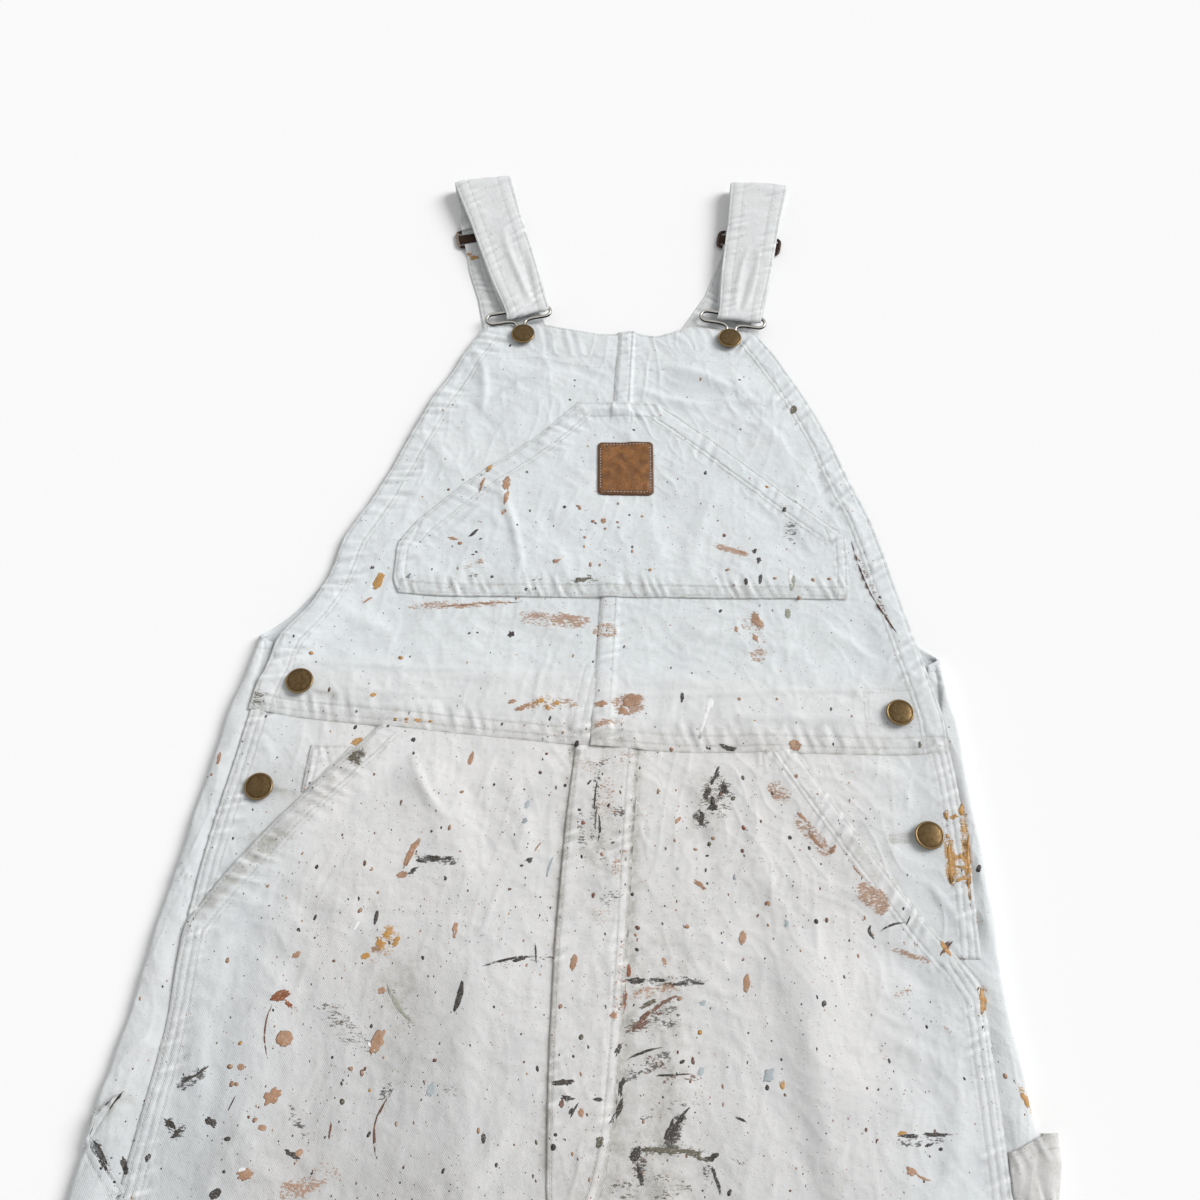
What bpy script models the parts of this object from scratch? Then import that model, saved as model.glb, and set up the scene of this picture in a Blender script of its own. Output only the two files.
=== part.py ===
"""White painter's bib overalls laid flat on their back: the pieces that are cut and sewn, as closed solids.

Lay frame, in millimetres: u runs to the right, v up the garment from the crotch to the straps, and
z up from the surface it lies on. place() turns that into metres about the middle of the garment.
"""
import math

import bmesh
import bpy
from mathutils import Vector

MM = 0.001                   # millimetres to metres

# Driving sizes of the garment.
HEM_V = -820.0               # leg hems
CROTCH_V = -30.0             # where the four panels meet
WAIST_V = 300.0              # seam between the bib and the fronts
STRAP_TOP_V = 857.7          # outermost corner of the folded straps
MIDDLE_V = 0.5 * (HEM_V + STRAP_TOP_V)
HEM_INSEAM = 82.0            # from the middle of the garment to the inner edge of a hem
INSEAM_BOW = 14.0            # how far an inseam swings out on the way down
CENTRE_LEAN = 0.0215         # the centre seams lean to the right going up
CENTRE_WAIST = 4.0           # where they cross the waist

# Cloth and the clearances between layers.
CLOTH = 1.3                  # drill, one ply with its hem and seam turnings averaged in
LEATHER = 1.6                # patch
SEAM_GAP = 0.3               # clearance between pieces
STEP = CLOTH + SEAM_GAP      # one layer up
FOLD_RADIUS = 3.1            # outer radius of the side folds
BIB_REST = 3.4               # underside of the bib over the high back
FRONT_REST = 5.2             # underside of the fronts over the seat
WAIST_LIFT = 5.3             # extra height of the bib where it laps the fronts
SIDE_LIFT = 1.5              # extra height at side seams that lap the folded-over backs
MIDDLE_SETTLE = (334.0, 66.0)    # the bib's middle comes down from this v over this length
SIDE_SETTLE = (345.0, 90.0)      # and its sides from here
BIB_FOLDS_START = 605.0      # above the bib pocket the bib takes up the folds

# Trim sizes.
STRAP_WIDTH = 44.0
STRAP_FOLD_RADIUS = 7.0      # middle of the outer ply where a strap folds over
STRAP_FOLD_STEP = 30         # degrees
WIRE_RADIUS = 1.3
HOOK_TURNS = (14.0, -8.0)    # each hook leans with its strap, in degrees
HOOK_REACH = 27.0            # from the button to the bar that carries the strap
HOOK_HALF_WIDTH = 27.8
HOOK_BEND = 5.2
HOOK_NECK = 3.6              # half width of the neck above the keyhole
HOOK_LIFT = 1.2              # the bar lies this much higher than the keyhole
BUTTON_RADIUS = 10.0
SHANK_RADIUS = 4.0
BUTTON_SEGMENTS = 20
SLIDER_SIZE = (58.0, 26.4)
SLIDER_THICKNESS = 1.6
SLIDER_FRAME = (3.6, 2.4)    # width of the side bars and of the end bars
SLIDER_MIDDLE = 3.0          # half width of the middle bar
SLIDER_ROW = 2               # row of a strap's rear course where its slider sits
PATCH_CENTRE = (15.8, 535.0)
PATCH_SIZE = (45.0, 50.0)
PATCH_TURN = 2.0

# Side edges of the bib: v, left, right.
BIB_ROWS = (
    (300.0, -249.0, 250.0), (325.0, -246.0, 249.0), (350.0, -240.0, 243.0), (376.0, -237.0, 237.0),
    (405.0, -217.0, 231.0), (435.0, -206.0, 224.0), (465.0, -201.0, 217.0), (500.0, -183.0, 207.0),
    (535.0, -170.0, 193.0), (570.0, -157.0, 181.0), (600.0, -146.0, 168.0), (628.0, -132.0, 154.0),
    (655.0, -121.0, 138.0), (678.0, -108.0, 122.0),
)
# Lower edge of the bib: u, rise over the waist line.
WAIST_EDGE = (
    (-250.0, 18.0), (-210.0, 13.0), (-160.0, 9.0), (-100.0, 6.0), (-20.0, 0.0),
    (60.0, -3.0), (145.0, 0.0), (200.0, 0.0), (250.0, 3.0),
)
# Bib pocket: v, left, right.
POCKET_ROWS = (
    (419.0, -153.0, 185.0), (428.0, -158.0, 188.0), (460.0, -158.5, 188.5), (481.0, -146.0, 188.0),
    (508.0, -120.0, 154.0), (532.0, -95.0, 126.0), (565.0, -55.0, 87.0), (600.0, -25.0, 42.0),
)
# Fronts: v, left edge and right edge of the pair; the slanted pocket mouths come first.
FRONT_ROWS = (
    (332.0, -136.0, 124.0), (306.0, -157.0, 141.0), (284.0, -176.0, 155.0), (262.0, -195.0, 170.0),
    (236.0, -217.0, 188.0), (212.0, -234.0, 205.0), (186.0, -252.0, 224.0), (165.0, -264.5, 241.0),
    (145.0, -264.5, 257.0), (100.0, -264.0, 259.0), (60.0, -267.0, 261.0), (15.0, -272.0, 262.5),
    (-30.0, -274.0, 264.0), (-90.0, -276.5, 267.0), (-160.0, -279.0, 270.5), (-230.0, -281.5, 273.5),
    (-310.0, -285.0, 277.0), (-390.0, -288.0, 281.0), (-470.0, -290.5, 284.5), (-560.0, -293.0, 288.5),
    (-650.0, -295.0, 292.0), (-740.0, -297.0, 295.0), (-820.0, -299.0, 298.0),
)
# Pocket facings behind the slanted mouths: v, outer edges of the left and the right one.
FACING_ROWS = (
    (330.0, -246.0, 247.0), (305.0, -249.0, 251.5), (275.0, -253.0, 254.5), (250.0, -256.5, 256.5),
    (225.0, -259.5, 257.5), (200.0, -262.0, 258.0), (178.0, -263.5, 258.0), (162.0, -264.0, 258.0),
)
FACING_UNDERLAP = 20.0       # how far a facing reaches in behind the mouth
FACING_COLUMNS = (0.0, 0.18, 0.45, 0.72, 1.0)
MOUTH_FOOT_V = 145.0         # the mouths end at the side seams here
# Side folds of the garment, the outline that shows: v, left, right.
FOLD_ROWS = (
    (372.0, -254.0, 253.0), (345.0, -258.0, 257.0), (310.0, -267.0, 261.5), (262.0, -272.5, 266.0),
    (212.0, -279.0, 269.5), (165.0, -285.5, 272.5), (120.0, -290.0, 275.0), (85.0, -295.0, 280.0),
    (55.0, -299.5, 283.5), (15.0, -303.0, 285.5), (-30.0, -305.0, 289.0), (-90.0, -306.5, 293.5),
    (-180.0, -307.5, 297.5), (-300.0, -308.5, 301.0), (-430.0, -309.5, 304.5), (-560.0, -310.5, 307.5),
    (-690.0, -311.5, 310.0), (-820.0, -312.0, 312.0),
)
WRAP_UNDERLAP = 6.0          # how far the backs reach in under the side seams
# Free edge of the high back, hidden behind the bib: v, left, right.
HIGH_BACK_ROWS = (
    (398.0, -231.0, 229.0), (430.0, -209.0, 208.0), (475.0, -186.0, 185.0), (530.0, -160.0, 158.0),
    (590.0, -135.0, 131.0), (640.0, -113.0, 110.0),
)
EDGE_TURN_STEPS = 5          # rows in which that edge runs round the side fold
# Fly flap, closed over the centre seam: v, free left edge, right edge.
FLY_ROWS = (
    (314.0, -12.0, 33.0), (290.0, -13.5, 32.0), (245.0, -17.0, 30.0), (160.0, -20.0, 28.0),
    (100.0, -20.0, 26.0), (50.0, -18.5, 23.0), (15.0, -17.0, 16.0), (-8.0, -14.0, 6.0),
)
# Watch pocket on the left facing: v, left, right.
WATCH_ROWS = ((293.0, -200.0, -170.5), (272.0, -201.0, -188.5), (258.0, -201.5, -199.5))
# Tool pocket on the left thigh: v, front edge.
TOOL_ROWS = (
    (60.0, -284.0), (55.0, -281.0), (35.0, -275.5), (15.0, -273.5), (-30.0, -275.5), (-90.0, -278.0),
    (-150.0, -280.0),
)
TOOL_TURNS = (0.0, 30.0, 60.0, 90.0, 112.0)      # round the side fold, in degrees
# Hammer loop on the right thigh, across its band: u, z, and how far its upper edge is cut back in v.
LOOP_SECTION = (
    (264.4, 7.15, -12.0), (270.5, 7.3, -9.0), (279.0, 9.8, -4.0), (286.5, 11.4, -1.0),
    (292.0, 9.6, 0.0), (294.2, 5.6, 0.0), (292.4, 2.2, 0.0), (289.0, 0.65, 0.0), (286.3, 0.65, 0.0),
)
LOOP_ENDS = (14.0, 60.0)
# Largest folds: u0, v0, u1, v1, half width, height.
FOLDS = (
    (-100.0, 632.0, -58.0, 624.0, 13.0, 2.2),
    (62.0, 630.0, 118.0, 618.0, 13.0, 2.2),
    (-112.0, 272.0, -84.0, 212.0, 22.0, 3.0),
    (-112.0, 120.0, -128.0, -60.0, 30.0, -1.6),
    (128.0, 140.0, 118.0, -60.0, 34.0, 3.6),
    (-205.0, 90.0, -222.0, -140.0, 30.0, 3.4),
    (206.0, 60.0, 214.0, -160.0, 28.0, 3.2),
    (-52.0, -78.0, -205.0, -150.0, 24.0, 5.0),
    (54.0, -82.0, 212.0, -176.0, 24.0, 5.0),
    (-86.0, -190.0, -196.0, -262.0, 24.0, 4.2),
    (92.0, -214.0, 200.0, -258.0, 24.0, 4.4),
    (-246.0, -345.0, -128.0, -408.0, 26.0, 4.8),
    (112.0, -380.0, 248.0, -352.0, 26.0, 4.6),
    (-238.0, -470.0, -120.0, -455.0, 22.0, 3.6),
    (124.0, -478.0, 236.0, -520.0, 24.0, 4.0),
    (-206.0, -560.0, -178.0, -790.0, 28.0, 4.0),
    (202.0, -590.0, 186.0, -800.0, 28.0, 4.2),
)
# Rear course of each strap, from the fold down to the high back: u, v, turn in degrees, width.
REAR_LEFT = (
    (-121.0, 845.0, 14.0, 44.0), (-118.5, 815.0, 12.0, 44.0), (-115.0, 783.0, 14.0, 44.0),
    (-107.0, 748.0, 18.0, 44.0), (-96.0, 715.0, 16.0, 44.0), (-83.0, 680.0, 8.0, 54.0),
    (-76.0, 648.0, 3.0, 68.0), (-73.0, 608.0, 0.0, 74.0),
)
REAR_RIGHT = (
    (128.0, 845.0, -3.0, 44.0), (124.0, 815.0, -6.0, 44.0), (119.0, 783.0, -9.0, 44.0),
    (111.0, 748.0, -15.0, 44.0), (102.0, 715.0, -15.0, 46.0), (88.0, 680.0, -10.0, 56.0),
    (75.0, 648.0, -3.0, 68.0), (71.0, 608.0, 0.0, 74.0),
)
# Front course of a strap from the fold to the hook: share of the way, half spacing of its two plies.
FRONT_COURSE = ((0.3, 0.8), (0.62, 0.8), (0.86, 1.0))
# Buttons: name, u, v, height of the head's underside over the cloth.
BUTTONS = (
    ("button_bib_left", -75.0, 667.0, 3.3), ("button_bib_right", 100.0, 669.0, 3.3),
    ("button_waist_left", -214.0, 339.0, 1.4), ("button_waist_right", 217.0, 331.0, 1.4),
    ("button_hip_left", -231.0, 260.0, 1.4), ("button_hip_right", 231.0, 243.0, 1.4),
)
# Head of a button: radius, height over its underside.
HEAD_PROFILE = ((9.0, 0.0), (10.0, 0.9), (9.6, 1.8), (8.0, 2.2), (4.5, 2.4))


def clear_scene():
    """Remove every object of the scene."""
    for item in list(bpy.data.objects):
        bpy.data.objects.remove(item, do_unlink=True)


def place(u, v, z):
    """Lay frame in millimetres to the part's own frame in metres."""
    return Vector((u * MM, (v - MIDDLE_V) * MM, z * MM))


def smooth(t):
    """Ease from 0 to 1."""
    t = min(max(t, 0.0), 1.0)
    return t * t * (3.0 - 2.0 * t)


def lookup(rows, key, column):
    """Read a table by its first column, with straight lines between rows."""
    ordered = sorted(rows)
    if key <= ordered[0][0]:
        return ordered[0][column]
    for low, high in zip(ordered, ordered[1:]):
        if key <= high[0]:
            t = (key - low[0]) / (high[0] - low[0])
            return low[column] + t * (high[column] - low[column])
    return ordered[-1][column]


def centre_line(v):
    """Centre seam of the bib, the fronts and the seat."""
    return CENTRE_WAIST + CENTRE_LEAN * (v - WAIST_V)


def inseam(v, side):
    """Inner edge of a leg; above the crotch it is the centre seam."""
    if v >= CROTCH_V:
        return centre_line(v) + side * 0.5 * SEAM_GAP
    t = (CROTCH_V - v) / (CROTCH_V - HEM_V)
    swing = HEM_INSEAM * t + INSEAM_BOW * math.sin(math.pi * t)
    return centre_line(CROTCH_V) * (1.0 - t) + side * (0.5 * SEAM_GAP + swing)


def rise(u, v):
    """Height added by the largest folds: a soft bell across each, fading out at its ends."""
    total = 0.0
    for u0, v0, u1, v1, width, height in FOLDS:
        start = Vector((u0, v0))
        run = Vector((u1, v1)) - start
        along = (Vector((u, v)) - start).dot(run) / run.length_squared
        nearest = start + run * min(max(along, 0.0), 1.0)
        distance = (Vector((u, v)) - nearest).length
        total += height * math.exp(-((distance / width) ** 2))
    return total


def side_lap(u, v, rows, hold, reach):
    """1 from the side edges of a piece in to hold, easing to 0 over reach."""
    left = lookup(rows, v, 1)
    right = lookup(rows, v, 2)
    return 1.0 - smooth((min(u - left, right - u) - hold) / reach)


def front_floor(u, v):
    """Underside of the fronts: over the facings at the mouths, over the backs at the side seams,
    and down on the backs at the inseams."""
    lap = side_lap(u, v, FRONT_ROWS, FACING_UNDERLAP + 2.0, 22.0)
    corner = side_lap(u, v, FACING_ROWS, 16.0, 24.0) * smooth((v - 100.0) / (MOUTH_FOOT_V - 100.0))
    floor = FRONT_REST + STEP * (lap + corner) + rise(u, v)
    if v >= CROTCH_V:
        return floor
    from_inseam = min(abs(u - inseam(v, -1.0)), abs(u - inseam(v, 1.0)))
    return STEP + (floor - STEP) * smooth(from_inseam / 16.0)


def facing_floor(u, v):
    """Underside of the pocket facings: over the backs at the side seams."""
    return FRONT_REST + SIDE_LIFT * side_lap(u, v, FACING_ROWS, 12.0, 22.0)


def bib_floor(u, v):
    """Underside of the bib: over the fronts at the waist, then down on the high back."""
    side = side_lap(u, v, BIB_ROWS, 12.0, 30.0)
    middle_band = 1.0 - smooth((v - MIDDLE_SETTLE[0]) / MIDDLE_SETTLE[1])
    side_band = 1.0 - smooth((v - SIDE_SETTLE[0]) / SIDE_SETTLE[1])
    band = middle_band * (1.0 - side) + side_band * side
    folds = rise(u, v) * smooth((v - BIB_FOLDS_START) / 20.0)
    return BIB_REST + (WAIST_LIFT + SIDE_LIFT * side) * band + folds


def lifted(floor, layers):
    """The floor that lies so many layers over another."""
    return lambda u, v: floor(u, v) + layers * STEP


def finish(name, colour, roughness, metallic=0.0):
    """Principled material with one colour, roughness and metallic value."""
    material = bpy.data.materials.new(name)
    material.use_nodes = True
    shader = material.node_tree.nodes["Principled BSDF"]
    shader.inputs["Base Color"].default_value = (*colour, 1.0)
    shader.inputs["Roughness"].default_value = roughness
    shader.inputs["Metallic"].default_value = metallic
    return material


def link(name, data, coat):
    """Link a mesh or a curve as one named object with its finish."""
    data.materials.append(coat)
    thing = bpy.data.objects.new(name, data)
    bpy.context.scene.collection.objects.link(thing)


def mesh_piece(name, shape, coat, sharp_angle):
    """Turn a bmesh into a named object, faces outwards, rounded below an angle in degrees."""
    bmesh.ops.recalc_face_normals(shape, faces=shape.faces[:])
    mesh = bpy.data.meshes.new(name)
    shape.to_mesh(mesh)
    shape.free()
    mesh.shade_smooth()
    mesh.set_sharp_from_angle(angle=math.radians(sharp_angle))
    link(name, mesh, coat)


def closed_shell(name, lower, upper, coat):
    """Close two equal grids of points into one wall, with a rim along all four edges."""
    rows = len(lower)
    columns = len(lower[0])
    shape = bmesh.new()
    low = [[shape.verts.new(point) for point in row] for row in lower]
    high = [[shape.verts.new(point) for point in row] for row in upper]
    for i in range(rows - 1):
        for j in range(columns - 1):
            shape.faces.new((low[i][j], low[i + 1][j], low[i + 1][j + 1], low[i][j + 1]))
            shape.faces.new((high[i][j], high[i][j + 1], high[i + 1][j + 1], high[i + 1][j]))
    for i in range(rows - 1):
        for j in (0, columns - 1):
            shape.faces.new((low[i][j], low[i + 1][j], high[i + 1][j], high[i][j]))
    for j in range(columns - 1):
        for i in (0, rows - 1):
            shape.faces.new((low[i][j], low[i][j + 1], high[i][j + 1], high[i][j]))
    bmesh.ops.triangulate(shape, faces=shape.faces[:])
    mesh_piece(name, shape, coat, 40.0)


def sheet(name, grid, floor, coat, thickness=CLOTH):
    """A piece of cloth over a grid of (u, v) points, its underside on a floor function."""
    lower = [[place(u, v, floor(u, v)) for u, v in row] for row in grid]
    upper = [[place(u, v, floor(u, v) + thickness) for u, v in row] for row in grid]
    closed_shell(name, lower, upper, coat)


def wall(name, profiles, coat):
    """A ply over rows of (u, v, z, du, dz): a point of its face and the direction of its thickness."""
    lower = [[place(u, v, z) for u, v, z, _, _ in row] for row in profiles]
    upper = [[place(u + du * CLOTH, v, z + dz * CLOTH) for u, v, z, du, dz in row] for row in profiles]
    closed_shell(name, lower, upper, coat)


def spread(outer, inner, close, near, columns):
    """Points from an outer edge to an inner one: at close and near to the edge, then even steps."""
    way = inner - outer
    toward = math.copysign(1.0, way)
    rest = way - toward * near
    even = [outer + toward * near + rest * k / (columns - 3) for k in range(columns - 2)]
    return [outer, outer + toward * close] + even


def across(rows, columns):
    """Grid over a table of v, left, right, with even columns."""
    return [[(left + (right - left) * k / columns, v) for k in range(columns + 1)] for v, left, right in rows]


def section_lengths(v, side, column):
    """Flat run of a back's section from its inner edge to the side fold, and the fold's own length."""
    fold = lookup(FOLD_ROWS, v, column)
    return side * (fold - inseam(v, side)) - FOLD_RADIUS, math.pi * FOLD_RADIUS


def back_reaches(side, column):
    """Rows of a back: v, and the length of its section from the inner edge to its outer one."""
    rows = []
    for v, _, _ in reversed(FOLD_ROWS):
        seam = lookup(FACING_ROWS if v > FACING_ROWS[-1][0] else FRONT_ROWS, v, column)
        flat, turn = section_lengths(v, side, column)
        folded_over = side * (lookup(FOLD_ROWS, v, column) - seam) + WRAP_UNDERLAP - FOLD_RADIUS
        rows.append((v, flat + turn + folded_over))
    last_v, last_reach = rows[-1]
    free = [(row[0], side * (row[column] - inseam(row[0], side))) for row in HIGH_BACK_ROWS]
    for k in range(1, EDGE_TURN_STEPS):
        t = k / EDGE_TURN_STEPS
        v = last_v + (free[0][0] - last_v) * t * (0.55 + 0.45 * t)
        rows.append((v, last_reach + (free[0][1] - last_reach) * t))
    return rows + free


def back_columns(v, side, column, reach):
    """Distances along a section: even over the flat, close round the fold, two on what is folded over."""
    flat, turn = section_lengths(v, side, column)
    whole = max(reach, flat + turn + 8.0)
    nominal = [flat * k / 7.0 for k in range(8)]
    nominal += [flat + turn * k / 5.0 for k in range(1, 6)]
    nominal += [flat + turn + (whole - flat - turn) * k / 2.0 for k in (1, 2)]
    return [run * reach / whole for run in nominal]


def wrap_point(v, side, column, run):
    """Point and inward direction at a distance along a section of a back: flat, round the fold, back in."""
    flat, turn = section_lengths(v, side, column)
    fold = lookup(FOLD_ROWS, v, column)
    if run <= flat:
        return inseam(v, side) + side * run, v, 0.0, 0.0, 1.0
    if run <= flat + turn:
        angle = (run - flat) / FOLD_RADIUS
        u = fold - side * FOLD_RADIUS * (1.0 - math.sin(angle))
        return u, v, FOLD_RADIUS * (1.0 - math.cos(angle)), -side * math.sin(angle), math.cos(angle)
    return fold - side * (FOLD_RADIUS + run - flat - turn), v, 2.0 * FOLD_RADIUS, 0.0, -1.0


def build_backs(coat):
    """Seat and leg in one with the high back: flat below, folded round and up to the side seam."""
    for side, column, name in ((-1.0, 1, "back_left"), (1.0, 2, "back_right")):
        profiles = []
        for v, reach in back_reaches(side, column):
            runs = back_columns(v, side, column, reach)
            profiles.append([wrap_point(v, side, column, run) for run in runs])
        wall(name, profiles, coat)


def build_fronts(coat):
    """Two fronts, from behind the bib down to the hems, cut away at the pocket mouths."""
    for side, column, name in ((-1.0, 1, "front_left"), (1.0, 2, "front_right")):
        grid = []
        for row in FRONT_ROWS:
            line = spread(row[column], inseam(row[0], side), FACING_UNDERLAP + 2.0, 44.0, 11)
            grid.append([(u, row[0]) for u in line])
        sheet(name, grid, front_floor, coat)


def build_facings(coat):
    """Hip panels that show above the slanted pocket mouths and carry the hip buttons."""
    for side, column, name in ((-1.0, 1, "pocket_facing_left"), (1.0, 2, "pocket_facing_right")):
        grid = []
        for row in FACING_ROWS:
            outer = row[column]
            inner = lookup(FRONT_ROWS, row[0], column) - side * FACING_UNDERLAP
            grid.append([(outer + (inner - outer) * t, row[0]) for t in FACING_COLUMNS])
        sheet(name, grid, facing_floor, coat)


def build_bib(coat):
    """Two halves of the bib, joined by the felled seam in the middle."""
    for side, column, name in ((-1.0, 1, "bib_left"), (1.0, 2, "bib_right")):
        grid = []
        for row in BIB_ROWS:
            v = row[0]
            line = spread(row[column], centre_line(v) + side * 0.5 * SEAM_GAP, 11.0, 36.0, 10)
            easing = 1.0 - smooth((v - WAIST_V) / 60.0)
            grid.append([(u, v + easing * lookup(WAIST_EDGE, u, 1)) for u in line])
        sheet(name, grid, bib_floor, coat)


def build_overlays(coat):
    """Bib pocket, fly flap and watch pocket, each on the surface of its panel."""
    sheet("bib_pocket", across(POCKET_ROWS, 10), lifted(bib_floor, 1), coat)
    sheet("fly", across(FLY_ROWS, 3), lifted(front_floor, 1), coat)
    sheet("watch_pocket", across(WATCH_ROWS, 2), lifted(facing_floor, 1), coat)


def build_patch(coat):
    """Leather patch on the bib pocket."""
    turn = math.radians(PATCH_TURN)
    grid = []
    for q in (-0.5, 0.0, 0.5):
        line = []
        for p in (-0.5, 0.0, 0.5):
            over = p * PATCH_SIZE[0]
            up = q * PATCH_SIZE[1]
            u = PATCH_CENTRE[0] + over * math.cos(turn) - up * math.sin(turn)
            line.append((u, PATCH_CENTRE[1] + over * math.sin(turn) + up * math.cos(turn)))
        grid.append(line)
    sheet("leather_patch", grid, lifted(bib_floor, 2), coat, thickness=LEATHER)


def build_tool_pocket(coat):
    """Pocket on the left thigh: over the folded-over back and round its side fold."""
    radius = FOLD_RADIUS + SEAM_GAP
    profiles = []
    for v, edge in TOOL_ROWS:
        axis = lookup(FOLD_ROWS, v, 1) + FOLD_RADIUS
        top = FOLD_RADIUS + radius
        row = [(edge, v, top, 0.0, 1.0), (0.5 * (edge + axis), v, top, 0.0, 1.0)]
        for angle in TOOL_TURNS:
            out, up = -math.sin(math.radians(angle)), math.cos(math.radians(angle))
            row.append((axis + radius * out, v, FOLD_RADIUS + radius * up, out, up))
        profiles.append(row)
    wall("tool_pocket", profiles, coat)


def build_hammer_loop(coat):
    """Band from the right side seam out and round to the back, standing off the thigh."""
    columns = []
    for index, (u, z, cut_back) in enumerate(LOOP_SECTION):
        before = LOOP_SECTION[max(index - 1, 0)]
        after = LOOP_SECTION[min(index + 1, len(LOOP_SECTION) - 1)]
        run = Vector((after[0] - before[0], after[1] - before[1])).normalized()
        along = (LOOP_ENDS[0], 0.5 * sum(LOOP_ENDS), LOOP_ENDS[1] + cut_back)
        face_u, face_z = u + 0.5 * CLOTH * run.y, z - 0.5 * CLOTH * run.x
        columns.append([(face_u, v, face_z, -run.y, run.x) for v in along])
    wall("hammer_loop", columns, coat)


def lean(turn):
    """Directions up and across in the lay plane for a turn in degrees."""
    angle = math.radians(turn)
    return Vector((-math.sin(angle), math.cos(angle))), Vector((math.cos(angle), math.sin(angle)))


def hook_wire(index):
    """Button place of a hook and the height of its wire there."""
    _, u, v, _ = BUTTONS[index]
    return Vector((u, v)), bib_floor(u, v) + STEP + WIRE_RADIUS


def fold_over(rear, radius, angles):
    """Stations round the fold at the top of a strap, for a ply at this radius."""
    u, v, turn, _ = rear[0]
    up, _ = lean(turn)
    axis = 0.5 * CLOTH + STRAP_FOLD_RADIUS
    rows = []
    for angle in angles:
        spot = Vector((u, v)) + up * radius * math.sin(math.radians(angle))
        rows.append((spot.x, spot.y, axis - radius * math.cos(math.radians(angle)), turn, STRAP_WIDTH))
    return rows


def front_course(index, rear, face):
    """Stations of one ply from the fold down to the hook; face is 1 for the outer ply, -1 for the inner."""
    button, wire = hook_wire(index)
    bar = button + lean(HOOK_TURNS[index])[0] * HOOK_REACH
    top = Vector(rear[0][:2])
    high = 0.5 * CLOTH + 2.0 * STRAP_FOLD_RADIUS - 0.5 * STEP
    rows = []
    for t, half_gap in FRONT_COURSE:
        spot = top.lerp(bar, t)
        z = high + (wire + HOOK_LIFT - high) * t + face * half_gap
        turn = rear[0][2] + (HOOK_TURNS[index] - rear[0][2]) * t
        rows.append((spot.x, spot.y, z, turn, STRAP_WIDTH))
    return rows


def eye_course(index):
    """Stations of the ply round the bar of its hook, from its upper side to its lower one."""
    button, wire = hook_wire(index)
    up, _ = lean(HOOK_TURNS[index])
    radius = WIRE_RADIUS + SEAM_GAP + 0.5 * CLOTH
    rows = []
    for angle in range(0, 181, 36):
        spot = button + up * (HOOK_REACH - radius * math.sin(math.radians(angle)))
        z = wire + HOOK_LIFT + radius * math.cos(math.radians(angle))
        rows.append((spot.x, spot.y, z, HOOK_TURNS[index], STRAP_WIDTH))
    return rows


def slider_course(rear, stations):
    """Stations of a ply near the slider, each a distance up the strap from its middle bar and a height."""
    u, v, turn, _ = rear[SLIDER_ROW]
    up, _ = lean(turn)
    return [(u + up.x * step, v + up.y * step, z, turn, STRAP_WIDTH) for step, z in stations]


def strap_course(index, rear):
    """The whole band: from the high back through the slider, over the fold, round the hook's bar,
    and back over the fold on to the slider. Each station is u, v, z, turn, width."""
    low = 0.5 * CLOTH
    over = STEP + SLIDER_THICKNESS + SEAM_GAP + low
    end_bar = 0.5 * SLIDER_SIZE[1]
    inner_edge = end_bar - SLIDER_FRAME[1] - SEAM_GAP
    middle = SLIDER_MIDDLE + 0.5
    sewn = Vector(rear[-3]) * 0.35 + Vector(rear[-2]) * 0.65
    beyond = (rear[1][0], rear[1][1] + 6.0)
    course = [(rear[-1][0], rear[-1][1], STEP + low, *rear[-1][2:]),
              (rear[-2][0], rear[-2][1] - 4.0, STEP + low, *rear[-2][2:]),
              (sewn[0], sewn[1], low, sewn[2], sewn[3])]
    course += [(u, v, low, turn, width) for u, v, turn, width in reversed(rear[SLIDER_ROW + 1:-2])]
    course += slider_course(rear, (
        (-20.0, low), (-end_bar - 0.6, over), (-inner_edge, over), (-middle, low),
        (middle, low), (inner_edge, over), (end_bar + 0.6, over), (21.0, 1.2),
    ))
    course.append((*beyond, low, *rear[1][2:]))
    course += fold_over(rear, STRAP_FOLD_RADIUS, range(0, 181, STRAP_FOLD_STEP))
    course += front_course(index, rear, 1.0)
    course += eye_course(index)
    course += reversed(front_course(index, rear, -1.0))
    course += fold_over(rear, STRAP_FOLD_RADIUS - STEP, range(180, -1, -STRAP_FOLD_STEP))
    course.append((*beyond, low + STEP, *rear[1][2:]))
    course += slider_course(rear, (
        (21.0, 1.2 + STEP), (end_bar + 0.6, over + STEP), (inner_edge - 0.5, over + STEP),
        (SLIDER_MIDDLE, over), (-SLIDER_MIDDLE, over),
    ))
    return course


def build_straps(coat):
    """Two straps, each one long band."""
    for index, rear, name in ((0, REAR_LEFT, "strap_left"), (1, REAR_RIGHT, "strap_right")):
        course = strap_course(index, rear)
        lower = []
        upper = []
        for k, (u, v, z, turn, width) in enumerate(course):
            before = Vector(course[max(k - 1, 0)][:3])
            after = Vector(course[min(k + 1, len(course) - 1)][:3])
            sideways = lean(turn)[1].to_3d()
            normal = sideways.cross((after - before).normalized()).normalized() * 0.5 * CLOTH
            spot = Vector((u, v, z))
            edges = (spot - sideways * 0.5 * width, spot + sideways * 0.5 * width)
            lower.append([place(*(edge - normal)) for edge in edges])
            upper.append([place(*(edge + normal)) for edge in edges])
        closed_shell(name, lower, upper, coat)


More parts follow.
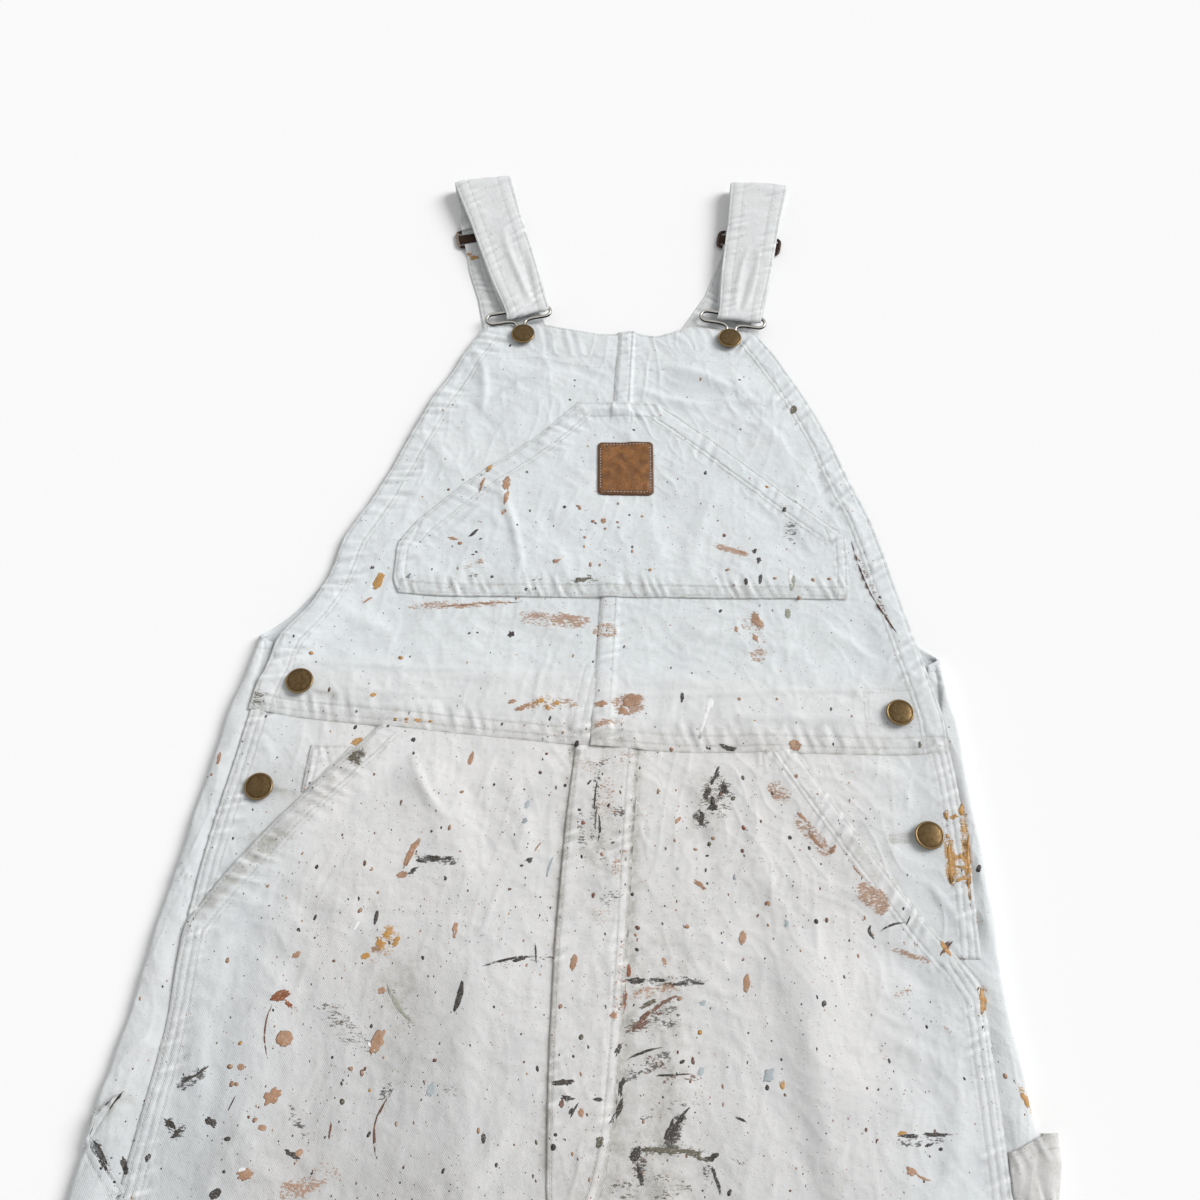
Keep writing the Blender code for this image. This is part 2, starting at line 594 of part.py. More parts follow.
def build_sliders(coat):
    """Flat frame with a broad middle bar, which each strap is threaded through."""
    half_width, half_height = 0.5 * SLIDER_SIZE[0], 0.5 * SLIDER_SIZE[1]
    side_bar, end_bar = SLIDER_FRAME
    overs = (-half_width, side_bar - half_width, half_width - side_bar, half_width)
    window_end = half_height - end_bar
    ups = (-half_height, -window_end, -SLIDER_MIDDLE, SLIDER_MIDDLE, window_end, half_height)
    for rear, name in ((REAR_LEFT, "slider_left"), (REAR_RIGHT, "slider_right")):
        u, v, turn, _ = rear[SLIDER_ROW]
        up, sideways = lean(turn)
        shape = bmesh.new()
        corners = {}
        for i, p in enumerate(overs):
            for j, q in enumerate(ups):
                spot = Vector((u, v)) + sideways * p + up * q
                corners[i, j] = shape.verts.new(place(spot.x, spot.y, STEP))
        for i in range(len(overs) - 1):
            for j in range(len(ups) - 1):
                window = i == 1 and j in (1, 3)
                cell = (corners[i, j], corners[i + 1, j], corners[i + 1, j + 1], corners[i, j + 1])
                if not window:
                    shape.faces.new(cell)
        grown = bmesh.ops.extrude_face_region(shape, geom=shape.faces[:])["geom"]
        top = [item for item in grown if isinstance(item, bmesh.types.BMVert)]
        bmesh.ops.translate(shape, verts=top, vec=(0.0, 0.0, SLIDER_THICKNESS * MM))
        mesh_piece(name, shape, coat, 30.0)


def hook_outline():
    """Half of a hook's wire, across and up from the button: bar, end bend, lower bar, neck and keyhole."""
    inner = HOOK_HALF_WIDTH - HOOK_BEND
    middle = HOOK_REACH - HOOK_BEND
    lower = middle - HOOK_BEND
    outline = [(0.0, HOOK_REACH), (inner, HOOK_REACH)]
    for angle in range(60, -91, -30):
        turn = math.radians(angle)
        outline.append((inner + HOOK_BEND * math.cos(turn), middle + HOOK_BEND * math.sin(turn)))
    outline += [(HOOK_NECK + 7.0, lower), (HOOK_NECK + 2.4, lower - 1.0), (HOOK_NECK, lower - 3.4)]
    radius = SHANK_RADIUS + WIRE_RADIUS + 1.1
    start = math.asin(HOOK_NECK / radius)
    for k in range(6):
        turn = start + (math.pi - start) * k / 5.0
        outline.append((radius * math.sin(turn), radius * math.cos(turn)))
    return outline


def build_hooks(coat):
    """Bent wire: a wide eye for the strap that narrows to a keyhole round the button's shank."""
    half = hook_outline()
    loop = half + [(-p, q) for p, q in reversed(half[1:-1])]
    for index, name in enumerate(("hook_left", "hook_right")):
        button, wire = hook_wire(index)
        up, sideways = lean(HOOK_TURNS[index])
        curve = bpy.data.curves.new(name, "CURVE")
        curve.dimensions = "3D"
        curve.bevel_depth = WIRE_RADIUS * MM
        curve.bevel_resolution = 2
        spline = curve.splines.new("POLY")
        spline.points.add(len(loop) - 1)
        spline.use_cyclic_u = True
        for point, (p, q) in zip(spline.points, loop):
            spot = button + sideways * p + up * q
            z = wire + HOOK_LIFT * smooth(q / HOOK_REACH)
            point.co = (*place(spot.x, spot.y, z), 1.0)
        link(name, curve, coat)


def build_buttons(coat):
    """Tack buttons: a shank down to the cloth and a broad domed head."""
    for name, u, v, stand in BUTTONS:
        floor = facing_floor if "hip" in name else bib_floor
        foot = STEP + max(floor(u + reach, v) for reach in (-BUTTON_RADIUS, 0.0, BUTTON_RADIUS))
        profile = [(SHANK_RADIUS, foot), (SHANK_RADIUS, foot + stand)]
        profile += [(radius, foot + stand + height) for radius, height in HEAD_PROFILE]
        shape = bmesh.new()
        rings = []
        for radius, z in profile:
            ring = []
            for k in range(BUTTON_SEGMENTS):
                angle = 2.0 * math.pi * k / BUTTON_SEGMENTS
                spot = place(u + radius * math.cos(angle), v + radius * math.sin(angle), z)
                ring.append(shape.verts.new(spot))
            rings.append(ring)
        for below, above in zip(rings, rings[1:]):
            for k in range(BUTTON_SEGMENTS):
                after = (k + 1) % BUTTON_SEGMENTS
                shape.faces.new((below[k], below[after], above[after], above[k]))
        shape.faces.new(rings[0])
        shape.faces.new(rings[-1])
        mesh_piece(name, shape, coat, 35.0)


def main():
    """Build every piece of the overalls."""
    clear_scene()
    drill = finish("white_drill", (0.76, 0.77, 0.78), 0.85)
    hide = finish("brown_leather", (0.30, 0.12, 0.04), 0.6)
    brass = finish("aged_brass", (0.20, 0.13, 0.06), 0.4, 1.0)
    nickel = finish("nickel_wire", (0.55, 0.54, 0.52), 0.3, 1.0)
    build_backs(drill)
    build_fronts(drill)
    build_facings(drill)
    build_bib(drill)
    build_overlays(drill)
    build_patch(hide)
    build_tool_pocket(drill)
    build_hammer_loop(drill)
    build_straps(drill)
    build_sliders(brass)
    build_hooks(nickel)
    build_buttons(brass)


main()
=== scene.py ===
"""Looks of white painter's bib overalls laid flat on their back: worn drill, felled seams, dried paint.

Lay frame, in millimetres: u runs to the right, v up the garment from the crotch to the straps, and z up
from the surface it lies on. to_metres() turns it into the part's own frame.
"""
import logging
import math
from collections.abc import Callable, Iterable
from dataclasses import dataclass, field
from enum import Enum

import bpy
import numpy as np
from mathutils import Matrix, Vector


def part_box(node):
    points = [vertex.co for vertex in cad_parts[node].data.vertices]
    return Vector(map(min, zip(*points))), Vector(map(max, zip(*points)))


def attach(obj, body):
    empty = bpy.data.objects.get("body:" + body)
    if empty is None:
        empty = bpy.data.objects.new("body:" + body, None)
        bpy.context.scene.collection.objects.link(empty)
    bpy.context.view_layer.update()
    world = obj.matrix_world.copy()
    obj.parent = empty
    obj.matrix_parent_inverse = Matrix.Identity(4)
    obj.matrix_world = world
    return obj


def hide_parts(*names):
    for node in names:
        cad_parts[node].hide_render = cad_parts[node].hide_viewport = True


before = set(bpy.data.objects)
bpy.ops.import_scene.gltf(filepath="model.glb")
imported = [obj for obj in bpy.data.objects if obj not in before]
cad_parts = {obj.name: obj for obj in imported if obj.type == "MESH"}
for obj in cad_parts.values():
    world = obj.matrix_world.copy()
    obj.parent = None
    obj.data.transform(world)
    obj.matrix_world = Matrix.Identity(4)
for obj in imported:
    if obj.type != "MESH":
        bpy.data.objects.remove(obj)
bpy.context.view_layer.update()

Array = np.ndarray
Height = Callable[[Array, Array], Array]
Path = tuple[tuple[float, float], ...]
Feed = bpy.types.NodeSocket | float | tuple[float, ...]

MM = 0.001                                   # millimetres to metres
HEM_V = -820.0                               # leg hems
CROTCH_V = -30.0                             # where the four panels meet
WAIST_V = 300.0                              # seam between the bib and the fronts
V_SHIFT = HEM_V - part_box("front_left")[0].y / MM
SIDES = ("left", "right")
DETAIL_V = -64.0                             # below this the legs take a coarser net
NET = 1.75                                   # mesh spacing where it shows best
LEG_NET = 5.0

CLOTH = 1.3
SEAM_GAP = 0.3
STEP = CLOTH + SEAM_GAP                      # one layer up
FOLD_RADIUS = 3.1                            # outer radius of the side folds
BIB_REST = 3.4                               # underside of the bib over the high back
FRONT_REST = 5.2                             # underside of the fronts over the seat
WAIST_LIFT = 5.3                             # extra height of the bib where it laps the fronts
SIDE_LIFT = 1.5                              # extra height at side seams over the folded-over backs
FELL_HALF = 6.6                              # half width of the felled strip down the bib
HEM_INSEAM = 82.0                            # from the middle to the inner edge of a hem
INSEAM_BOW = 14.0
CENTRE_LEAN = 0.0215                         # the centre seams lean to the right going up
CENTRE_WAIST = 4.0
MOUTH_FOOT_V = 145.0                         # the pocket mouths end at the side seams here
WRAP_UNDERLAP = 6.0                          # how far the backs reach in under the side seams
STITCH_PITCH = 3.0                           # along the edges of the straps and the loop
STITCH_HALF = 1.08                           # half length of those stitches

log = logging.getLogger("overalls")


def to_metres(points: Array) -> Array:
    """Turn lay frame points into the part's frame.

    Args:
        points: rows of u, v, z in millimetres.

    Returns:
        Rows of x, y, z in metres.
    """
    return (points - np.array((0.0, V_SHIFT, 0.0))) * MM


def to_lay(point: Vector) -> Array:
    """Turn one point of the part's frame, in metres, into u, v, z in millimetres."""
    return np.array(point) / MM + np.array((0.0, V_SHIFT, 0.0))


def smooth(t: Array) -> Array:
    """Ease from 0 to 1: three t squared less two t cubed, held outside that range."""
    t = np.clip(t, 0.0, 1.0)
    return t * t * (3.0 - 2.0 * t)


def soften(values: Array, window: int) -> Array:
    """Running mean of a row of values, its ends repeated.

    Args:
        values: the row.
        window: how many values it takes in on either side.

    Returns:
        As many values, evened out.
    """
    padded = np.pad(values, window, mode="edge")
    kernel = np.ones(2 * window + 1) / (2 * window + 1)
    return np.convolve(padded, kernel, mode="valid")


# ---------------------------------------------------------------- what the frame gives

class Outline:
    """Plan outline of one CAD node, read by slicing its mesh at even stations."""

    STATION = 2.0

    def __init__(self, node: str, rounding: float = 6.0) -> None:
        """Slice the node.

        Args:
            node: name of the CAD node.
            rounding: half length over which corners are rounded, in millimetres.
        """
        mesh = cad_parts[node].data
        spots = np.empty(len(mesh.vertices) * 3, np.float32)
        mesh.vertices.foreach_get("co", spots)
        ends = np.empty(len(mesh.edges) * 2, np.int32)
        mesh.edges.foreach_get("vertices", ends)
        points = spots.reshape(-1, 3) / MM + np.array((0.0, V_SHIFT, 0.0))
        self._a = points[ends[0::2]]
        self._b = points[ends[1::2]]
        self._window = int(rounding / self.STATION)
        self.low_v = float(points[:, 1].min())
        self.high_v = float(points[:, 1].max())
        self._v, self._left, self._right = self._slice(1, 0)
        self._u, self._low, self._high = self._slice(0, 1)

    def _slice(self, along: int, across: int) -> tuple[Array, Array, Array]:
        """Cut every edge at even stations along one axis and keep the extremes along the other.

        Args:
            along: the axis that the stations step along, 0 for u and 1 for v.
            across: the other axis.

        Returns:
            The stations, and the least and the greatest value at each.
        """
        a, b = self._a, self._b
        first = min(a[:, along].min(), b[:, along].min())
        last = max(a[:, along].max(), b[:, along].max())
        stations = np.linspace(first + 0.05, last - 0.05, int((last - first) / self.STATION) + 2)
        span = b[:, along] - a[:, along]
        span = np.where(np.abs(span) < 1e-6, 1e-6, span)
        share = (stations[:, None] - a[:, along]) / span
        hit = (share >= 0.0) & (share <= 1.0)
        value = a[:, across] + share * (b[:, across] - a[:, across])
        low = np.where(hit, value, np.inf).min(axis=1)
        high = np.where(hit, value, -np.inf).max(axis=1)
        return stations, soften(low, self._window), soften(high, self._window)

    def left(self, v: Array) -> Array:
        """Left edge at v."""
        return np.interp(v, self._v, self._left)

    def right(self, v: Array) -> Array:
        """Right edge at v."""
        return np.interp(v, self._v, self._right)

    def bottom(self, u: Array) -> Array:
        """Lower edge at u."""
        return np.interp(u, self._u, self._low)

    def holds(self, u: Array, v: Array) -> Array:
        """Whether points lie between the side edges and the ends."""
        inside = (u >= self.left(v)) & (u <= self.right(v))
        return inside & (v >= self.low_v) & (v <= self.high_v)

    def path(self, right: bool, low_v: float, high_v: float, step: float = 12.0) -> Path:
        """A side edge as a path that keeps the inside on its left.

        Args:
            right: the right edge, run upwards; else the left edge, run downwards.
            low_v: lower end.
            high_v: upper end.
            step: spacing of its points.

        Returns:
            The points of the path.
        """
        v = np.linspace(low_v, high_v, max(2, int((high_v - low_v) / step)))
        if right:
            return tuple(zip(self.right(v), v))
        return tuple(zip(self.left(v[::-1]), v[::-1]))


class Waves:
    """Gentle unevenness: the sum of plane waves of mixed lengths and headings, about 0 to height."""

    def __init__(self, seed: int, shortest: float, longest: float, height: float, count: int = 9) -> None:
        """Draw the waves.

        Args:
            seed: of the random draw.
            shortest: shortest wave.
            longest: longest wave.
            height: of the sum.
            count: how many waves are summed.
        """
        draw = np.random.default_rng(seed)
        length = np.exp(draw.uniform(math.log(shortest), math.log(longest), count))
        heading = draw.uniform(0.0, 2.0 * math.pi, count)
        self._u = 2.0 * math.pi * np.cos(heading) / length
        self._v = 2.0 * math.pi * np.sin(heading) / length
        self._phase = draw.uniform(0.0, 2.0 * math.pi, count)
        self._height = height

    def __call__(self, u: Array, v: Array) -> Array:
        """Height at each point.

        Args:
            u: places across.
            v: places up.

        Returns:
            One height for each point.
        """
        total = np.zeros(np.shape(u))
        for wave_u, wave_v, phase in zip(self._u, self._v, self._phase):
            total += np.cos(u * wave_u + v * wave_v + phase)
        return self._height * np.clip(0.5 + 0.5 * total / math.sqrt(2.0 * len(self._phase)), -0.1, 1.1)


class Crumple:
    """Sharp little wrinkles: folded plane waves, bent by slow waves and kept to patches."""

    def __init__(self, seed: int, shortest: float, longest: float, height: float, count: int = 7) -> None:
        """Draw the waves.

        Args:
            seed: of the random draw.
            shortest: shortest wave.
            longest: longest wave.
            height: of the wrinkles.
            count: how many waves are summed.
        """
        draw = np.random.default_rng(seed)
        self._length = np.exp(draw.uniform(math.log(shortest), math.log(longest), count))
        self._heading = draw.uniform(0.0, math.pi, count)
        self._phase = draw.uniform(0.0, 2.0 * math.pi, count)
        self._bend = [Waves(seed + 10 + k, 34.0, 110.0, 1.0, 5) for k in range(count)]
        self._patch = [Waves(seed + 40 + k, 60.0, 160.0, 1.0, 5) for k in range(count)]
        self._height = height

    def __call__(self, u: Array, v: Array) -> Array:
        """Ridges where each bent wave turns: one less the size of its sine, cubed.

        Args:
            u: places across.
            v: places up.

        Returns:
            One height for each point.
        """
        total = np.zeros(np.shape(u))
        for length, heading, phase, bend, patch in zip(
                self._length, self._heading, self._phase, self._bend, self._patch):
            across = u * math.cos(heading) + v * math.sin(heading) + 1.6 * length * bend(u, v)
            ridge = (1.0 - np.abs(np.sin(math.pi * across / length + phase))) ** 3
            total += ridge * smooth((patch(u, v) - 0.42) / 0.3)
        return self._height * np.minimum(total, 1.6)


@dataclass(frozen=True)
class Crease:
    """Soft ridge, or a trough where the height is negative, steeper on one flank and faded at both ends."""

    u0: float
    v0: float
    u1: float
    v1: float
    width: float
    height: float
    bow: float = 0.0

    def relief(self, u: Array, v: Array) -> Array:
        """A bell across the bowed line, its left flank two thirds as wide, times a hump along it.

        Args:
            u: places across.
            v: places up.

        Returns:
            Height added at each point.
        """
        run_u, run_v = self.u1 - self.u0, self.v1 - self.v0
        length = math.hypot(run_u, run_v)
        total = np.zeros(np.shape(u))
        reach = 3.0 * self.width + abs(self.bow)
        near = (u > min(self.u0, self.u1) - reach) & (u < max(self.u0, self.u1) + reach)
        near &= (v > min(self.v0, self.v1) - reach) & (v < max(self.v0, self.v1) + reach)
        du, dv = u[near] - self.u0, v[near] - self.v0
        along = np.clip((du * run_u + dv * run_v) / length ** 2, 0.0, 1.0)
        arch = 4.0 * along * (1.0 - along)
        offset = (dv * run_u - du * run_v) / length - self.bow * arch
        width = np.where(offset > 0.0, 0.8, 1.2) * self.width
        total[near] = self.height * arch ** 0.6 * np.exp(-((offset / width) ** 2))
        return total


# The folds that the solids have: u0, v0, u1, v1, half width, height.
FOLDS = (
    (-100.0, 632.0, -58.0, 624.0, 13.0, 2.2),
    (62.0, 630.0, 118.0, 618.0, 13.0, 2.2),
    (-112.0, 272.0, -84.0, 212.0, 22.0, 3.0),
    (-112.0, 120.0, -128.0, -60.0, 30.0, -1.6),
    (128.0, 140.0, 118.0, -60.0, 34.0, 3.6),
    (-205.0, 90.0, -222.0, -140.0, 30.0, 3.4),
    (206.0, 60.0, 214.0, -160.0, 28.0, 3.2),
    (-52.0, -78.0, -205.0, -150.0, 24.0, 5.0),
    (54.0, -82.0, 212.0, -176.0, 24.0, 5.0),
    (-86.0, -190.0, -196.0, -262.0, 24.0, 4.2),
    (92.0, -214.0, 200.0, -258.0, 24.0, 4.4),
    (-246.0, -345.0, -128.0, -408.0, 26.0, 4.8),
    (112.0, -380.0, 248.0, -352.0, 26.0, 4.6),
    (-238.0, -470.0, -120.0, -455.0, 22.0, 3.6),
    (124.0, -478.0, 236.0, -520.0, 24.0, 4.0),
    (-206.0, -560.0, -178.0, -790.0, 28.0, 4.0),
    (202.0, -590.0, 186.0, -800.0, 28.0, 4.2),
)

# Smaller creases over them: u0, v0, u1, v1, half width, height, bow.
CREASES = tuple(Crease(*row) for row in (
    # bib, above the pocket
    (-114.0, 652.0, -104.0, 585.0, 4.0, 1.1, 5.0),
    (-98.0, 598.0, -28.0, 634.0, 5.0, 1.3, 5.0),
    (-82.0, 650.0, -30.0, 640.0, 4.0, 0.7, -2.0),
    (-132.0, 612.0, -92.0, 566.0, 5.0, -0.7, 3.0),
    (-142.0, 560.0, -112.0, 528.0, 6.0, 0.8, -3.0),
    (-166.0, 508.0, -132.0, 540.0, 4.0, 0.6, 3.0),
    (-60.0, 640.0, -6.0, 622.0, 5.0, -0.6, 3.0),
    (22.0, 616.0, 96.0, 600.0, 4.5, 1.4, -5.0),
    (88.0, 602.0, 158.0, 606.0, 4.5, 1.2, 3.0),
    (44.0, 640.0, 104.0, 614.0, 5.0, 1.2, 4.0),
    (100.0, 640.0, 128.0, 596.0, 5.0, 0.7, -4.0),
    (120.0, 590.0, 148.0, 540.0, 6.0, 0.8, 5.0),
    (168.0, 560.0, 180.0, 500.0, 5.0, -0.7, -3.0),
    (186.0, 512.0, 206.0, 452.0, 5.0, 0.7, 3.0),
    # bib pocket
    (-86.0, 522.0, -60.0, 438.0, 3.0, 1.3, 3.0),
    (-120.0, 470.0, -92.0, 500.0, 3.0, 0.6, 0.0),
    (-128.0, 484.0, -70.0, 470.0, 6.0, -0.6, 3.0),
    (88.0, 520.0, 70.0, 440.0, 6.0, 0.8, -4.0),
    (112.0, 504.0, 160.0, 452.0, 8.0, -0.7, 5.0),
    (-24.0, 590.0, 34.0, 586.0, 3.0, 0.9, 4.0),
    (-46.0, 572.0, -18.0, 592.0, 3.5, 0.7, -2.0),
    (30.0, 500.0, 44.0, 436.0, 7.0, 0.6, 3.0),
    (-40.0, 468.0, -24.0, 430.0, 5.0, 0.5, 2.0),
    # between the pocket and the waist
    (-200.0, 400.0, -150.0, 378.0, 6.0, 0.9, 4.0),
    (-190.0, 366.0, -118.0, 352.0, 5.0, 0.7, -3.0),
    (-116.0, 346.0, -28.0, 350.0, 4.0, 0.8, 2.0),
    (-90.0, 396.0, -20.0, 372.0, 7.0, -0.6, 4.0),
    (60.0, 400.0, 150.0, 380.0, 7.0, 0.8, -4.0),
    (84.0, 326.0, 198.0, 328.0, 3.5, 1.0, -2.0),
    (-150.0, 322.0, -112.0, 326.0, 3.0, 0.9, 1.0),
    (-228.0, 358.0, -96.0, 354.0, 2.0, 0.55, -1.0),
    (-118.0, 355.0, -4.0, 351.0, 2.0, 0.5, 1.0),
    (4.0, 339.0, 128.0, 344.5, 2.0, 0.6, -1.5),
    (96.0, 343.0, 214.0, 350.0, 2.0, 0.6, 1.0),
    (26.0, 352.0, 96.0, 344.0, 5.0, 0.6, 3.0),
    (160.0, 404.0, 206.0, 366.0, 6.0, 0.9, 4.0),
    (150.0, 350.0, 190.0, 340.0, 4.0, -0.5, 0.0),
    # left front
    (-128.0, 290.0, -96.0, 240.0, 3.5, 1.3, -4.0),
    (-104.0, 286.0, -66.0, 214.0, 8.0, -0.8, 6.0),
    (-60.0, 280.0, -40.0, 190.0, 7.0, 0.7, 4.0),
    (-205.0, 198.0, -150.0, 170.0, 8.0, 0.9, 4.0),
    (-236.0, 186.0, -190.0, 176.0, 6.0, 1.0, -5.0),
    (-230.0, 160.0, -170.0, 120.0, 9.0, -0.8, 6.0),
    (-160.0, 130.0, -150.0, 20.0, 10.0, 0.8, 8.0),
    (-70.0, 150.0, -62.0, 0.0, 10.0, 0.9, -6.0),
    (-250.0, 130.0, -232.0, 20.0, 7.0, 0.9, 5.0),
    (-210.0, 60.0, -176.0, 8.0, 8.0, 0.8, -5.0),
    (-40.0, 60.0, -90.0, -20.0, 8.0, 1.0, 5.0),
    # right front
    (60.0, 280.0, 84.0, 190.0, 8.0, -0.7, 5.0),
    (104.0, 222.0, 154.0, -50.0, 17.0, -1.1, 0.0),
    (138.0, 214.0, 186.0, -50.0, 22.0, 1.2, 0.0),
    (110.0, 268.0, 132.0, 180.0, 7.0, 0.8, -5.0),
    (150.0, 210.0, 216.0, 196.0, 7.0, 0.9, -4.0),
    (176.0, 170.0, 244.0, 128.0, 8.0, -0.8, 5.0),
    (150.0, 120.0, 160.0, 10.0, 9.0, 0.9, -6.0),
    (60.0, 130.0, 52.0, 0.0, 9.0, 0.8, 6.0),
    (190.0, 110.0, 236.0, 90.0, 6.0, 0.8, 3.0),
    (236.0, 80.0, 214.0, 10.0, 7.0, 0.9, 4.0),
    (34.0, 60.0, 86.0, -24.0, 8.0, 1.0, -5.0),
    # facings
    (-236.0, 300.0, -224.0, 268.0, 4.0, 0.7, 2.0),
    (-246.0, 250.0, -216.0, 236.0, 4.0, 0.8, -2.0),
    (-222.0, 226.0, -246.0, 200.0, 4.0, 0.7, 2.0),
    (176.0, 292.0, 222.0, 282.0, 5.0, 0.7, 2.0),
    (200.0, 236.0, 244.0, 218.0, 4.0, 0.7, -2.0),
    (228.0, 210.0, 250.0, 176.0, 4.0, 0.7, 2.0),
))


def leg_creases() -> tuple[Crease, ...]:
    """Slanting creases down both legs, from the inseam outwards, longer and deeper at the knee.

    Returns:
        The creases, those of the left leg first.
    """
    draw = np.random.default_rng(41)
    rows = []
    for side in (-1.0, 1.0):
        for v in np.arange(-110.0, -780.0, -46.0):
            inner = 40.0 + 0.09 * (-v) + draw.uniform(0.0, 50.0)
            reach = draw.uniform(50.0, 130.0)
            drop = draw.uniform(-46.0, 34.0)
            knee = math.exp(-((v + 400.0) / 160.0) ** 2)
            height = draw.choice((-1.0, 1.0)) * draw.uniform(0.8, 1.4) * (1.0 + knee)
            rows.append(Crease(side * inner, v, side * (inner + reach), v + drop,
                               draw.uniform(6.0, 13.0), height, draw.uniform(-9.0, 9.0)))
    return tuple(rows)


class Terrain:
    """Heights that the panels share, so that layers stay one step apart wherever the cloth rises."""

    def __init__(self) -> None:
        """Read the panels' outlines from the solids and draw the unevenness."""
        self.bibs = (Outline("bib_left"), Outline("bib_right"))
        self.fronts = (Outline("front_left"), Outline("front_right"))
        self.facings = (Outline("pocket_facing_left"), Outline("pocket_facing_right"))
        self.backs = (Outline("back_left"), Outline("back_right"))
        self._swell = Waves(3, 70.0, 190.0, 1.5)
        self._ripple = Waves(8, 26.0, 60.0, 0.7)
        self._crumple = Crumple(200, 16.0, 34.0, 0.5)
        self._creases = CREASES + leg_creases()
        buttons = [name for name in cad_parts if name.startswith("button")]
        self._calm = [to_lay(sum(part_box(name), Vector()) / 2.0)[:2] for name in buttons]

    @staticmethod
    def centre(v: Array) -> Array:
        """Centre seam of the bib, the fronts and the seat."""
        return CENTRE_WAIST + CENTRE_LEAN * (v - WAIST_V)

    @staticmethod
    def inseam(v: Array, side: float) -> Array:
        """Inner edge of a leg: the centre seam above the crotch, a line with a slight bow below it.

        Args:
            v: places up.
            side: -1 on the left leg, 1 on the right.

        Returns:
            u of the edge at each v.
        """
        t = np.clip((CROTCH_V - v) / (CROTCH_V - HEM_V), 0.0, 1.0)
        swing = HEM_INSEAM * t + INSEAM_BOW * np.sin(math.pi * t)
        held = Terrain.centre(np.maximum(v, CROTCH_V)) * (1.0 - t)
        return held + side * (0.5 * SEAM_GAP + swing)

    @staticmethod
    def lap(u: Array, v: Array, pair: tuple[Outline, Outline], hold: float, reach: float) -> Array:
        """1 from the side edges of a pair of panels in to hold, easing to 0 over reach."""
        near = np.minimum(u - pair[0].left(v), pair[1].right(v) - u)
        return 1.0 - smooth((near - hold) / reach)

    @staticmethod
    def folds(u: Array, v: Array) -> Array:
        """Height added by the large folds: a bell of the distance to each line.

        Args:
            u: places across.
            v: places up.

        Returns:
            Height added at each point.
        """
        total = np.zeros(np.shape(u))
        for u0, v0, u1, v1, width, height in FOLDS:
            run_u, run_v = u1 - u0, v1 - v0
            along = ((u - u0) * run_u + (v - v0) * run_v) / (run_u ** 2 + run_v ** 2)
            along = np.clip(along, 0.0, 1.0)
            distance = np.hypot(u - u0 - along * run_u, v - v0 - along * run_v)
            total += height * np.exp(-((distance / width) ** 2))
        return total

    def relief(self, u: Array, v: Array) -> Array:
        """Swell, ripple, wrinkles and creases, calmed round the buttons, never far below the floor.

        Args:
            u: places across.
            v: places up.

        Returns:
            Height added at each point.
        """
        total = self._swell(u, v) + self._ripple(u, v) + self._crumple(u, v) - 0.4
        for crease in self._creases:
            total += 1.7 * crease.relief(u, v)
        for u0, v0 in self._calm:
            total *= 1.0 - np.exp(-(((u - u0) ** 2 + (v - v0) ** 2) / 24.0 ** 2) ** 2)
        edge = smooth((np.minimum(u + 250.0, 250.0 - u) - 20.0) / 40.0) * smooth((600.0 - v) / 60.0)
        return np.maximum(total, -0.15 - 0.9 * edge)

    def front(self, u: Array, v: Array) -> Array:
        """Underside of the fronts: over the facings and the backs' edges, down at the inseams.

        Args:
            u: places across.
            v: places up.

        Returns:
            z of the underside at each point.
        """
        lap = self.lap(u, v, self.fronts, 22.0, 22.0)
        corner = self.lap(u, v, self.facings, 16.0, 24.0) * smooth((v - 100.0) / (MOUTH_FOOT_V - 100.0))
        floor = FRONT_REST + STEP * (lap + corner) + self.folds(u, v)
        near = np.minimum(np.abs(u - self.inseam(v, -1.0)), np.abs(u - self.inseam(v, 1.0)))
        down = np.where(v < CROTCH_V, smooth(near / 16.0), 1.0)
        return STEP + (floor - STEP) * down + self.relief(u, v) * (0.25 + 0.75 * down)

    def facing(self, u: Array, v: Array) -> Array:
        """Underside of the pocket facings: over the backs at the side seams."""
        return FRONT_REST + SIDE_LIFT * self.lap(u, v, self.facings, 12.0, 22.0) + self.relief(u, v)

    def strip(self, u: Array, v: Array) -> Array:
        """1 on the felled strip down the middle of the bib, 0 beside it and behind the pocket."""
        beside = smooth((FELL_HALF + 2.4 - np.abs(u - self.centre(v))) / 2.4)
        return beside * self.felled(v)

    @staticmethod
    def felled(v: Array) -> Array:
        """1 where the felled strip shows, above and below the pocket, easing to 0 behind it."""
        return np.maximum(smooth((v - 576.0) / 16.0), smooth((442.0 - v) / 16.0))

    def support(self, u: Array, v: Array) -> Array:
        """Uppermost cloth below the bib at the waist, eased over the edges of the fronts.

        Args:
            u: places across.
            v: places up.

        Returns:
            z of that cloth's face at each point.
        """
        held = np.minimum(v, 326.0)
        inner = smooth((u - self.fronts[0].left(held) + 8.0) / 16.0)
        inner = inner * smooth((self.fronts[1].right(held) - u + 8.0) / 16.0)
        fly = smooth((u + 21.0) / 12.0) * smooth((41.0 - u) / 12.0)
        side = self.facing(u, held)
        return side + (self.front(u, held) + STEP * fly - side) * inner + CLOTH

    def waist(self, u: Array) -> Array:
        """Where the bib's lower edge lies at u."""
        return np.minimum(np.where(u < 4.0, self.bibs[0].bottom(u), self.bibs[1].bottom(u)), 320.0)

    def tucked(self, u: Array, v: Array) -> Array:
        """How far the cloth sinks where it passes under the bib."""
        return 0.9 * smooth((v - self.waist(u) - 0.5) / 4.0)

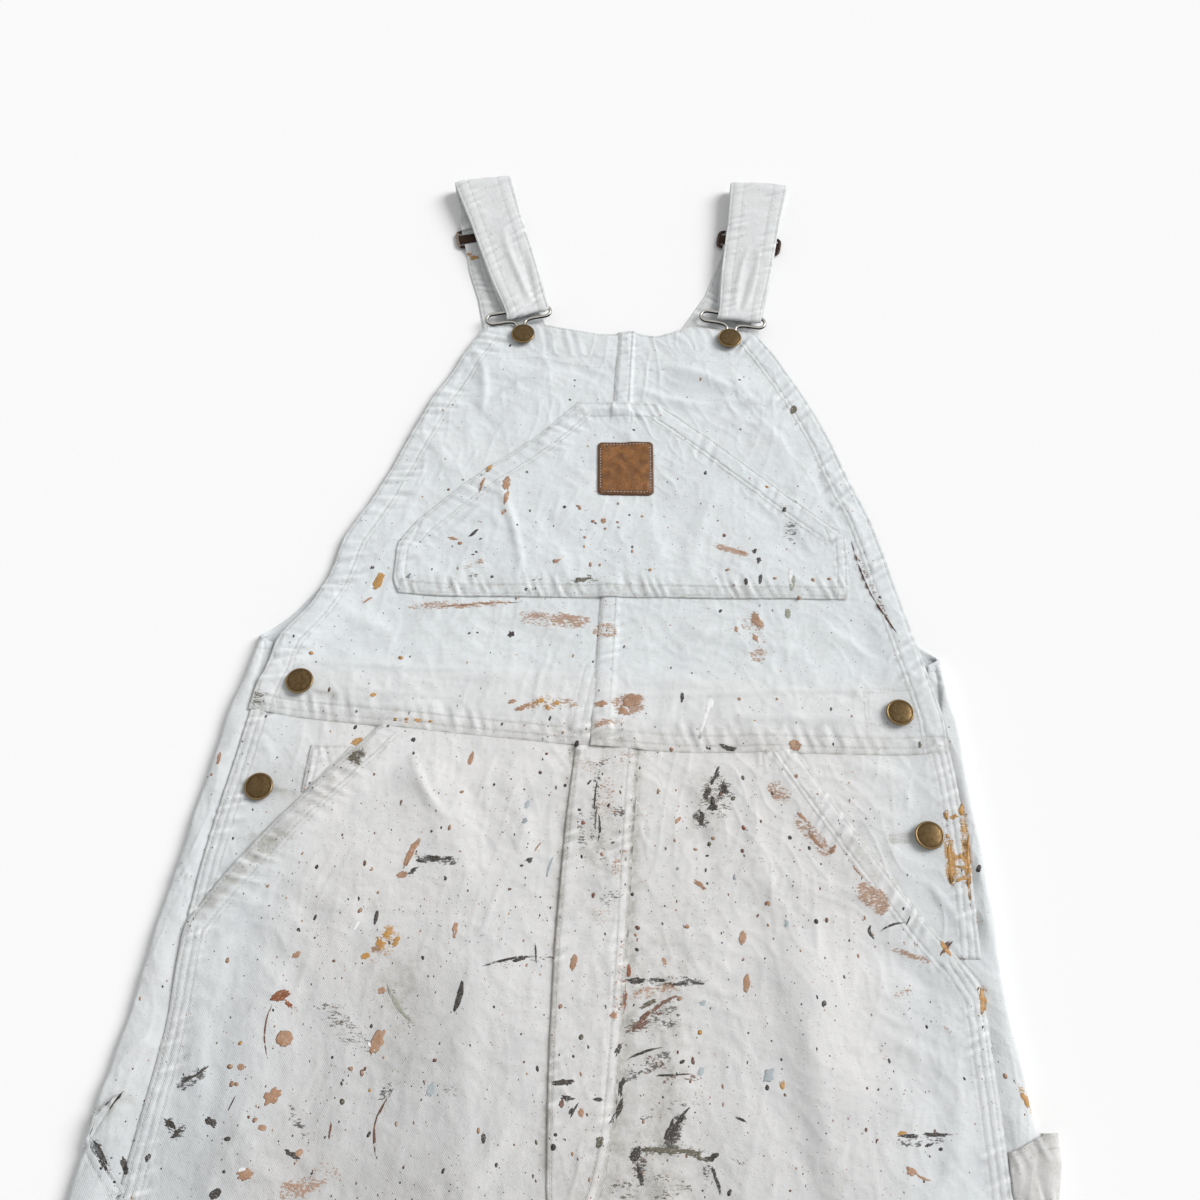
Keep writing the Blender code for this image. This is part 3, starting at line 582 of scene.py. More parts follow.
    def bib(self, u: Array, v: Array) -> Array:
        """Underside of the bib: on the fronts at the waist, then down on the high back.

        Args:
            u: places across.
            v: places up.

        Returns:
            z of the underside at each point.
        """
        near = self.waist(u)
        down = 1.0 - smooth((v - near - 6.0) / 20.0)
        height = self._open_bib(u, v)
        low = down > 0.0
        if low.any():
            pressed = np.minimum(height[low], self.support(u[low], v[low]) + 0.12)
            height[low] += (pressed - height[low]) * down[low]
        return height

    def _open_bib(self, u: Array, v: Array) -> Array:
        """Underside of the bib clear of its waist seam.

        Args:
            u: places across.
            v: places up.

        Returns:
            z of the underside at each point.
        """
        side = self.lap(u, v, self.bibs, 12.0, 30.0)
        band = (1.0 - smooth((v - 334.0) / 66.0)) * (1.0 - side) + (1.0 - smooth((v - 345.0) / 90.0)) * side
        folds = self.folds(u, v) * smooth((v - 605.0) / 20.0)
        return BIB_REST + (WAIST_LIFT + SIDE_LIFT * side) * band + folds + self.relief(u, v)


# ---------------------------------------------------------------- seams

@dataclass(frozen=True)
class Seam:
    """A sewn line: rows of stitches beside a path, the raised turnings under them, and their puckers.

    Offsets count from the path towards its left. The turnings between the two edges of the band are
    lifted; the cloth puckers across the band with crests that lean and vary in beat and height.
    """

    path: Path
    rows: tuple[float, ...]
    band: tuple[float, float] = (0.0, 0.0)
    lift: float = 0.0
    pucker: float = 0.0
    beat: float = 9.0
    reach: float = 7.0
    seed: int = 1
    pitch: float = 3.0

    def locate(self, u: Array, v: Array, within: float = 26.0) -> tuple[Array, Array, Array]:
        """Nearest place on the path.

        Args:
            u: places across.
            v: places up.
            within: how far from the path it matters.

        Returns:
            Length along the path, offset from it (left positive, 99 where it is far), and 1 beside it
            to 0 past its ends.
        """
        shape = np.shape(u)
        u, v = np.ravel(u), np.ravel(v)
        nearest = np.full(len(u), np.inf)
        s, offset = np.zeros(len(u)), np.full(len(u), 99.0)
        start = 0.0
        for (u0, v0), (u1, v1) in zip(self.path, self.path[1:]):
            run_u, run_v = u1 - u0, v1 - v0
            length = math.hypot(run_u, run_v)
            close = (u > min(u0, u1) - within) & (u < max(u0, u1) + within)
            close = np.flatnonzero(close & (v > min(v0, v1) - within) & (v < max(v0, v1) + within))
            du, dv = u[close] - u0, v[close] - v0
            share = (du * run_u + dv * run_v) / length ** 2
            held = np.clip(share, 0.0, 1.0)
            distance = np.hypot(du - held * run_u, dv - held * run_v)
            better = distance < nearest[close]
            at = close[better]
            nearest[at] = distance[better]
            s[at] = start + share[better] * length
            offset[at] = np.copysign(distance, run_u * dv - run_v * du)[better]
            start += length
        beside = smooth((s + 3.0) / 3.0) * smooth((start + 3.0 - s) / 3.0) * (offset < 99.0)
        return s.reshape(shape), offset.reshape(shape), beside.reshape(shape)

    def crests(self, s: Array, offset: Array) -> Array:
        """Pucker pattern from -1 to 1: three beats along the seam, leaning, swelling and fading.

        Args:
            s: lengths along the path.
            offset: distances from it, left positive.

        Returns:
            The pattern at each point.
        """
        draw = np.random.default_rng(self.seed)
        phase = draw.uniform(0.0, 2.0 * math.pi, 5)
        turn = 2.0 * math.pi * (s + 0.35 * offset) / self.beat
        wander = 1.3 * np.sin(0.171 * turn + phase[3])
        wave = np.sin(turn + wander + phase[0]) + 0.55 * np.sin(1.43 * turn + 0.12 * offset + phase[1])
        wave += 0.4 * np.sin(0.61 * turn - 0.2 * offset + phase[2])
        swell = 0.65 + 0.35 * np.sin(0.113 * turn + phase[4])
        wave = np.clip(wave * swell / 1.5, -1.0, 1.0)
        return np.sign(wave) * np.abs(wave) ** 1.25

    def across(self, offset: Array) -> Array:
        """How strongly the seam puckers at an offset: full over its rows, fading beyond the band.

        Args:
            offset: distances from the path, left positive.

        Returns:
            Strength from 0 to 1.
        """
        low, high = min(self.rows + (self.band[0],)), max(self.rows + (self.band[1],))
        outside = np.maximum(np.maximum(low - offset, offset - high), 0.0)
        return np.exp(-((outside / self.reach) ** 2))

    def relief(self, u: Array, v: Array) -> Array:
        """Height of the turnings and the puckers, less a dip along each row of stitches.

        Args:
            u: places across.
            v: places up.

        Returns:
            Height added at each point.
        """
        s, offset, beside = self.locate(u, v)
        low, high = self.band
        raised = smooth((offset - low) / 1.6 + 0.5) * smooth((high - offset) / 1.6 + 0.5)
        puckers = 2.0 * self.pucker * self.crests(s, offset) * self.across(offset)
        drawn = 0.45 * sum(np.exp(-(((offset - row) / 1.2) ** 2)) for row in self.rows)
        return (self.lift * raised + puckers - drawn) * beside

    def stitches(self) -> Array:
        """Ends of every stitch.

        Returns:
            Array of stitches by 4: u, v of one end, then u, v of the other.
        """
        points = np.array(self.path)
        run = np.diff(points, axis=0)
        length = np.concatenate([[0.0], np.cumsum(np.hypot(run[:, 0], run[:, 1]))])
        found = []
        for row in self.rows:
            s = np.arange(1.5, length[-1] - 1.5, self.pitch)
            ends = []
            for reach in (-0.36, 0.36):
                at = s + reach * self.pitch
                u = np.interp(at, length, points[:, 0])
                v = np.interp(at, length, points[:, 1])
                tangent_u, tangent_v = (
                    np.interp(at + 2.0, length, points[:, k]) - np.interp(at - 2.0, length, points[:, k])
                    for k in (0, 1))
                size = np.hypot(tangent_u, tangent_v)
                ends += [u - tangent_v / size * row, v + tangent_u / size * row]
            found.append(np.stack(ends, axis=1))
        return np.concatenate([np.zeros((0, 4)), *found])


# ---------------------------------------------------------------- meshes

def add_object(name: str, points: Array, quads: Array, triangles: Array, plan: Array | None = None,
               marks: dict[str, Array] | None = None) -> bpy.types.Object:
    """Make one smooth mesh object from arrays and turn it so that its faces point out.

    Args:
        name: the object's name.
        points: rows of u, v, z.
        quads: rows of four indices.
        triangles: rows of three indices.
        plan: where each point lies on the flat cloth, in millimetres, kept as the UV map "weave".
        marks: named values for each point, kept as attributes.

    Returns:
        The linked object.
    """
    split = np.concatenate([quads[:, [0, 1, 2]], quads[:, [0, 2, 3]], triangles])
    a, b, c = (points[split[:, k]] for k in range(3))
    if np.einsum("ij,ij->", a, np.cross(b, c)) < 0.0:
        quads, triangles = quads[:, ::-1], triangles[:, ::-1]
    corners = np.concatenate([quads.ravel(), triangles.ravel()]).astype(np.int32)
    sizes = np.concatenate([np.full(len(quads), 4), np.full(len(triangles), 3)])
    starts = np.concatenate([[0], np.cumsum(sizes)[:-1]]).astype(np.int32)
    mesh = bpy.data.meshes.new(name)
    mesh.vertices.add(len(points))
    mesh.vertices.foreach_set("co", to_metres(points).astype(np.float32).ravel())
    mesh.loops.add(len(corners))
    mesh.loops.foreach_set("vertex_index", corners)
    mesh.polygons.add(len(sizes))
    mesh.polygons.foreach_set("loop_start", starts)
    mesh.update(calc_edges=True)
    mesh.shade_smooth()
    if plan is not None:
        weave = mesh.uv_layers.new(name="weave")
        weave.data.foreach_set("uv", (plan[corners] * MM).astype(np.float32).ravel())
    for key, values in (marks or {}).items():
        wide = values.ndim == 2
        layer = mesh.attributes.new(key, "FLOAT_VECTOR" if wide else "FLOAT", "POINT")
        layer.data.foreach_set("vector" if wide else "value", values.astype(np.float32).ravel())
    thing = bpy.data.objects.new(name, mesh)
    bpy.context.scene.collection.objects.link(thing)
    return thing


def hand_over(thing: bpy.types.Object, finish: bpy.types.Material, node: str) -> None:
    """Give a piece its finish and say which solid it stands for.

    Args:
        thing: the piece.
        finish: its material.
        node: the solid that it replaces.
    """
    thing.data.materials.append(finish)
    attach(thing, "root")
    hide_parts(node)


def picked(count: int, skip: int) -> Array:
    """Every skip-th index of a row, and always its last."""
    return np.unique(np.append(np.arange(0, count - 1, skip), count - 1))


def rim(fine: Array, coarse: Array, at: Array) -> Array:
    """Triangles that join a close row of points to the coarser row under it.

    Args:
        fine: indices of the close row.
        coarse: indices of the coarse row.
        at: which place of the close row each coarse point lies under.

    Returns:
        Rows of three indices.
    """
    nearest = np.abs(at[None, :] - np.arange(len(fine))[:, None]).argmin(axis=1)
    along = np.stack([fine[1:], fine[:-1], coarse[nearest[:-1]]], axis=1)
    steps = np.flatnonzero(np.diff(nearest))
    between = np.stack([coarse[nearest[steps]], coarse[nearest[steps + 1]], fine[steps + 1]], axis=1)
    return np.concatenate([along, between])


def closed_shell(face: Array, lining: Array, skip: tuple[int, int]) -> tuple[Array, Array, Array, Array]:
    """Close a fine net and the same net on the other side of the cloth, thinned, into one body.

    Args:
        face: rows by columns by 3, the side that shows.
        lining: the same shape, the hidden side.
        skip: keep every so many rows and columns of the lining.

    Returns:
        Points, quads, triangles, and for each point the index of the net point it belongs to.
    """
    rows, columns = face.shape[:2]
    row_at, column_at = picked(rows, skip[0]), picked(columns, skip[1])
    net = np.arange(rows * columns).reshape(rows, columns)
    thin = np.arange(len(row_at) * len(column_at)).reshape(len(row_at), len(column_at)) + net.size
    kept = net[np.ix_(row_at, column_at)]
    points = np.concatenate([face.reshape(-1, 3), lining.reshape(-1, 3)[kept.ravel()]])
    front = np.stack([net[:-1, :-1], net[:-1, 1:], net[1:, 1:], net[1:, :-1]], axis=-1).reshape(-1, 4)
    back = np.stack([thin[:-1, :-1], thin[1:, :-1], thin[1:, 1:], thin[:-1, 1:]], axis=-1).reshape(-1, 4)
    triangles = np.concatenate([
        rim(net[0], thin[0], column_at),
        rim(net[:, -1], thin[:, -1], row_at),
        rim(net[-1, ::-1], thin[-1, ::-1], (columns - 1 - column_at)[::-1]),
        rim(net[::-1, 0], thin[::-1, 0], (rows - 1 - row_at)[::-1]),
    ])
    return points, np.concatenate([front, back]), triangles, np.concatenate([net.ravel(), kept.ravel()])


def cloth_body(name: str, node: str, faces: tuple[Array, Array], skip: tuple[int, int],
               plan: tuple[Array, Array], marks: dict[str, Array],
               finish: bpy.types.Material) -> bpy.types.Object:
    """Close the two faces of a piece of cloth into one body of drill.

    Args:
        name: the piece's name.
        node: the solid that it replaces.
        faces: the side that shows and the hidden side, each rows by columns by 3.
        skip: keep every so many rows and columns of the hidden side.
        plan: where each point lies on the flat cloth, across and up.
        marks: values that the finish reads at each point.
        finish: its material.

    Returns:
        The piece.
    """
    points, quads, triangles, origin = closed_shell(*faces, skip)
    flat = np.stack([part.ravel() for part in plan], axis=1)[origin]
    shown = {key: values[origin] for key, values in marks.items()}
    thing = add_object(name, points, quads, triangles, flat, shown)
    hand_over(thing, finish, node)
    return thing


def hem_steps(reach: float, step: float = 1.15) -> Array:
    """Distances in from a cut edge: close together over its rounded lip, then even."""
    return np.concatenate([[0.0, 0.35, 0.9, 1.8], np.arange(1.8 + step, reach, step)])


def spread(low: Array, high: Array, low_steps: Array, high_steps: Array, step: float = NET) -> Array:
    """Places between two edges for each row: the given distances in from both, then even steps.

    Args:
        low: where each row starts.
        high: where each row ends.
        low_steps: distances in from the start.
        high_steps: distances in from the end.
        step: the largest spacing in between.

    Returns:
        Rows by columns of places.
    """
    width = (high - low)[:, None]
    scale = np.minimum(1.0, width / (low_steps[-1] + high_steps[-1] + 8.0))
    near = low[:, None] + low_steps * scale
    far = high[:, None] - high_steps[::-1] * scale
    count = max(2, math.ceil((width.max() - low_steps[-1] - high_steps[-1]) / step))
    share = np.arange(1, count) / count
    return np.hstack([near, near[:, -1:] + (far[:, :1] - near[:, -1:]) * share, far])


def leg_rows() -> Array:
    """Rows of a leg from its hem up to where the detail begins: close over the hem, then even."""
    return np.concatenate([HEM_V + hem_steps(16.0, 2.4), np.arange(HEM_V + 19.0, DETAIL_V, LEG_NET)])


def lip(distance: Array) -> Array:
    """Share of the thickness near a cut edge: 0.25 at the edge, rising to 1 as it rounds over."""
    return 1.0 - 0.75 * np.exp(-np.maximum(distance, 0.0) / 1.0)


# ---------------------------------------------------------------- finishes

def linear(colour: tuple[int, int, int]) -> tuple[float, float, float, float]:
    """Display colour from 0 to 255 as the linear colour that a shader takes.

    Args:
        colour: red, green and blue.

    Returns:
        Red, green and blue from 0 to 1, and 1.
    """
    share = np.array(colour) / 255.0
    value = np.where(share <= 0.04045, share / 12.92, ((share + 0.055) / 1.055) ** 2.4)
    return (*value.tolist(), 1.0)


class Graph:
    """Node tree of one material, with short calls for the nodes that the finishes share."""

    def __init__(self, name: str) -> None:
        """Start a material of this name.

        Args:
            name: of the material.
        """
        self.material = bpy.data.materials.new(name)
        self.material.use_nodes = True
        self.tree = self.material.node_tree
        self.shader = self.tree.nodes["Principled BSDF"]

    def node(self, kind: str, inputs: dict[str | int, Feed] | None = None,
             **settings: str | int | float) -> bpy.types.Node:
        """Add a node, set its properties, and feed its inputs by name or number.

        Args:
            kind: type of the node.
            inputs: what feeds it, by the input's name or number.
            **settings: its own properties.

        Returns:
            The node.
        """
        made = self.tree.nodes.new(kind)
        for key, value in settings.items():
            setattr(made, key, value)
        for key, value in (inputs or {}).items():
            self.feed(made.inputs[key], value)
        return made

    def feed(self, socket: bpy.types.NodeSocket, value: Feed) -> None:
        """Link a socket to another, or set its own value.

        Args:
            socket: the input.
            value: another node's output, or a value.
        """
        if isinstance(value, bpy.types.NodeSocket):
            self.tree.links.new(value, socket)
        else:
            socket.default_value = value

    def math(self, operation: str, a: Feed, b: Feed = 0.0, c: Feed = 0.0) -> bpy.types.NodeSocket:
        """One arithmetic step."""
        made = self.node("ShaderNodeMath", {0: a, 1: b, 2: c}, operation=operation)
        return made.outputs[0]

    def ease(self, value: Feed, low: float, high: float, to_low: float = 0.0,
             to_high: float = 1.0) -> bpy.types.NodeSocket:
        """Ease from to_low at low to to_high at high.

        Args:
            value: what is eased.
            low: where the easing starts.
            high: where it ends.
            to_low: result up to low.
            to_high: result from high on.

        Returns:
            The result's socket.
        """
        made = self.node("ShaderNodeMapRange", interpolation_type="SMOOTHSTEP")
        for key, number in zip(("Value", "From Min", "From Max", "To Min", "To Max"),
                               (value, low, high, to_low, to_high)):
            self.feed(made.inputs[key], number)
        return made.outputs[0]

    def mix(self, amount: Feed, a: Feed, b: Feed) -> bpy.types.NodeSocket:
        """Blend two colours.

        Args:
            amount: 0 for the first colour, 1 for the second.
            a: first colour.
            b: second colour.

        Returns:
            The result's socket.
        """
        made = self.node("ShaderNodeMix", data_type="RGBA")
        self.feed(made.inputs[0], amount)
        self.feed(made.inputs[6], a)
        self.feed(made.inputs[7], b)
        return made.outputs[2]

    def noise(self, place: Feed, size: float, detail: float = 2.0,
              rough: float = 0.5) -> bpy.types.NodeSocket:
        """Cloudy value from 0 to 1 whose features are about size millimetres across.

        Args:
            place: where it is read.
            size: of its features, in millimetres.
            detail: how many finer layers it adds.
            rough: how strong they are.

        Returns:
            The result's socket.
        """
        made = self.node("ShaderNodeTexNoise",
                         {"Vector": place, "Scale": 1.0 / (size * MM), "Detail": detail, "Roughness": rough})
        return made.outputs[0]

    def noises(self, place: Feed, size: float, detail: float,
               rough: float) -> list[bpy.types.NodeSocket]:
        """Three cloudy values that know nothing of each other.

        Args:
            place: where they are read.
            size: of their features, in millimetres.
            detail: how many finer layers they add.
            rough: how strong these are.

        Returns:
            The three sockets.
        """
        made = self.node("ShaderNodeTexNoise",
                         {"Vector": place, "Scale": 1.0 / (size * MM), "Detail": detail, "Roughness": rough})
        return list(self.node("ShaderNodeSeparateColor", {0: made.outputs[1]}).outputs)

    def cells(self, place: Feed, size: float) -> tuple[bpy.types.NodeSocket, list[bpy.types.NodeSocket]]:
        """Scattered points one to a cell: distance to the nearest, in cells, and three numbers of its own.

        Args:
            place: where they are read.
            size: of a cell, in millimetres.

        Returns:
            Socket of the distance, and those of the three numbers.
        """
        made = self.node("ShaderNodeTexVoronoi", {"Vector": place, "Scale": 1.0 / (size * MM)},
                         voronoi_dimensions="2D")
        split = self.node("ShaderNodeSeparateColor", {0: made.outputs["Color"]})
        return made.outputs["Distance"], list(split.outputs)

    def split(self, vector: Feed) -> list[bpy.types.NodeSocket]:
        """The three parts of a vector."""
        return list(self.node("ShaderNodeSeparateXYZ", {0: vector}).outputs)

    def attribute(self, name: str) -> bpy.types.Node:
        """Values kept on the mesh under a name."""
        return self.node("ShaderNodeAttribute", attribute_name=name)

    def bump(self, height: Feed, strength: float = 1.0) -> None:
        """Relief from a height in millimetres."""
        made = self.node("ShaderNodeBump", {"Height": height, "Distance": MM, "Strength": strength})
        self.feed(self.shader.inputs["Normal"], made.outputs[0])

    def finish(self, colour: Feed, roughness: Feed, metallic: Feed = 0.0,
               **sockets: Feed) -> bpy.types.Material:
        """Feed the shader and return the material; further sockets are named with underscores.

        Args:
            colour: base colour.
            roughness: from 0 to 1.
            metallic: from 0 to 1.
            **sockets: the shader's other inputs.

        Returns:
            The material.
        """
        self.feed(self.shader.inputs["Base Color"], colour)
        self.feed(self.shader.inputs["Roughness"], roughness)
        self.feed(self.shader.inputs["Metallic"], metallic)
        for key, value in sockets.items():
            self.feed(self.shader.inputs[key.replace("_", " ")], value)
        return self.material


@dataclass(frozen=True)
class Drill:
    """Bleached cotton drill: twill, mottling, grime, dry-brushed paint, the finest specks, and painted shade
    over the thighs, along cut edges, stitch rows and pucker troughs, with painted highlight on pucker crests.
    """

    cool: tuple[int, int, int] = (225, 230, 232)
    warm: tuple[int, int, int] = (229, 228, 227)
    # worn is painted highlight on the pucker crests; shade, besides grey mottling, is painted shade in their
    # troughs; grime also colours painted shade along cut edges, stitch rows and pucker troughs.
    worn: tuple[int, int, int] = (240, 241, 241)
    grime: tuple[int, int, int] = (150, 146, 134)
    shade: tuple[int, int, int] = (200, 202, 205)
    dark_speck: tuple[int, int, int] = (52, 45, 42)
    tan_speck: tuple[int, int, int] = (160, 122, 100)
    twill: float = 1.1

    def material(self) -> bpy.types.Material:
        """Build the node tree.

        Returns:
            The material.
        """
        g = Graph("white_drill")
        plan = g.node("ShaderNodeUVMap", uv_map="weave").outputs[0]
        seam = g.split(g.attribute("seam").outputs["Vector"])
        grime = g.attribute("grime").outputs["Fac"]
        specks_and_shade = g.split(g.attribute("specks_and_shade").outputs["Vector"])
        clouds = g.noise(plan, 120.0, 3.0)
        mottle = g.noise(plan, 26.0, 4.0, 0.6)
        grain = g.noise(plan, 4.0, 4.0, 0.65)
        weave = g.noise(plan, 0.9, 2.0, 0.7)
        tone = g.math("ADD", seam[0], g.math("MULTIPLY_ADD", clouds, 0.9, -0.45))
        colour = g.mix(tone, linear(self.warm), linear(self.cool))
        colour = g.mix(g.ease(mottle, 0.45, 0.75, 0.0, 0.3), colour, linear(self.shade))
        colour = g.mix(g.ease(grain, 0.5, 0.78, 0.0, 0.3), colour, linear(self.shade))
        colour = g.mix(g.ease(weave, 0.45, 0.7, 0.0, 0.25), colour, linear(self.shade))
        # Painted shade in grey over the thighs, the left hip, the lower left and below the waist.
        colour = g.mix(specks_and_shade[1], colour, linear((96, 98, 102)))
        patchy = g.math("MULTIPLY_ADD", g.noise(plan, 9.0, 5.0, 0.75), 2.1, -0.55)
        dirty = g.math("MULTIPLY", grime, patchy)
        dirty = g.ease(dirty, 0.02, 0.8, 0.0, 0.9)
        colour = g.mix(dirty, colour, linear(self.grime))
        # Darker in the pucker troughs, more where the cloth is dirty: dirt and painted shade.
        hollow_dirt_and_shade = g.math("MULTIPLY", g.ease(seam[2], 0.3, -0.7), g.ease(grime, 0.1, 0.9, 0.05, 0.75))
        colour = g.mix(hollow_dirt_and_shade, colour, linear(self.grime))
        # Painted shade along the cut edges, stronger where the cloth is dirty.
        edge_shade = g.math("MULTIPLY", specks_and_shade[2], g.ease(g.noise(plan, 7.0, 3.0, 0.7), 0.35, 0.65, 0.2, 0.65))
        edge_shade = g.math("MULTIPLY", edge_shade, g.ease(grime, 0.04, 0.3, 0.4, 1.0))
        colour = g.mix(edge_shade, colour, linear(self.grime))
        # Dirt and painted shade along each row of stitches.
        line = g.ease(seam[1], 1.2, 0.25)
        row_dirt_and_shade = g.math("MULTIPLY", line, g.ease(grain, 0.38, 0.66, 0.02, 0.34))
        row_dirt_and_shade = g.math("MULTIPLY", row_dirt_and_shade, g.ease(grime, 0.04, 0.3, 0.55, 1.0))
        colour = g.mix(row_dirt_and_shade, colour, linear(self.grime))
        # Painted highlight on the pucker crests and painted shade in their troughs.
        colour = g.mix(g.ease(seam[2], 0.05, 0.9, 0.0, 0.5), colour, linear(self.worn))
        colour = g.mix(g.ease(seam[2], -0.05, -0.9, 0.0, 0.5), colour, linear(self.shade))
        covers = [part for name in ("brush", "wash") for part in g.split(g.attribute(name).outputs["Vector"])]
        stretched = g.node("ShaderNodeVectorMath", {0: plan, 1: (0.52, 1.1, 1.0)},
                           operation="MULTIPLY").outputs[0]
        fine = g.noises(stretched, 1.4, 3.0, 0.75)
        coarse = g.noises(stretched, 5.5, 3.0, 0.65)
        for place, (paint, cover) in enumerate(zip(BRUSHED, covers)):
            level = g.math("MULTIPLY_ADD", g.math("POWER", cover, 0.5), 0.44, 0.2)
            rest = g.math("MULTIPLY", coarse[(place + place // 3) % 3], 0.4)
            grit = g.math("MULTIPLY_ADD", fine[place % 3], 0.6, rest)
            shown = g.ease(g.math("SUBTRACT", level, grit), -0.02, 0.035, 0.0, 0.84)
            colour = g.mix(shown, colour, linear(paint.value))
        mist = g.math("MULTIPLY", specks_and_shade[0], g.ease(g.noise(plan, 46.0, 3.0, 0.6), 0.4, 0.62, 0.4, 1.6))
        for size, radius, share in ((9.0, 0.055, 0.7), (4.6, 0.065, 0.5), (2.9, 0.085, 0.22),
                                    (21.0, 0.03, 0.8)):
            distance, own = g.cells(plan, size)
            edge = g.math("MULTIPLY", g.math("MULTIPLY_ADD", own[1], own[1], 0.18), radius)
            wobble = g.math("MULTIPLY_ADD", g.noise(plan, 1.2), 0.02, -0.01)
            inside = g.math("LESS_THAN", g.math("ADD", distance, wobble), edge)
            there = g.math("LESS_THAN", own[0], g.math("MULTIPLY", mist, share))
            tint = g.mix(g.ease(own[2], 0.45, 0.62), linear(self.dark_speck), linear(self.tan_speck))
            colour = g.mix(g.math("MULTIPLY", g.math("MULTIPLY", inside, there), 0.85), colour, tint)
        along = g.split(plan)
        turn = 2.0 * math.pi / (self.twill * MM)
        diagonal = g.math("ADD", g.math("MULTIPLY", along[0], turn * 0.8),
                          g.math("MULTIPLY", along[1], turn * 0.6))
        height = g.math("MULTIPLY", g.math("SINE", diagonal), 0.035)
        height = g.math("MULTIPLY_ADD", grain, 0.5, height)
        height = g.math("MULTIPLY_ADD", g.noise(plan, 12.0, 3.0, 0.6), 1.0, height)
        height = g.math("MULTIPLY_ADD", weave, 0.10, height)
        height = g.math("MULTIPLY_ADD", line, -0.18, height)
        g.bump(height, 0.9)
        return g.finish(colour, 0.93, Specular_IOR_Level=0.18, Sheen_Weight=0.08, Sheen_Roughness=0.6)


@dataclass(frozen=True)
class Thread:
    """Cotton thread, a little greyer than the cloth."""

    colour: tuple[int, int, int] = (226, 227, 226)
    dirty: tuple[int, int, int] = (190, 186, 176)

    def material(self) -> bpy.types.Material:
        """Build the node tree.

        Returns:
            The material.
        """
        g = Graph("cotton_thread")
        place = g.node("ShaderNodeTexCoord").outputs["Object"]
        dirt = g.ease(g.noise(place, 18.0, 4.0, 0.7), 0.45, 0.7, 0.0, 0.75)
        twist = g.math("MULTIPLY", g.noise(place, 0.4), 0.12)
        g.bump(twist, 0.6)
        return g.finish(g.mix(dirt, linear(self.colour), linear(self.dirty)), 0.85, Specular_IOR_Level=0.2)


class Paint(Enum):
    """House paints and drips, by display colour."""

    TAN = (167, 129, 101)
    CHARCOAL = (56, 51, 46)
    OLIVE = (98, 93, 78)
    OCHRE = (184, 137, 72)
    RUST = (136, 80, 48)
    SLATE = (170, 179, 183)
    MOSS = (152, 155, 140)
    BROWN = (112, 78, 62)
    WHITE = (240, 241, 240)

    def material(self) -> bpy.types.Material:
        """Dried film: its colour thins and darkens in patches, with a faint skin of wrinkles.

        Returns:
            The material.
        """
        g = Graph("paint_" + self.name.lower())
        place = g.node("ShaderNodeTexCoord").outputs["Object"]
        base = np.array(self.value)
        thin = tuple(int(part) for part in base * 0.84 + 0.16 * 222)
        deep = tuple(int(part) for part in base * 0.8)
        colour = g.mix(g.ease(g.noise(place, 3.0, 3.0, 0.6), 0.42, 0.68), linear(self.value), linear(thin))
        colour = g.mix(g.ease(g.noise(place, 6.0, 3.0), 0.5, 0.75, 0.0, 0.7), colour, linear(deep))
        colour = g.mix(g.ease(g.noise(place, 1.1, 3.0, 0.7), 0.54, 0.7, 0.0, 0.45), colour,
                       linear((218, 219, 220)))
        g.bump(g.math("MULTIPLY", g.noise(place, 1.3, 3.0), 0.25), 0.6)
        return g.finish(colour, 0.55, Specular_IOR_Level=0.35)


@dataclass(frozen=True)
class Leather:
    """Scuffed brown leather, darker at its rim."""

    deep: tuple[int, int, int] = (96, 60, 28)
    pale: tuple[int, int, int] = (152, 102, 52)
    rim: tuple[int, int, int] = (74, 46, 26)

    def material(self) -> bpy.types.Material:
        """Build the node tree.

        Returns:
            The material.
        """
        g = Graph("brown_leather")
        place = g.node("ShaderNodeTexCoord").outputs["Object"]
        edge = g.attribute("edge").outputs["Fac"]
        scuff = g.ease(g.noise(place, 8.0, 6.0, 0.75), 0.3, 0.68)
        fine = g.noise(place, 1.6, 4.0, 0.65)
        colour = g.mix(scuff, linear(self.deep), linear(self.pale))
        colour = g.mix(g.ease(fine, 0.35, 0.7, 0.0, 0.5), colour, linear(self.deep))
        colour = g.mix(g.ease(edge, 5.5, 0.5, 0.0, 0.8), colour, linear(self.rim))
        pores = g.cells(place, 0.9)[0]
        height = g.math("MULTIPLY_ADD", pores, 0.12, g.math("MULTIPLY", fine, 0.35))
        g.bump(height, 0.8)
        return g.finish(colour, g.ease(fine, 0.3, 0.7, 0.42, 0.62), Specular_IOR_Level=0.4)


@dataclass(frozen=True)
class Metal:
    """Plated metal that has tarnished in the hollows and rubbed bright on the rims, with highlight and shade
    painted on through the same brightening: along the hook wire and round the buttons' rims.
    """

    name: str
    bright: tuple[int, int, int]
    dull: tuple[int, int, int]
    wear_and_highlight: float

    def material(self) -> bpy.types.Material:
        """Build the node tree; an attribute on the mesh says where it is worn bright and where highlight and
        shade are painted on.

        Returns:
            The material.
        """
        g = Graph(self.name)
        place = g.node("ShaderNodeTexCoord").outputs["Object"]
        # Wear, and painted highlight and shade, from the mesh.
        worn = g.attribute("wear_and_highlight").outputs["Fac"]
        blotch = g.noise(place, 2.6, 4.0, 0.7)
        shine = g.math("ADD", g.math("MULTIPLY", worn, 0.8),
                       g.math("MULTIPLY_ADD", blotch, 0.7, self.wear_and_highlight - 0.35))
        colour = g.mix(g.ease(shine, 0.25, 0.85), linear(self.dull), linear(self.bright))
        g.bump(g.math("MULTIPLY", g.noise(place, 0.7, 3.0), 0.06), 0.5)
        return g.finish(colour, g.ease(shine, 0.1, 0.9, 0.48, 0.26), 0.9)


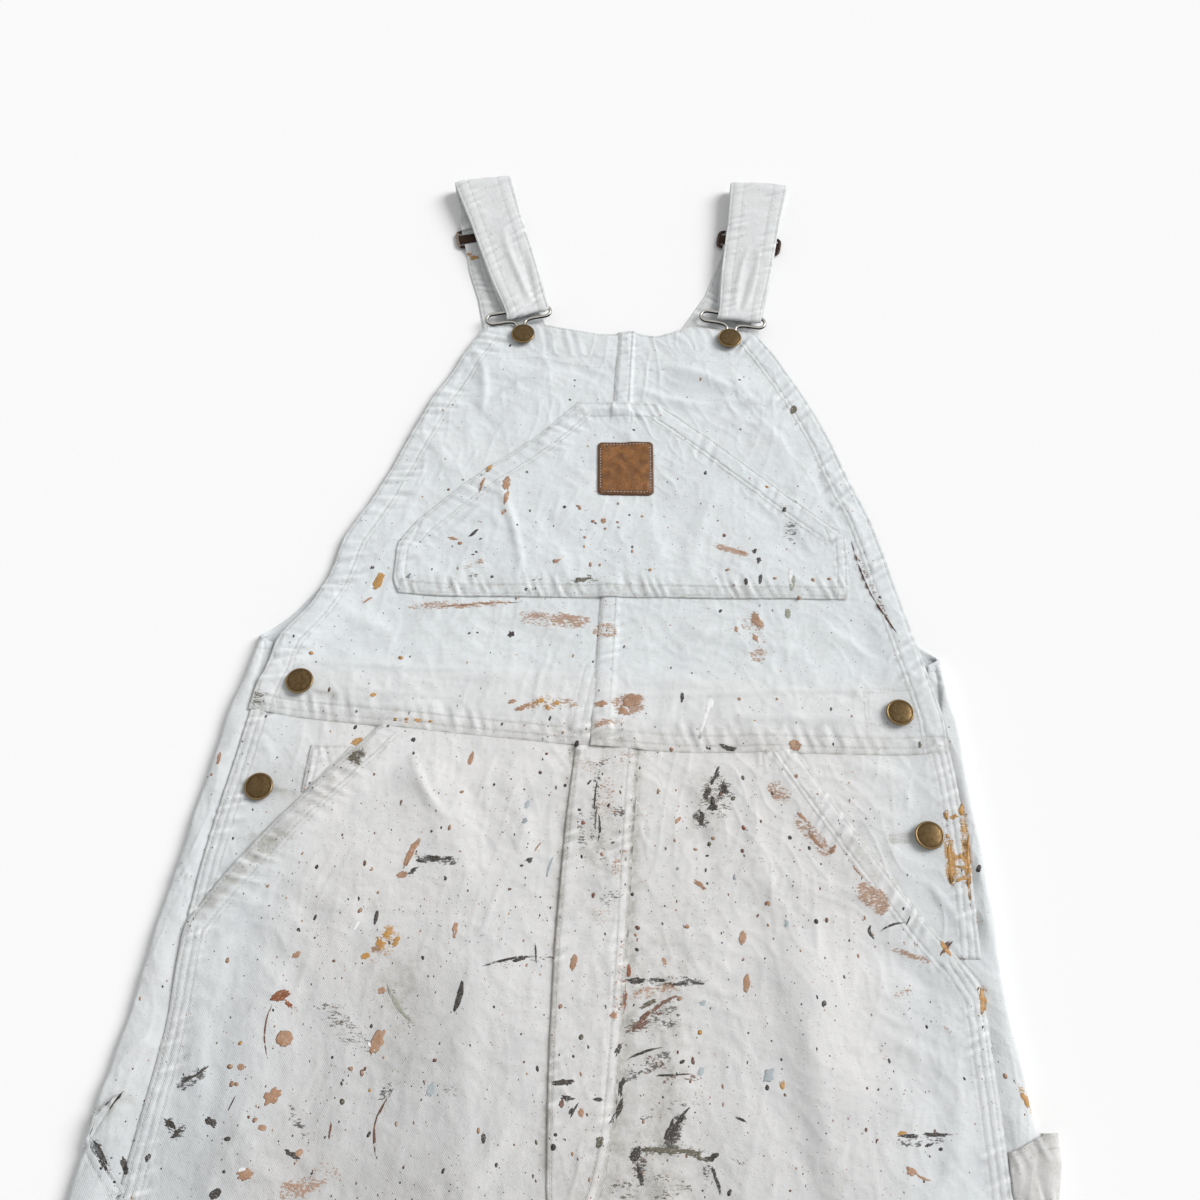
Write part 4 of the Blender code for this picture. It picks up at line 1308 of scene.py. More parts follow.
class Wardrobe:
    """Every finish of the garment, made once."""

    def __init__(self) -> None:
        """Make the finishes."""
        self.drill = Drill().material()
        self.thread = Thread().material()
        self.leather = Leather().material()
        self.brass = Metal("aged_brass", (122, 102, 70), (70, 54, 33), 0.28).material()
        self.antique = Metal("antique_brass", (128, 116, 104), (50, 36, 28), 0.1).material()
        # Nickel's bright colour is painted highlight along the top of the hook wire, its dark one painted
        # shade down the sides.
        self.nickel = Metal("nickel_wire", (176, 173, 166), (34, 31, 28), 0.14).material()
        self.paint = {paint: paint.material() for paint in Paint}


# ---------------------------------------------------------------- grime and painted shade

# Where dirt has worn in: path, half width, amount.
STAINS: tuple[tuple[Path, float, float], ...] = (
    (((-163.0, 290.0), (-192.0, 252.0), (-226.0, 212.0)), 6.0, 0.3),
    (((-212.0, 226.0), (-236.0, 198.0), (-256.0, 172.0)), 6.0, 0.45),
    (((176.0, 240.0), (218.0, 182.0), (246.0, 150.0)), 6.0, 0.22),
    (((-14.0, 296.0), (-19.0, 180.0), (-19.0, 30.0)), 4.0, 0.5),
    (((8.0, 300.0), (6.0, 230.0)), 17.0, 0.24),
    (((6.0, 230.0), (2.0, 10.0)), 18.0, 0.2),
    (((31.0, 296.0), (30.0, 120.0), (22.0, 20.0)), 4.5, 0.4),
    (((206.0, 240.0), (220.0, 242.0)), 4.0, 0.4),
    (((-221.0, 259.0), (-206.0, 256.0)), 4.0, 0.3),
    (((-202.0, 333.0), (-189.0, 330.0)), 3.5, 0.25),
    (((-281.0, 57.0), (-300.0, 42.0)), 5.0, 0.4),
    (((52.0, 150.0), (50.0, 20.0)), 26.0, 0.4),
    (((78.0, 276.0), (76.0, 246.0)), 12.0, 0.22),
    (((258.0, 2.0), (292.0, -6.0)), 15.0, 0.34),
    (((-244.0, 322.0), (-20.0, 308.0), (244.0, 308.0)), 8.0, 0.2),
    (((-120.0, 130.0), (-112.0, 90.0)), 26.0, 0.35),
    (((-160.0, 180.0), (-120.0, 150.0)), 40.0, 0.16),
    (((90.0, 240.0), (110.0, 120.0)), 60.0, 0.10),
    (((-148.0, 424.0), (180.0, 430.0)), 6.0, 0.3),
    (((-120.0, 384.0), (150.0, 384.0)), 30.0, 0.10),
    (((-200.0, 20.0), (-100.0, 10.0)), 40.0, 0.2),
    (((-60.0, -40.0), (-150.0, -420.0), (-190.0, -760.0)), 90.0, 0.22),
    (((60.0, -40.0), (150.0, -420.0), (190.0, -760.0)), 90.0, 0.22),
    (((-190.0, -812.0), (-100.0, -812.0)), 16.0, 0.4),
    (((190.0, -812.0), (100.0, -812.0)), 16.0, 0.4),
)


def grime_at(u: Array, v: Array) -> Array:
    """Dirt from 0 to 1: a bell of the distance to each stain's path, added up.

    Args:
        u: places across.
        v: places up.

    Returns:
        Dirt at each point.
    """
    total = np.full(np.shape(u), 0.05)
    for path, width, amount in STAINS:
        _, offset, _ = Seam(path, (0.0,)).locate(u, v, 2.4 * width)
        total += amount * np.exp(-((offset / width) ** 2))
    return np.minimum(total, 1.0)


def spatter_at(u: Array, v: Array) -> Array:
    """How thick the finest specks lie: most on the lap and the thighs, least on the sides.

    Args:
        u: places across.
        v: places up.

    Returns:
        The thickness at each point, up to about 1.
    """
    lap = smooth((330.0 - v) / 80.0) * smooth((v + 420.0) / 300.0)
    middle = smooth((250.0 - np.abs(u)) / 80.0)
    chest = np.exp(-(((v - 450.0) / 110.0) ** 2)) * 0.6
    return (0.12 + 0.75 * lap + chest) * (0.3 + 0.7 * middle)


def tone_at(u: Array, v: Array) -> Array:
    """How cool the white is: most on the bib and the straps, least on the lap."""
    chest = 0.35 * smooth((v - 298.0) / 30.0) + 0.65 * smooth((v - 338.0) / 34.0)
    return np.maximum(chest, 0.7 * smooth((np.abs(u) - 170.0) / 60.0))


def painted_shade_at(u: Array, v: Array) -> Array:
    """Painted shade: the shadow over the thighs, most on the lower left one, a fold shadow down the right
    thigh, and a little on the left hip, at the lower left and below the waist.

    Args:
        u: places across.
        v: places up.

    Returns:
        Share of the grey at each point.
    """
    left = np.exp(-(((u + 130.0) / 90.0) ** 2)) * smooth((230.0 - v) / 170.0)
    right = np.exp(-(((u - 110.0) / 110.0) ** 2)) * smooth((150.0 - v) / 160.0)
    trough = 116.0 + 0.2 * (185.0 - v)
    streak = np.exp(-(((u - trough) / 15.0) ** 2)) * smooth((225.0 - v) / 90.0) * smooth((v + 300.0) / 200.0)
    hips = np.exp(-(((u + 232.0) / 30.0) ** 2)) * smooth((330.0 - v) / 30.0)
    low = smooth((60.0 - v) / 40.0) * smooth((-205.0 - u) / 30.0)
    return (0.24 * left + 0.1 * right + 0.1 * streak + 0.09 * hips + 0.08 * low
            + 0.05 * smooth((310.0 - v) / 60.0))


def brush_at(u: Array, v: Array) -> Array:
    """How thickly each paint is dry-brushed: full inside a squared ellipse for each mark, fading at its rim.

    Args:
        u: places across.
        v: places up.

    Returns:
        Values from 0 to 1 with a last axis of six, one for each paint of BRUSHED.
    """
    shape = np.shape(u)
    u, v = np.ravel(u), np.ravel(v)
    cover = np.zeros((len(u), len(BRUSHED)))
    for place, paint in enumerate(BRUSHED):
        for mark_u, mark_v, length, width, turn, amount in DRY[paint]:
            reach = 0.75 * max(length, width) + 2.0
            near = np.flatnonzero((np.abs(u - mark_u) < reach) & (np.abs(v - mark_v) < reach))
            along, across = math.cos(math.radians(turn)), math.sin(math.radians(turn))
            du, dv = u[near] - mark_u, v[near] - mark_v
            far = np.abs(du * along + dv * across) / (0.5 * length + 1.0)
            beside = np.abs(dv * along - du * across) / (0.5 * width + 1.0)
            rim = (far ** 3 + beside ** 3) ** (1.0 / 3.0)
            cover[near, place] = np.maximum(cover[near, place], amount * smooth((1.3 - rim) / 0.65))
    return cover.reshape(*shape, len(BRUSHED))


def cloth_marks(u: Array, v: Array, seams: Iterable[Seam], at: tuple[Array, Array] | None = None,
                away: Array | None = None) -> dict[str, Array]:
    """Values that the drill's finish reads at each point.

    Args:
        u: places across.
        v: places up.
        seams: the seams on this panel.
        at: where the points lie in the plan, for a panel whose seams count from its own corner.
        away: how far each point is from the panel's edge.

    Returns:
        "seam" with how cool the cloth is, distance from a row of stitches, and pucker, which the finish
        paints as highlight on crests and shade in troughs; "grime"; one with how thick the fine specks lie,
        the painted shade over the thighs, and how near the edge the point is, for painted shade along it;
        "brush" and "wash" with the six dry-brushed paints.
    """
    distance = np.full(u.shape, 20.0)
    crest = np.zeros(u.shape)
    for seam in seams:
        s, offset, beside = seam.locate(u, v)
        strength = seam.across(offset) * beside * min(1.0, seam.pucker / 0.4)
        crest = np.where(strength > 0.02, crest + seam.crests(s, offset) * strength, crest)
        for row in seam.rows:
            distance = np.minimum(distance, np.where(beside > 0.5, np.abs(offset - row), 20.0))
    u, v = (u, v) if at is None else at
    seam_values = np.stack([tone_at(u, v), distance, np.clip(crest, -1.0, 1.0)], axis=-1)
    # Nearness to the cut edge, which the finish paints as shade.
    edge = np.zeros(u.shape) if away is None else np.exp(-((away / 1.1) ** 2))
    specks_and_shade = np.stack([spatter_at(u, v), painted_shade_at(u, v), edge], axis=-1)
    brush = brush_at(u, v).reshape(-1, 6)
    return {"seam": seam_values.reshape(-1, 3), "grime": grime_at(u, v).ravel(),
            "specks_and_shade": specks_and_shade.reshape(-1, 3), "brush": brush[:, :3], "wash": brush[:, 3:]}


# ---------------------------------------------------------------- stitches

class Stitching:
    """Stitches of one sub-assembly, joined into one mesh of slim eight-faced beads."""

    def __init__(self, name: str) -> None:
        """Start an empty mesh of this name."""
        self.name = name
        self._parts: list[tuple[Array, Array, Array]] = []

    def add(self, first: Array, last: Array, up: Array) -> None:
        """Add stitches by their ends and the direction off the cloth, each rows of u, v, z."""
        self._parts.append((first, last, up))

    def build(self, finish: bpy.types.Material) -> bpy.types.Object:
        """Each bead has its two ends in the cloth, two sides, a crown and a foot.

        Args:
            finish: the thread's material.

        Returns:
            The mesh of all the beads.
        """
        first, last, up = (np.concatenate(part) for part in zip(*self._parts))
        middle = 0.5 * (first + last)
        side = np.cross(up, last - first)
        side = side / np.linalg.norm(side, axis=1, keepdims=True) * 0.3
        beads = np.stack([first, last, middle + side + up * 0.1, middle - side + up * 0.1,
                          middle + up * 0.34, middle - up * 0.2], axis=1)
        beads[..., 2] = np.maximum(beads[..., 2], 0.01)
        faces = np.array([(0, 3, 4), (3, 1, 4), (1, 2, 4), (2, 0, 4),
                          (3, 0, 5), (1, 3, 5), (2, 1, 5), (0, 2, 5)])
        triangles = (faces[None] + 6 * np.arange(len(first))[:, None, None]).reshape(-1, 3)
        thing = add_object(self.name, beads.reshape(-1, 3), np.zeros((0, 4), int), triangles)
        thing.data.materials.append(finish)
        return thing


# ---------------------------------------------------------------- panels

def stitch_ends(at: Array, s: Array, track: Array) -> list[Array]:
    """Both ends of the stitches whose middles lie at these lengths along a track of points."""
    return [np.stack([np.interp(at + reach, s, track[:, k]) for k in range(3)], axis=1)
            for reach in (-STITCH_HALF, STITCH_HALF)]


def flat_net(v: Array, low: Array, high: Array, low_steps: Array,
             high_steps: Array) -> tuple[Array, Array, Array]:
    """Net over rows of v between two edges.

    Args:
        v: the rows, upwards.
        low: left edge of each row.
        high: right edge of each row.
        low_steps: distances in from the left edge.
        high_steps: distances in from the right edge.

    Returns:
        u, v and the distance to the nearest edge, each rows by columns.
    """
    u = spread(low, high, low_steps, high_steps)
    low_lean = 1.0 / np.hypot(1.0, np.gradient(low, v))
    high_lean = 1.0 / np.hypot(1.0, np.gradient(high, v))
    away = np.minimum((u - low[:, None]) * low_lean[:, None], (high[:, None] - u) * high_lean[:, None])
    away = np.minimum(away, np.minimum(v - v[0], v[-1] - v)[:, None])
    return u, np.repeat(v[:, None], u.shape[1], axis=1), away


def row_places(low: float, high: float, low_steps: Array, high_steps: Array, step: float = NET) -> Array:
    """Rows between two ends: close at each end, then even."""
    return spread(np.array([low]), np.array([high]), low_steps, high_steps, step)[0]


class Sewn:
    """A layer of cloth with a face, top(), and with seams whose stitches lie on it."""

    def sew(self, stitching: Stitching, shown: Callable[[Array, Array], Array]) -> None:
        """Add the stitches of every seam where this layer is the one that shows.

        Args:
            stitching: where the stitches go.
            shown: says at which points nothing covers this layer.
        """
        for seam in self.seams:
            ends = seam.stitches()
            seen = shown(0.5 * (ends[:, 0] + ends[:, 2]), 0.5 * (ends[:, 1] + ends[:, 3]))
            ends = ends[seen]
            first, last = ends[:, :2], ends[:, 2:]
            first = np.column_stack([first, self.top(first[:, 0], first[:, 1]) + 0.02])
            last = np.column_stack([last, self.top(last[:, 0], last[:, 1]) + 0.02])
            stitching.add(first, last, np.tile((0.0, 0.0, 1.0), (len(first), 1)))


@dataclass
class Panel(Sewn):
    """A flat-lying piece of cloth: a height over the plan, closed below, with its seams."""

    name: str
    node: str
    floor: Height
    net: tuple[Array, Array, Array]
    outline: Outline
    seams: tuple[Seam, ...] = ()
    thickness: float = CLOTH
    held: str = "laid"
    rests_on: tuple[str, ...] = ("back_left",)
    lap: float = 0.0
    thin: Height | None = None

    def holds(self, u: Array, v: Array) -> Array:
        """Whether this panel covers each point."""
        reach = self.lap * Terrain.felled(v)
        return self.outline.holds(u + reach, v) & (v >= self.outline.bottom(u + reach) - 0.5)

    def top(self, u: Array, v: Array) -> Array:
        """Face of the cloth: its floor, its thickness, its seams and its own fullness.

        Args:
            u: places across.
            v: places up.

        Returns:
            z of the face at each point.
        """
        height = self.thickness + sum(seam.relief(u, v) for seam in self.seams)
        if self.thin is not None:
            height = height * self.thin(u, v)
        return self.floor(u, v) + height

    def build(self, finish: bpy.types.Material) -> bpy.types.Object:
        """Face and lining over the net, its cut edges rounded.

        Args:
            finish: the piece's material.

        Returns:
            The piece.
        """
        u, v, away = self.net
        under = self.floor(u, v)
        over = under + (self.top(u, v) - under) * lip(away)
        under = under + 0.1 * (over - under) * np.exp(-np.maximum(away, 0.0) / 0.55)
        faces = np.stack([u, v, over], axis=-1), np.stack([u, v, under], axis=-1)
        marks = cloth_marks(u, v, self.seams, away=away)
        thing = cloth_body(self.name, self.node, faces, (4, 4), (u, v), marks, finish)
        self.declare(thing)
        return thing

    def declare(self, thing: bpy.types.Object) -> None:
        """Does nothing: no size is passed on.

        Args:
            thing: the piece, not used.
        """


def shifted(floor: Height, layers: int) -> Height:
    """The floor that lies so many layers over another."""
    return lambda u, v: floor(u, v) + layers * STEP


def line(points: Iterable[tuple[float, float]]) -> Path:
    """A path through points, as given."""
    return tuple((float(u), float(v)) for u, v in points)


class Bib:
    """Bib: two halves lapped at a felled seam, and the pocket over them."""

    TOP_ROW = 37.0          # hem along the top
    SIDE_ROWS = (2.4, 15.2, 18.4)
    POCKET_HEM = (2.6, 14.2, 17.4)

    def __init__(self, terrain: Terrain) -> None:
        """Keep the shared heights and the pocket's outline.

        Args:
            terrain: heights that the panels share.
        """
        self.terrain = terrain
        self.pocket_outline = Outline("bib_pocket", 3.0)
        self._sag = ((-112.0, -2.0), (-84.0, 2.0), (-60.0, 4.0), (-38.0, -1.0), (-12.0, -5.6), (4.0, -4.6),
                     (14.0, -2.0), (24.0, -3.0), (35.0, -7.0), (50.0, -2.0), (64.0, 5.0), (96.0, 4.0),
                     (124.0, 1.0))

    def _top_edge(self, u: Array) -> Array:
        """How far the top edge dips or rises at u, an uneven curve between the buttons.

        Args:
            u: places across.

        Returns:
            Rise at each u, below 0 where the edge dips.
        """
        places = np.linspace(-124.0, 128.0, 127)
        curve = soften(np.interp(places, *np.array(self._sag).T), 3)
        return np.interp(u, places, curve)

    def _side_edge(self, v: Array, side: int) -> Array:
        """Outer edge at v, run on straight to the corner at the waist.

        Args:
            v: places up.
            side: 0 on the left, 1 on the right.

        Returns:
            u of the edge at each v.
        """
        outline = self.terrain.bibs[side]
        held = np.maximum(v, 330.0)
        if side == 0:
            return outline.left(held) - 0.15 * (held - v)
        return outline.right(held) + 0.07 * (held - v)

    def half(self, side: int) -> Panel:
        """One half of the bib.

        Args:
            side: 0 on the left, 1 on the right.

        Returns:
            The panel, warped to the waist seam below and to the uneven hem above.
        """
        outline = self.terrain.bibs[side]
        v = row_places(WAIST_V, outline.high_v, hem_steps(14.0, 1.3), hem_steps(40.0, 1.3))
        middle = self.terrain.centre(v)
        inner = (middle - 0.5 * SEAM_GAP, middle + 0.5 * SEAM_GAP - FELL_HALF * self.terrain.felled(v))
        low = float(outline.bottom(np.array(((-247.0, 250.0)[side],)))[0])
        outer = self._side_edge(v + (low - WAIST_V) * (1.0 - smooth((v - WAIST_V) / 60.0)), side)
        edges = (outer, inner[0]) if side == 0 else (inner[1], outer)
        steps = (hem_steps(22.0), np.array((0.0, 0.6, 2.0))) if side == 0 else (
            np.array((0.0, 0.6, 2.0)), hem_steps(22.0))
        u, v_net, away = flat_net(v, *edges, *steps)
        v_net = v_net + (outline.bottom(u) - WAIST_V) * (1.0 - smooth((v_net - WAIST_V) / 60.0))
        v_net = v_net + self._top_edge(u) * smooth((v_net - 636.0) / 40.0)
        hem_v = np.linspace(low + 0.5, 676.0, 30)
        hem_path = line(zip(self._side_edge(hem_v, side), hem_v))
        if side == 0:
            hem_path = hem_path[::-1]
        u_waist = np.linspace(edges[0][0] + (2.0 if side == 0 else FELL_HALF), edges[1][0] - 1.0, 26)
        waist = line(zip(u_waist, outline.bottom(u_waist)))
        top_u = np.linspace(edges[1][-1] - 1.0, edges[0][-1] + 1.0, 16)
        top = line(zip(top_u, outline.high_v + self._top_edge(top_u)))
        fell_v = np.linspace(306.0, 674.0, 20)
        fell = line(zip(self.terrain.centre(fell_v), fell_v))
        if side == 1:
            fell = fell[::-1]
        seams = (
            Seam(hem_path, self.SIDE_ROWS, (-1.0, 19.6), 0.5, 0.55, 9.5, 6.0, 11 + side),
            Seam(waist, (4.6, 11.6), (-1.0, 14.0), 0.5, 0.4, 10.5, 6.0, 21 + side),
            Seam(top, (2.4, self.TOP_ROW), (-1.0, self.TOP_ROW + 1.6), 0.35, 0.22, 12.0, 5.0, 31 + side),
            Seam(fell, ((), (-5.2, 5.2))[side], (-8.0, 8.0), 0.0, (0.0, 0.4)[side], 8.0, 5.0, 41 + side),
        )
        holes = (
            Seam(((-204.0, 333.2), (-189.0, 330.0)), (-1.0, 0.0, 1.0), (-1.8, 1.8), 0.45, pitch=1.5),
            Seam(((226.0, 321.0), (192.4, 320.0), (192.6, 349.6), (226.0, 351.6)), (0.0, -2.6), (-3.4, 1.0),
                 0.4, 0.12, 9.0, 3.0, 48),
        )
        seams += (holes[side],)
        name = "bib_" + SIDES[side]

        def over_left(a: Array, b: Array) -> Array:
            """Underside of the right half, one layer up where it laps the left one."""
            lap = (1.0 - smooth((a - self.terrain.centre(b) - FELL_HALF) / 2.4)) * self.terrain.felled(b)
            return self.terrain.bib(a, b) + STEP * lap

        def thin(a: Array, b: Array) -> Array:
            """Share of the full thickness, less at the waist and along the lapped edge.

            Args:
                a: places across.
                b: places up.

            Returns:
                The share at each point.
            """
            waist_edge = 0.2 + 0.8 * smooth((b - outline.bottom(a)) / 6.0)
            if side == 0:
                return waist_edge
            near = a - self.terrain.centre(b) + FELL_HALF * self.terrain.felled(b)
            return waist_edge * (0.3 + 0.7 * smooth(near / 4.0))

        return Panel("cloth_" + name, name, (self.terrain.bib, over_left)[side], (u, v_net, away), outline,
                     seams, rests_on=("back_left", "back_right"), lap=FELL_HALF * side, thin=thin)

    def pocket(self) -> Panel:
        """Pocket over both halves: hems along its slanted mouths, bars at the corners.

        Returns:
            The panel.
        """
        outline = self.pocket_outline
        v = row_places(outline.low_v, outline.high_v, hem_steps(14.0), hem_steps(18.0))
        left, right = outline.left(v), outline.right(v)
        u, v_net, away = flat_net(v, left, right, hem_steps(20.0), hem_steps(20.0))
        v_net = v_net + (np.interp(u, (-154.0, -120.0, 0.0, 187.0), (-1.6, -3.8, 0.0, 5.0))
                         * (1.0 - smooth((v_net - 419.0) / 44.0)))
        corner = 470.0
        low_left = outline.path(False, 421.0, corner, 8.0)
        low_right = outline.path(True, 421.0, corner + 8.0, 8.0)
        slant_left = outline.path(False, corner + 2.0, 597.0, 9.0)
        slant_right = outline.path(True, corner + 12.0, 597.0, 9.0)
        base_u = np.linspace(-152.0, 184.0, 30)
        base_v = np.interp(base_u, (-154.0, -120.0, 0.0, 187.0), (417.4, 415.2, 419.0, 424.0))
        base = line(zip(base_u, base_v))
        tack_left = ((-155.0, 476.0), (-143.0, 478.0), (-146.0, 464.0), (-155.0, 476.0))
        tack_right = ((184.0, 484.0), (172.0, 486.0), (176.0, 471.0), (184.0, 484.0))
        seams = (
            Seam(slant_left, self.POCKET_HEM, (-1.0, 18.6), 0.55, 0.55, 9.0, 6.0, 51),
            Seam(slant_right, self.POCKET_HEM, (-1.0, 18.6), 0.5, 0.45, 9.0, 6.0, 52),
            Seam(((42.0, 600.0), (-25.0, 600.0)), (2.4, 14.4), (-1.0, 16.0), 0.45, 0.3, 9.0, 5.0, 53),
            Seam(low_left, (2.2, 8.6), (-1.0, 10.0), 0.4, 0.4, 8.5, 6.0, 54),
            Seam(low_right, (2.2, 8.6), (-1.0, 10.0), 0.4, 0.4, 8.5, 6.0, 55),
            Seam(base, (2.2, 9.6), (-1.0, 12.0), 0.45, 0.5, 8.0, 7.0, 56),
            Seam(tack_left, (0.0,), pitch=1.5),
            Seam(tack_right, (0.0,), pitch=1.5),
        )

        def floor(a: Array, b: Array) -> Array:
            """Underside of the pocket: on the bib, over its felled strip."""
            return self.terrain.bib(a, b) + STEP * (1.0 + self.terrain.strip(a, b))

        return Panel("cloth_bib_pocket", "bib_pocket", floor, (u, v_net, away), outline, seams,
                     rests_on=("bib_left", "bib_right"))

    def panels(self) -> list[Panel]:
        """The three panels, lowest first."""
        return [self.half(0), self.half(1), self.pocket()]


class Fronts:
    """Fronts of the trousers with their pocket facings, watch pocket and fly."""

    MOUTH_ROWS = (2.6, 13.4, 16.6)
    SIDE_ROWS = (3.2, 8.0, 12.8)
    FELL_ROWS = (2.8, 8.0)

    def __init__(self, terrain: Terrain) -> None:
        """Keep the shared heights and the outlines of the fly and the watch pocket.

        Args:
            terrain: heights that the panels share.
        """
        self.terrain = terrain
        self.fly_outline = Outline("fly", 4.0)
        self.watch_outline = Outline("watch_pocket", 2.0)

    def _gape(self, outline: Outline, side: int) -> Height:
        """The mouth of a pocket stands off the facing, most in the middle of its slant.

        Args:
            outline: of the front.
            side: 0 on the left, 1 on the right.

        Returns:
            Function of u and v that gives the extra height.
        """
        def height(u: Array, v: Array) -> Array:
            """Extra height at each point.

            Args:
                u: places across.
                v: places up.

            Returns:
                Height added at each point.
            """
            edge = u - outline.left(v) if side == 0 else outline.right(v) - u
            along = smooth((v - 166.0) / 40.0) * smooth((306.0 - v) / 40.0)
            return (1.1 - 0.6 * side) * along * np.exp(-((edge / 20.0) ** 2))
        return height

    def front(self, side: int) -> Panel:
        """One front, from behind the bib to the hem.

        Args:
            side: 0 on the left, 1 on the right.

        Returns:
            The panel.
        """
        outline = self.terrain.fronts[side]
        sign = 2 * side - 1
        top_v = outline.high_v
        v = np.concatenate([leg_rows(), np.arange(DETAIL_V, top_v - 1.0, NET), [top_v]])
        inner = self.terrain.inseam(v, sign)
        edges = (outline.left(v), inner) if side == 0 else (inner, outline.right(v))
        steps = [hem_steps(19.0), np.array((0.0, 0.35, 0.9, 1.8, 3.4, 5.0))]
        u, v_net, away = flat_net(v, *edges, *(steps if side == 0 else steps[::-1]))
        gape = self._gape(outline, side)
        mouth = outline.path(side == 1, 163.0, 312.0, 9.0)
        seam_path = outline.path(side == 1, HEM_V + 1.0, 162.0, 22.0)
        fell_v = np.linspace(HEM_V + 2.0, -4.0, 34)
        fell = line(zip(self.terrain.inseam(fell_v, sign), fell_v))
        hem_u = np.linspace(edges[0][0] + 1.0, edges[1][0] - 1.0, 12)
        hem = line(zip(hem_u, np.full(12, HEM_V)))
        seams = (
            Seam(mouth, self.MOUTH_ROWS, (-1.0, 17.8), 0.55, 0.55, 8.5, 6.0, 61 + side),
            Seam(seam_path, self.SIDE_ROWS, (-1.0, 14.4), 0.5, 0.42, 8.5, 5.0, 63 + side),
            Seam(fell if side == 0 else fell[::-1], self.FELL_ROWS, (-1.0, 9.6), 0.45, 0.4, 9.0, 6.0,
                 65 + side),
            Seam(hem, (12.6,), (-1.0, 14.0), 0.5, 0.45, 10.0, 6.0, 67 + side),
        )
        name = "front_" + SIDES[side]

        def thin(a: Array, b: Array) -> Array:
            """Share of the full thickness, less along the outer edge."""
            edge = a - outline.left(b) if side == 0 else outline.right(b) - a
            return 0.4 + 0.6 * smooth(edge / 4.5)

        return Panel("cloth_" + name, name,
                     lambda a, b: self.terrain.front(a, b) + gape(a, b) - self.terrain.tucked(a, b),
                     (u, v_net, away), outline, seams, rests_on=("back_" + SIDES[side],),
                     thin=thin)

    def facing(self, side: int) -> Panel:
        """Hip panel behind a pocket mouth.

        Args:
            side: 0 on the left, 1 on the right.

        Returns:
            The panel.
        """
        outline = self.terrain.facings[side]
        v = row_places(outline.low_v, outline.high_v, hem_steps(6.0), hem_steps(6.0))
        steps = [hem_steps(16.0), np.array((0.0, 0.8, 2.4))]
        if side == 1:
            steps = steps[::-1]
        u, v_net, away = flat_net(v, outline.left(v), outline.right(v), *steps)
        holes = (
            (((-240.0, 221.6), (-217.0, 230.6)), ((-247.0, 262.0), (-206.0, 256.6))),
            (((205.0, 238.0), (221.0, 239.6)), ((221.0, 243.6), (205.0, 242.0))),
        )[side]
        seams = (
            Seam(outline.path(side == 1, 163.0, 318.0), self.SIDE_ROWS, (-1.0, 14.4), 0.5, 0.45, 8.5, 5.0,
                 71 + side),
            Seam(holes[0], (-1.0, 0.0, 1.0), (-1.8, 1.8), 0.45, pitch=1.5),
            Seam(holes[1], (-1.0, 0.0, 1.0), (-1.8, 1.8), 0.45, pitch=1.5),
        )
        name = "pocket_facing_" + SIDES[side]
        return Panel("cloth_" + name, name,
                     lambda a, b: self.terrain.facing(a, b) - self.terrain.tucked(a, b),
                     (u, v_net, away), outline, seams, rests_on=("back_" + SIDES[side],))

    def watch_pocket(self) -> Panel:
        """Small pocket on the left facing, half behind the mouth of the side pocket.

        Returns:
            The panel.
        """
        outline = self.watch_outline
        v = row_places(outline.low_v, outline.high_v, hem_steps(4.0), hem_steps(4.0))
        net = flat_net(v, outline.left(v), outline.right(v), hem_steps(4.0), hem_steps(4.0))
        seams = (
            Seam(((-170.5, 293.0), (-200.0, 293.0)), (1.8, 12.4), (-1.0, 13.6), 0.4, 0.3, 8.0, 4.0, 75),
            Seam(((-200.0, 292.0), (-201.5, 259.0)), (1.8, 6.4), (-1.0, 4.0), 0.3, 0.25, 8.0, 4.0, 76),
        )
        return Panel("cloth_watch_pocket", "watch_pocket", shifted(self.terrain.facing, 1), net, outline,
                     seams, rests_on=("pocket_facing_left",))

    def fly(self) -> Panel:
        """Fly flap: its free left edge stands up, its right edge is sewn down in a long J.

        Returns:
            The panel.
        """
        outline = self.fly_outline
        v = row_places(outline.low_v, outline.high_v, hem_steps(8.0), hem_steps(6.0))
        net = flat_net(v, outline.left(v), outline.right(v), hem_steps(6.0), hem_steps(12.0))

        def floor(u: Array, v: Array) -> Array:
            """Underside of the flap: its free edge raised, its sewn one pressed down.

            Args:
                u: places across.
                v: places up.

            Returns:
                z of the underside at each point.
            """
            edge = u - outline.left(v)
            stand = smooth((v - 20.0) / 60.0) * smooth((290.0 - v) / 40.0) * (0.3 + 0.2 * np.sin(v / 23.0))
            sewn = 0.24 * np.exp(-(((outline.right(v) - u) / 4.0) ** 2))
            return (self.terrain.front(u, v) + STEP + stand * np.exp(-((edge / 9.0) ** 2))
                    - sewn - self.terrain.tucked(u, v))

        seams = (
            Seam(outline.path(True, -6.0, 298.0, 10.0), (2.2, 7.8), (-1.0, 9.4), 0.2, 0.26, 9.5, 6.0, 81),
            Seam(outline.path(False, 8.0, 298.0, 10.0), (2.4,), (-1.0, 4.4), 0.3, 0.35, 9.0, 5.0, 82),
        )

        def thin(u: Array, v: Array) -> Array:
            """Share of the full thickness, least along the sewn edge."""
            return 0.12 + 0.88 * smooth((outline.right(v) - u) / 8.0)

        return Panel("cloth_fly", "fly", floor, net, outline, seams, rests_on=("front_left", "front_right"),
                     thin=thin)

    def panels(self) -> list[Panel]:
        """All the panels, lowest first."""
        return [self.facing(0), self.facing(1), self.watch_pocket(), self.front(0), self.front(1), self.fly()]


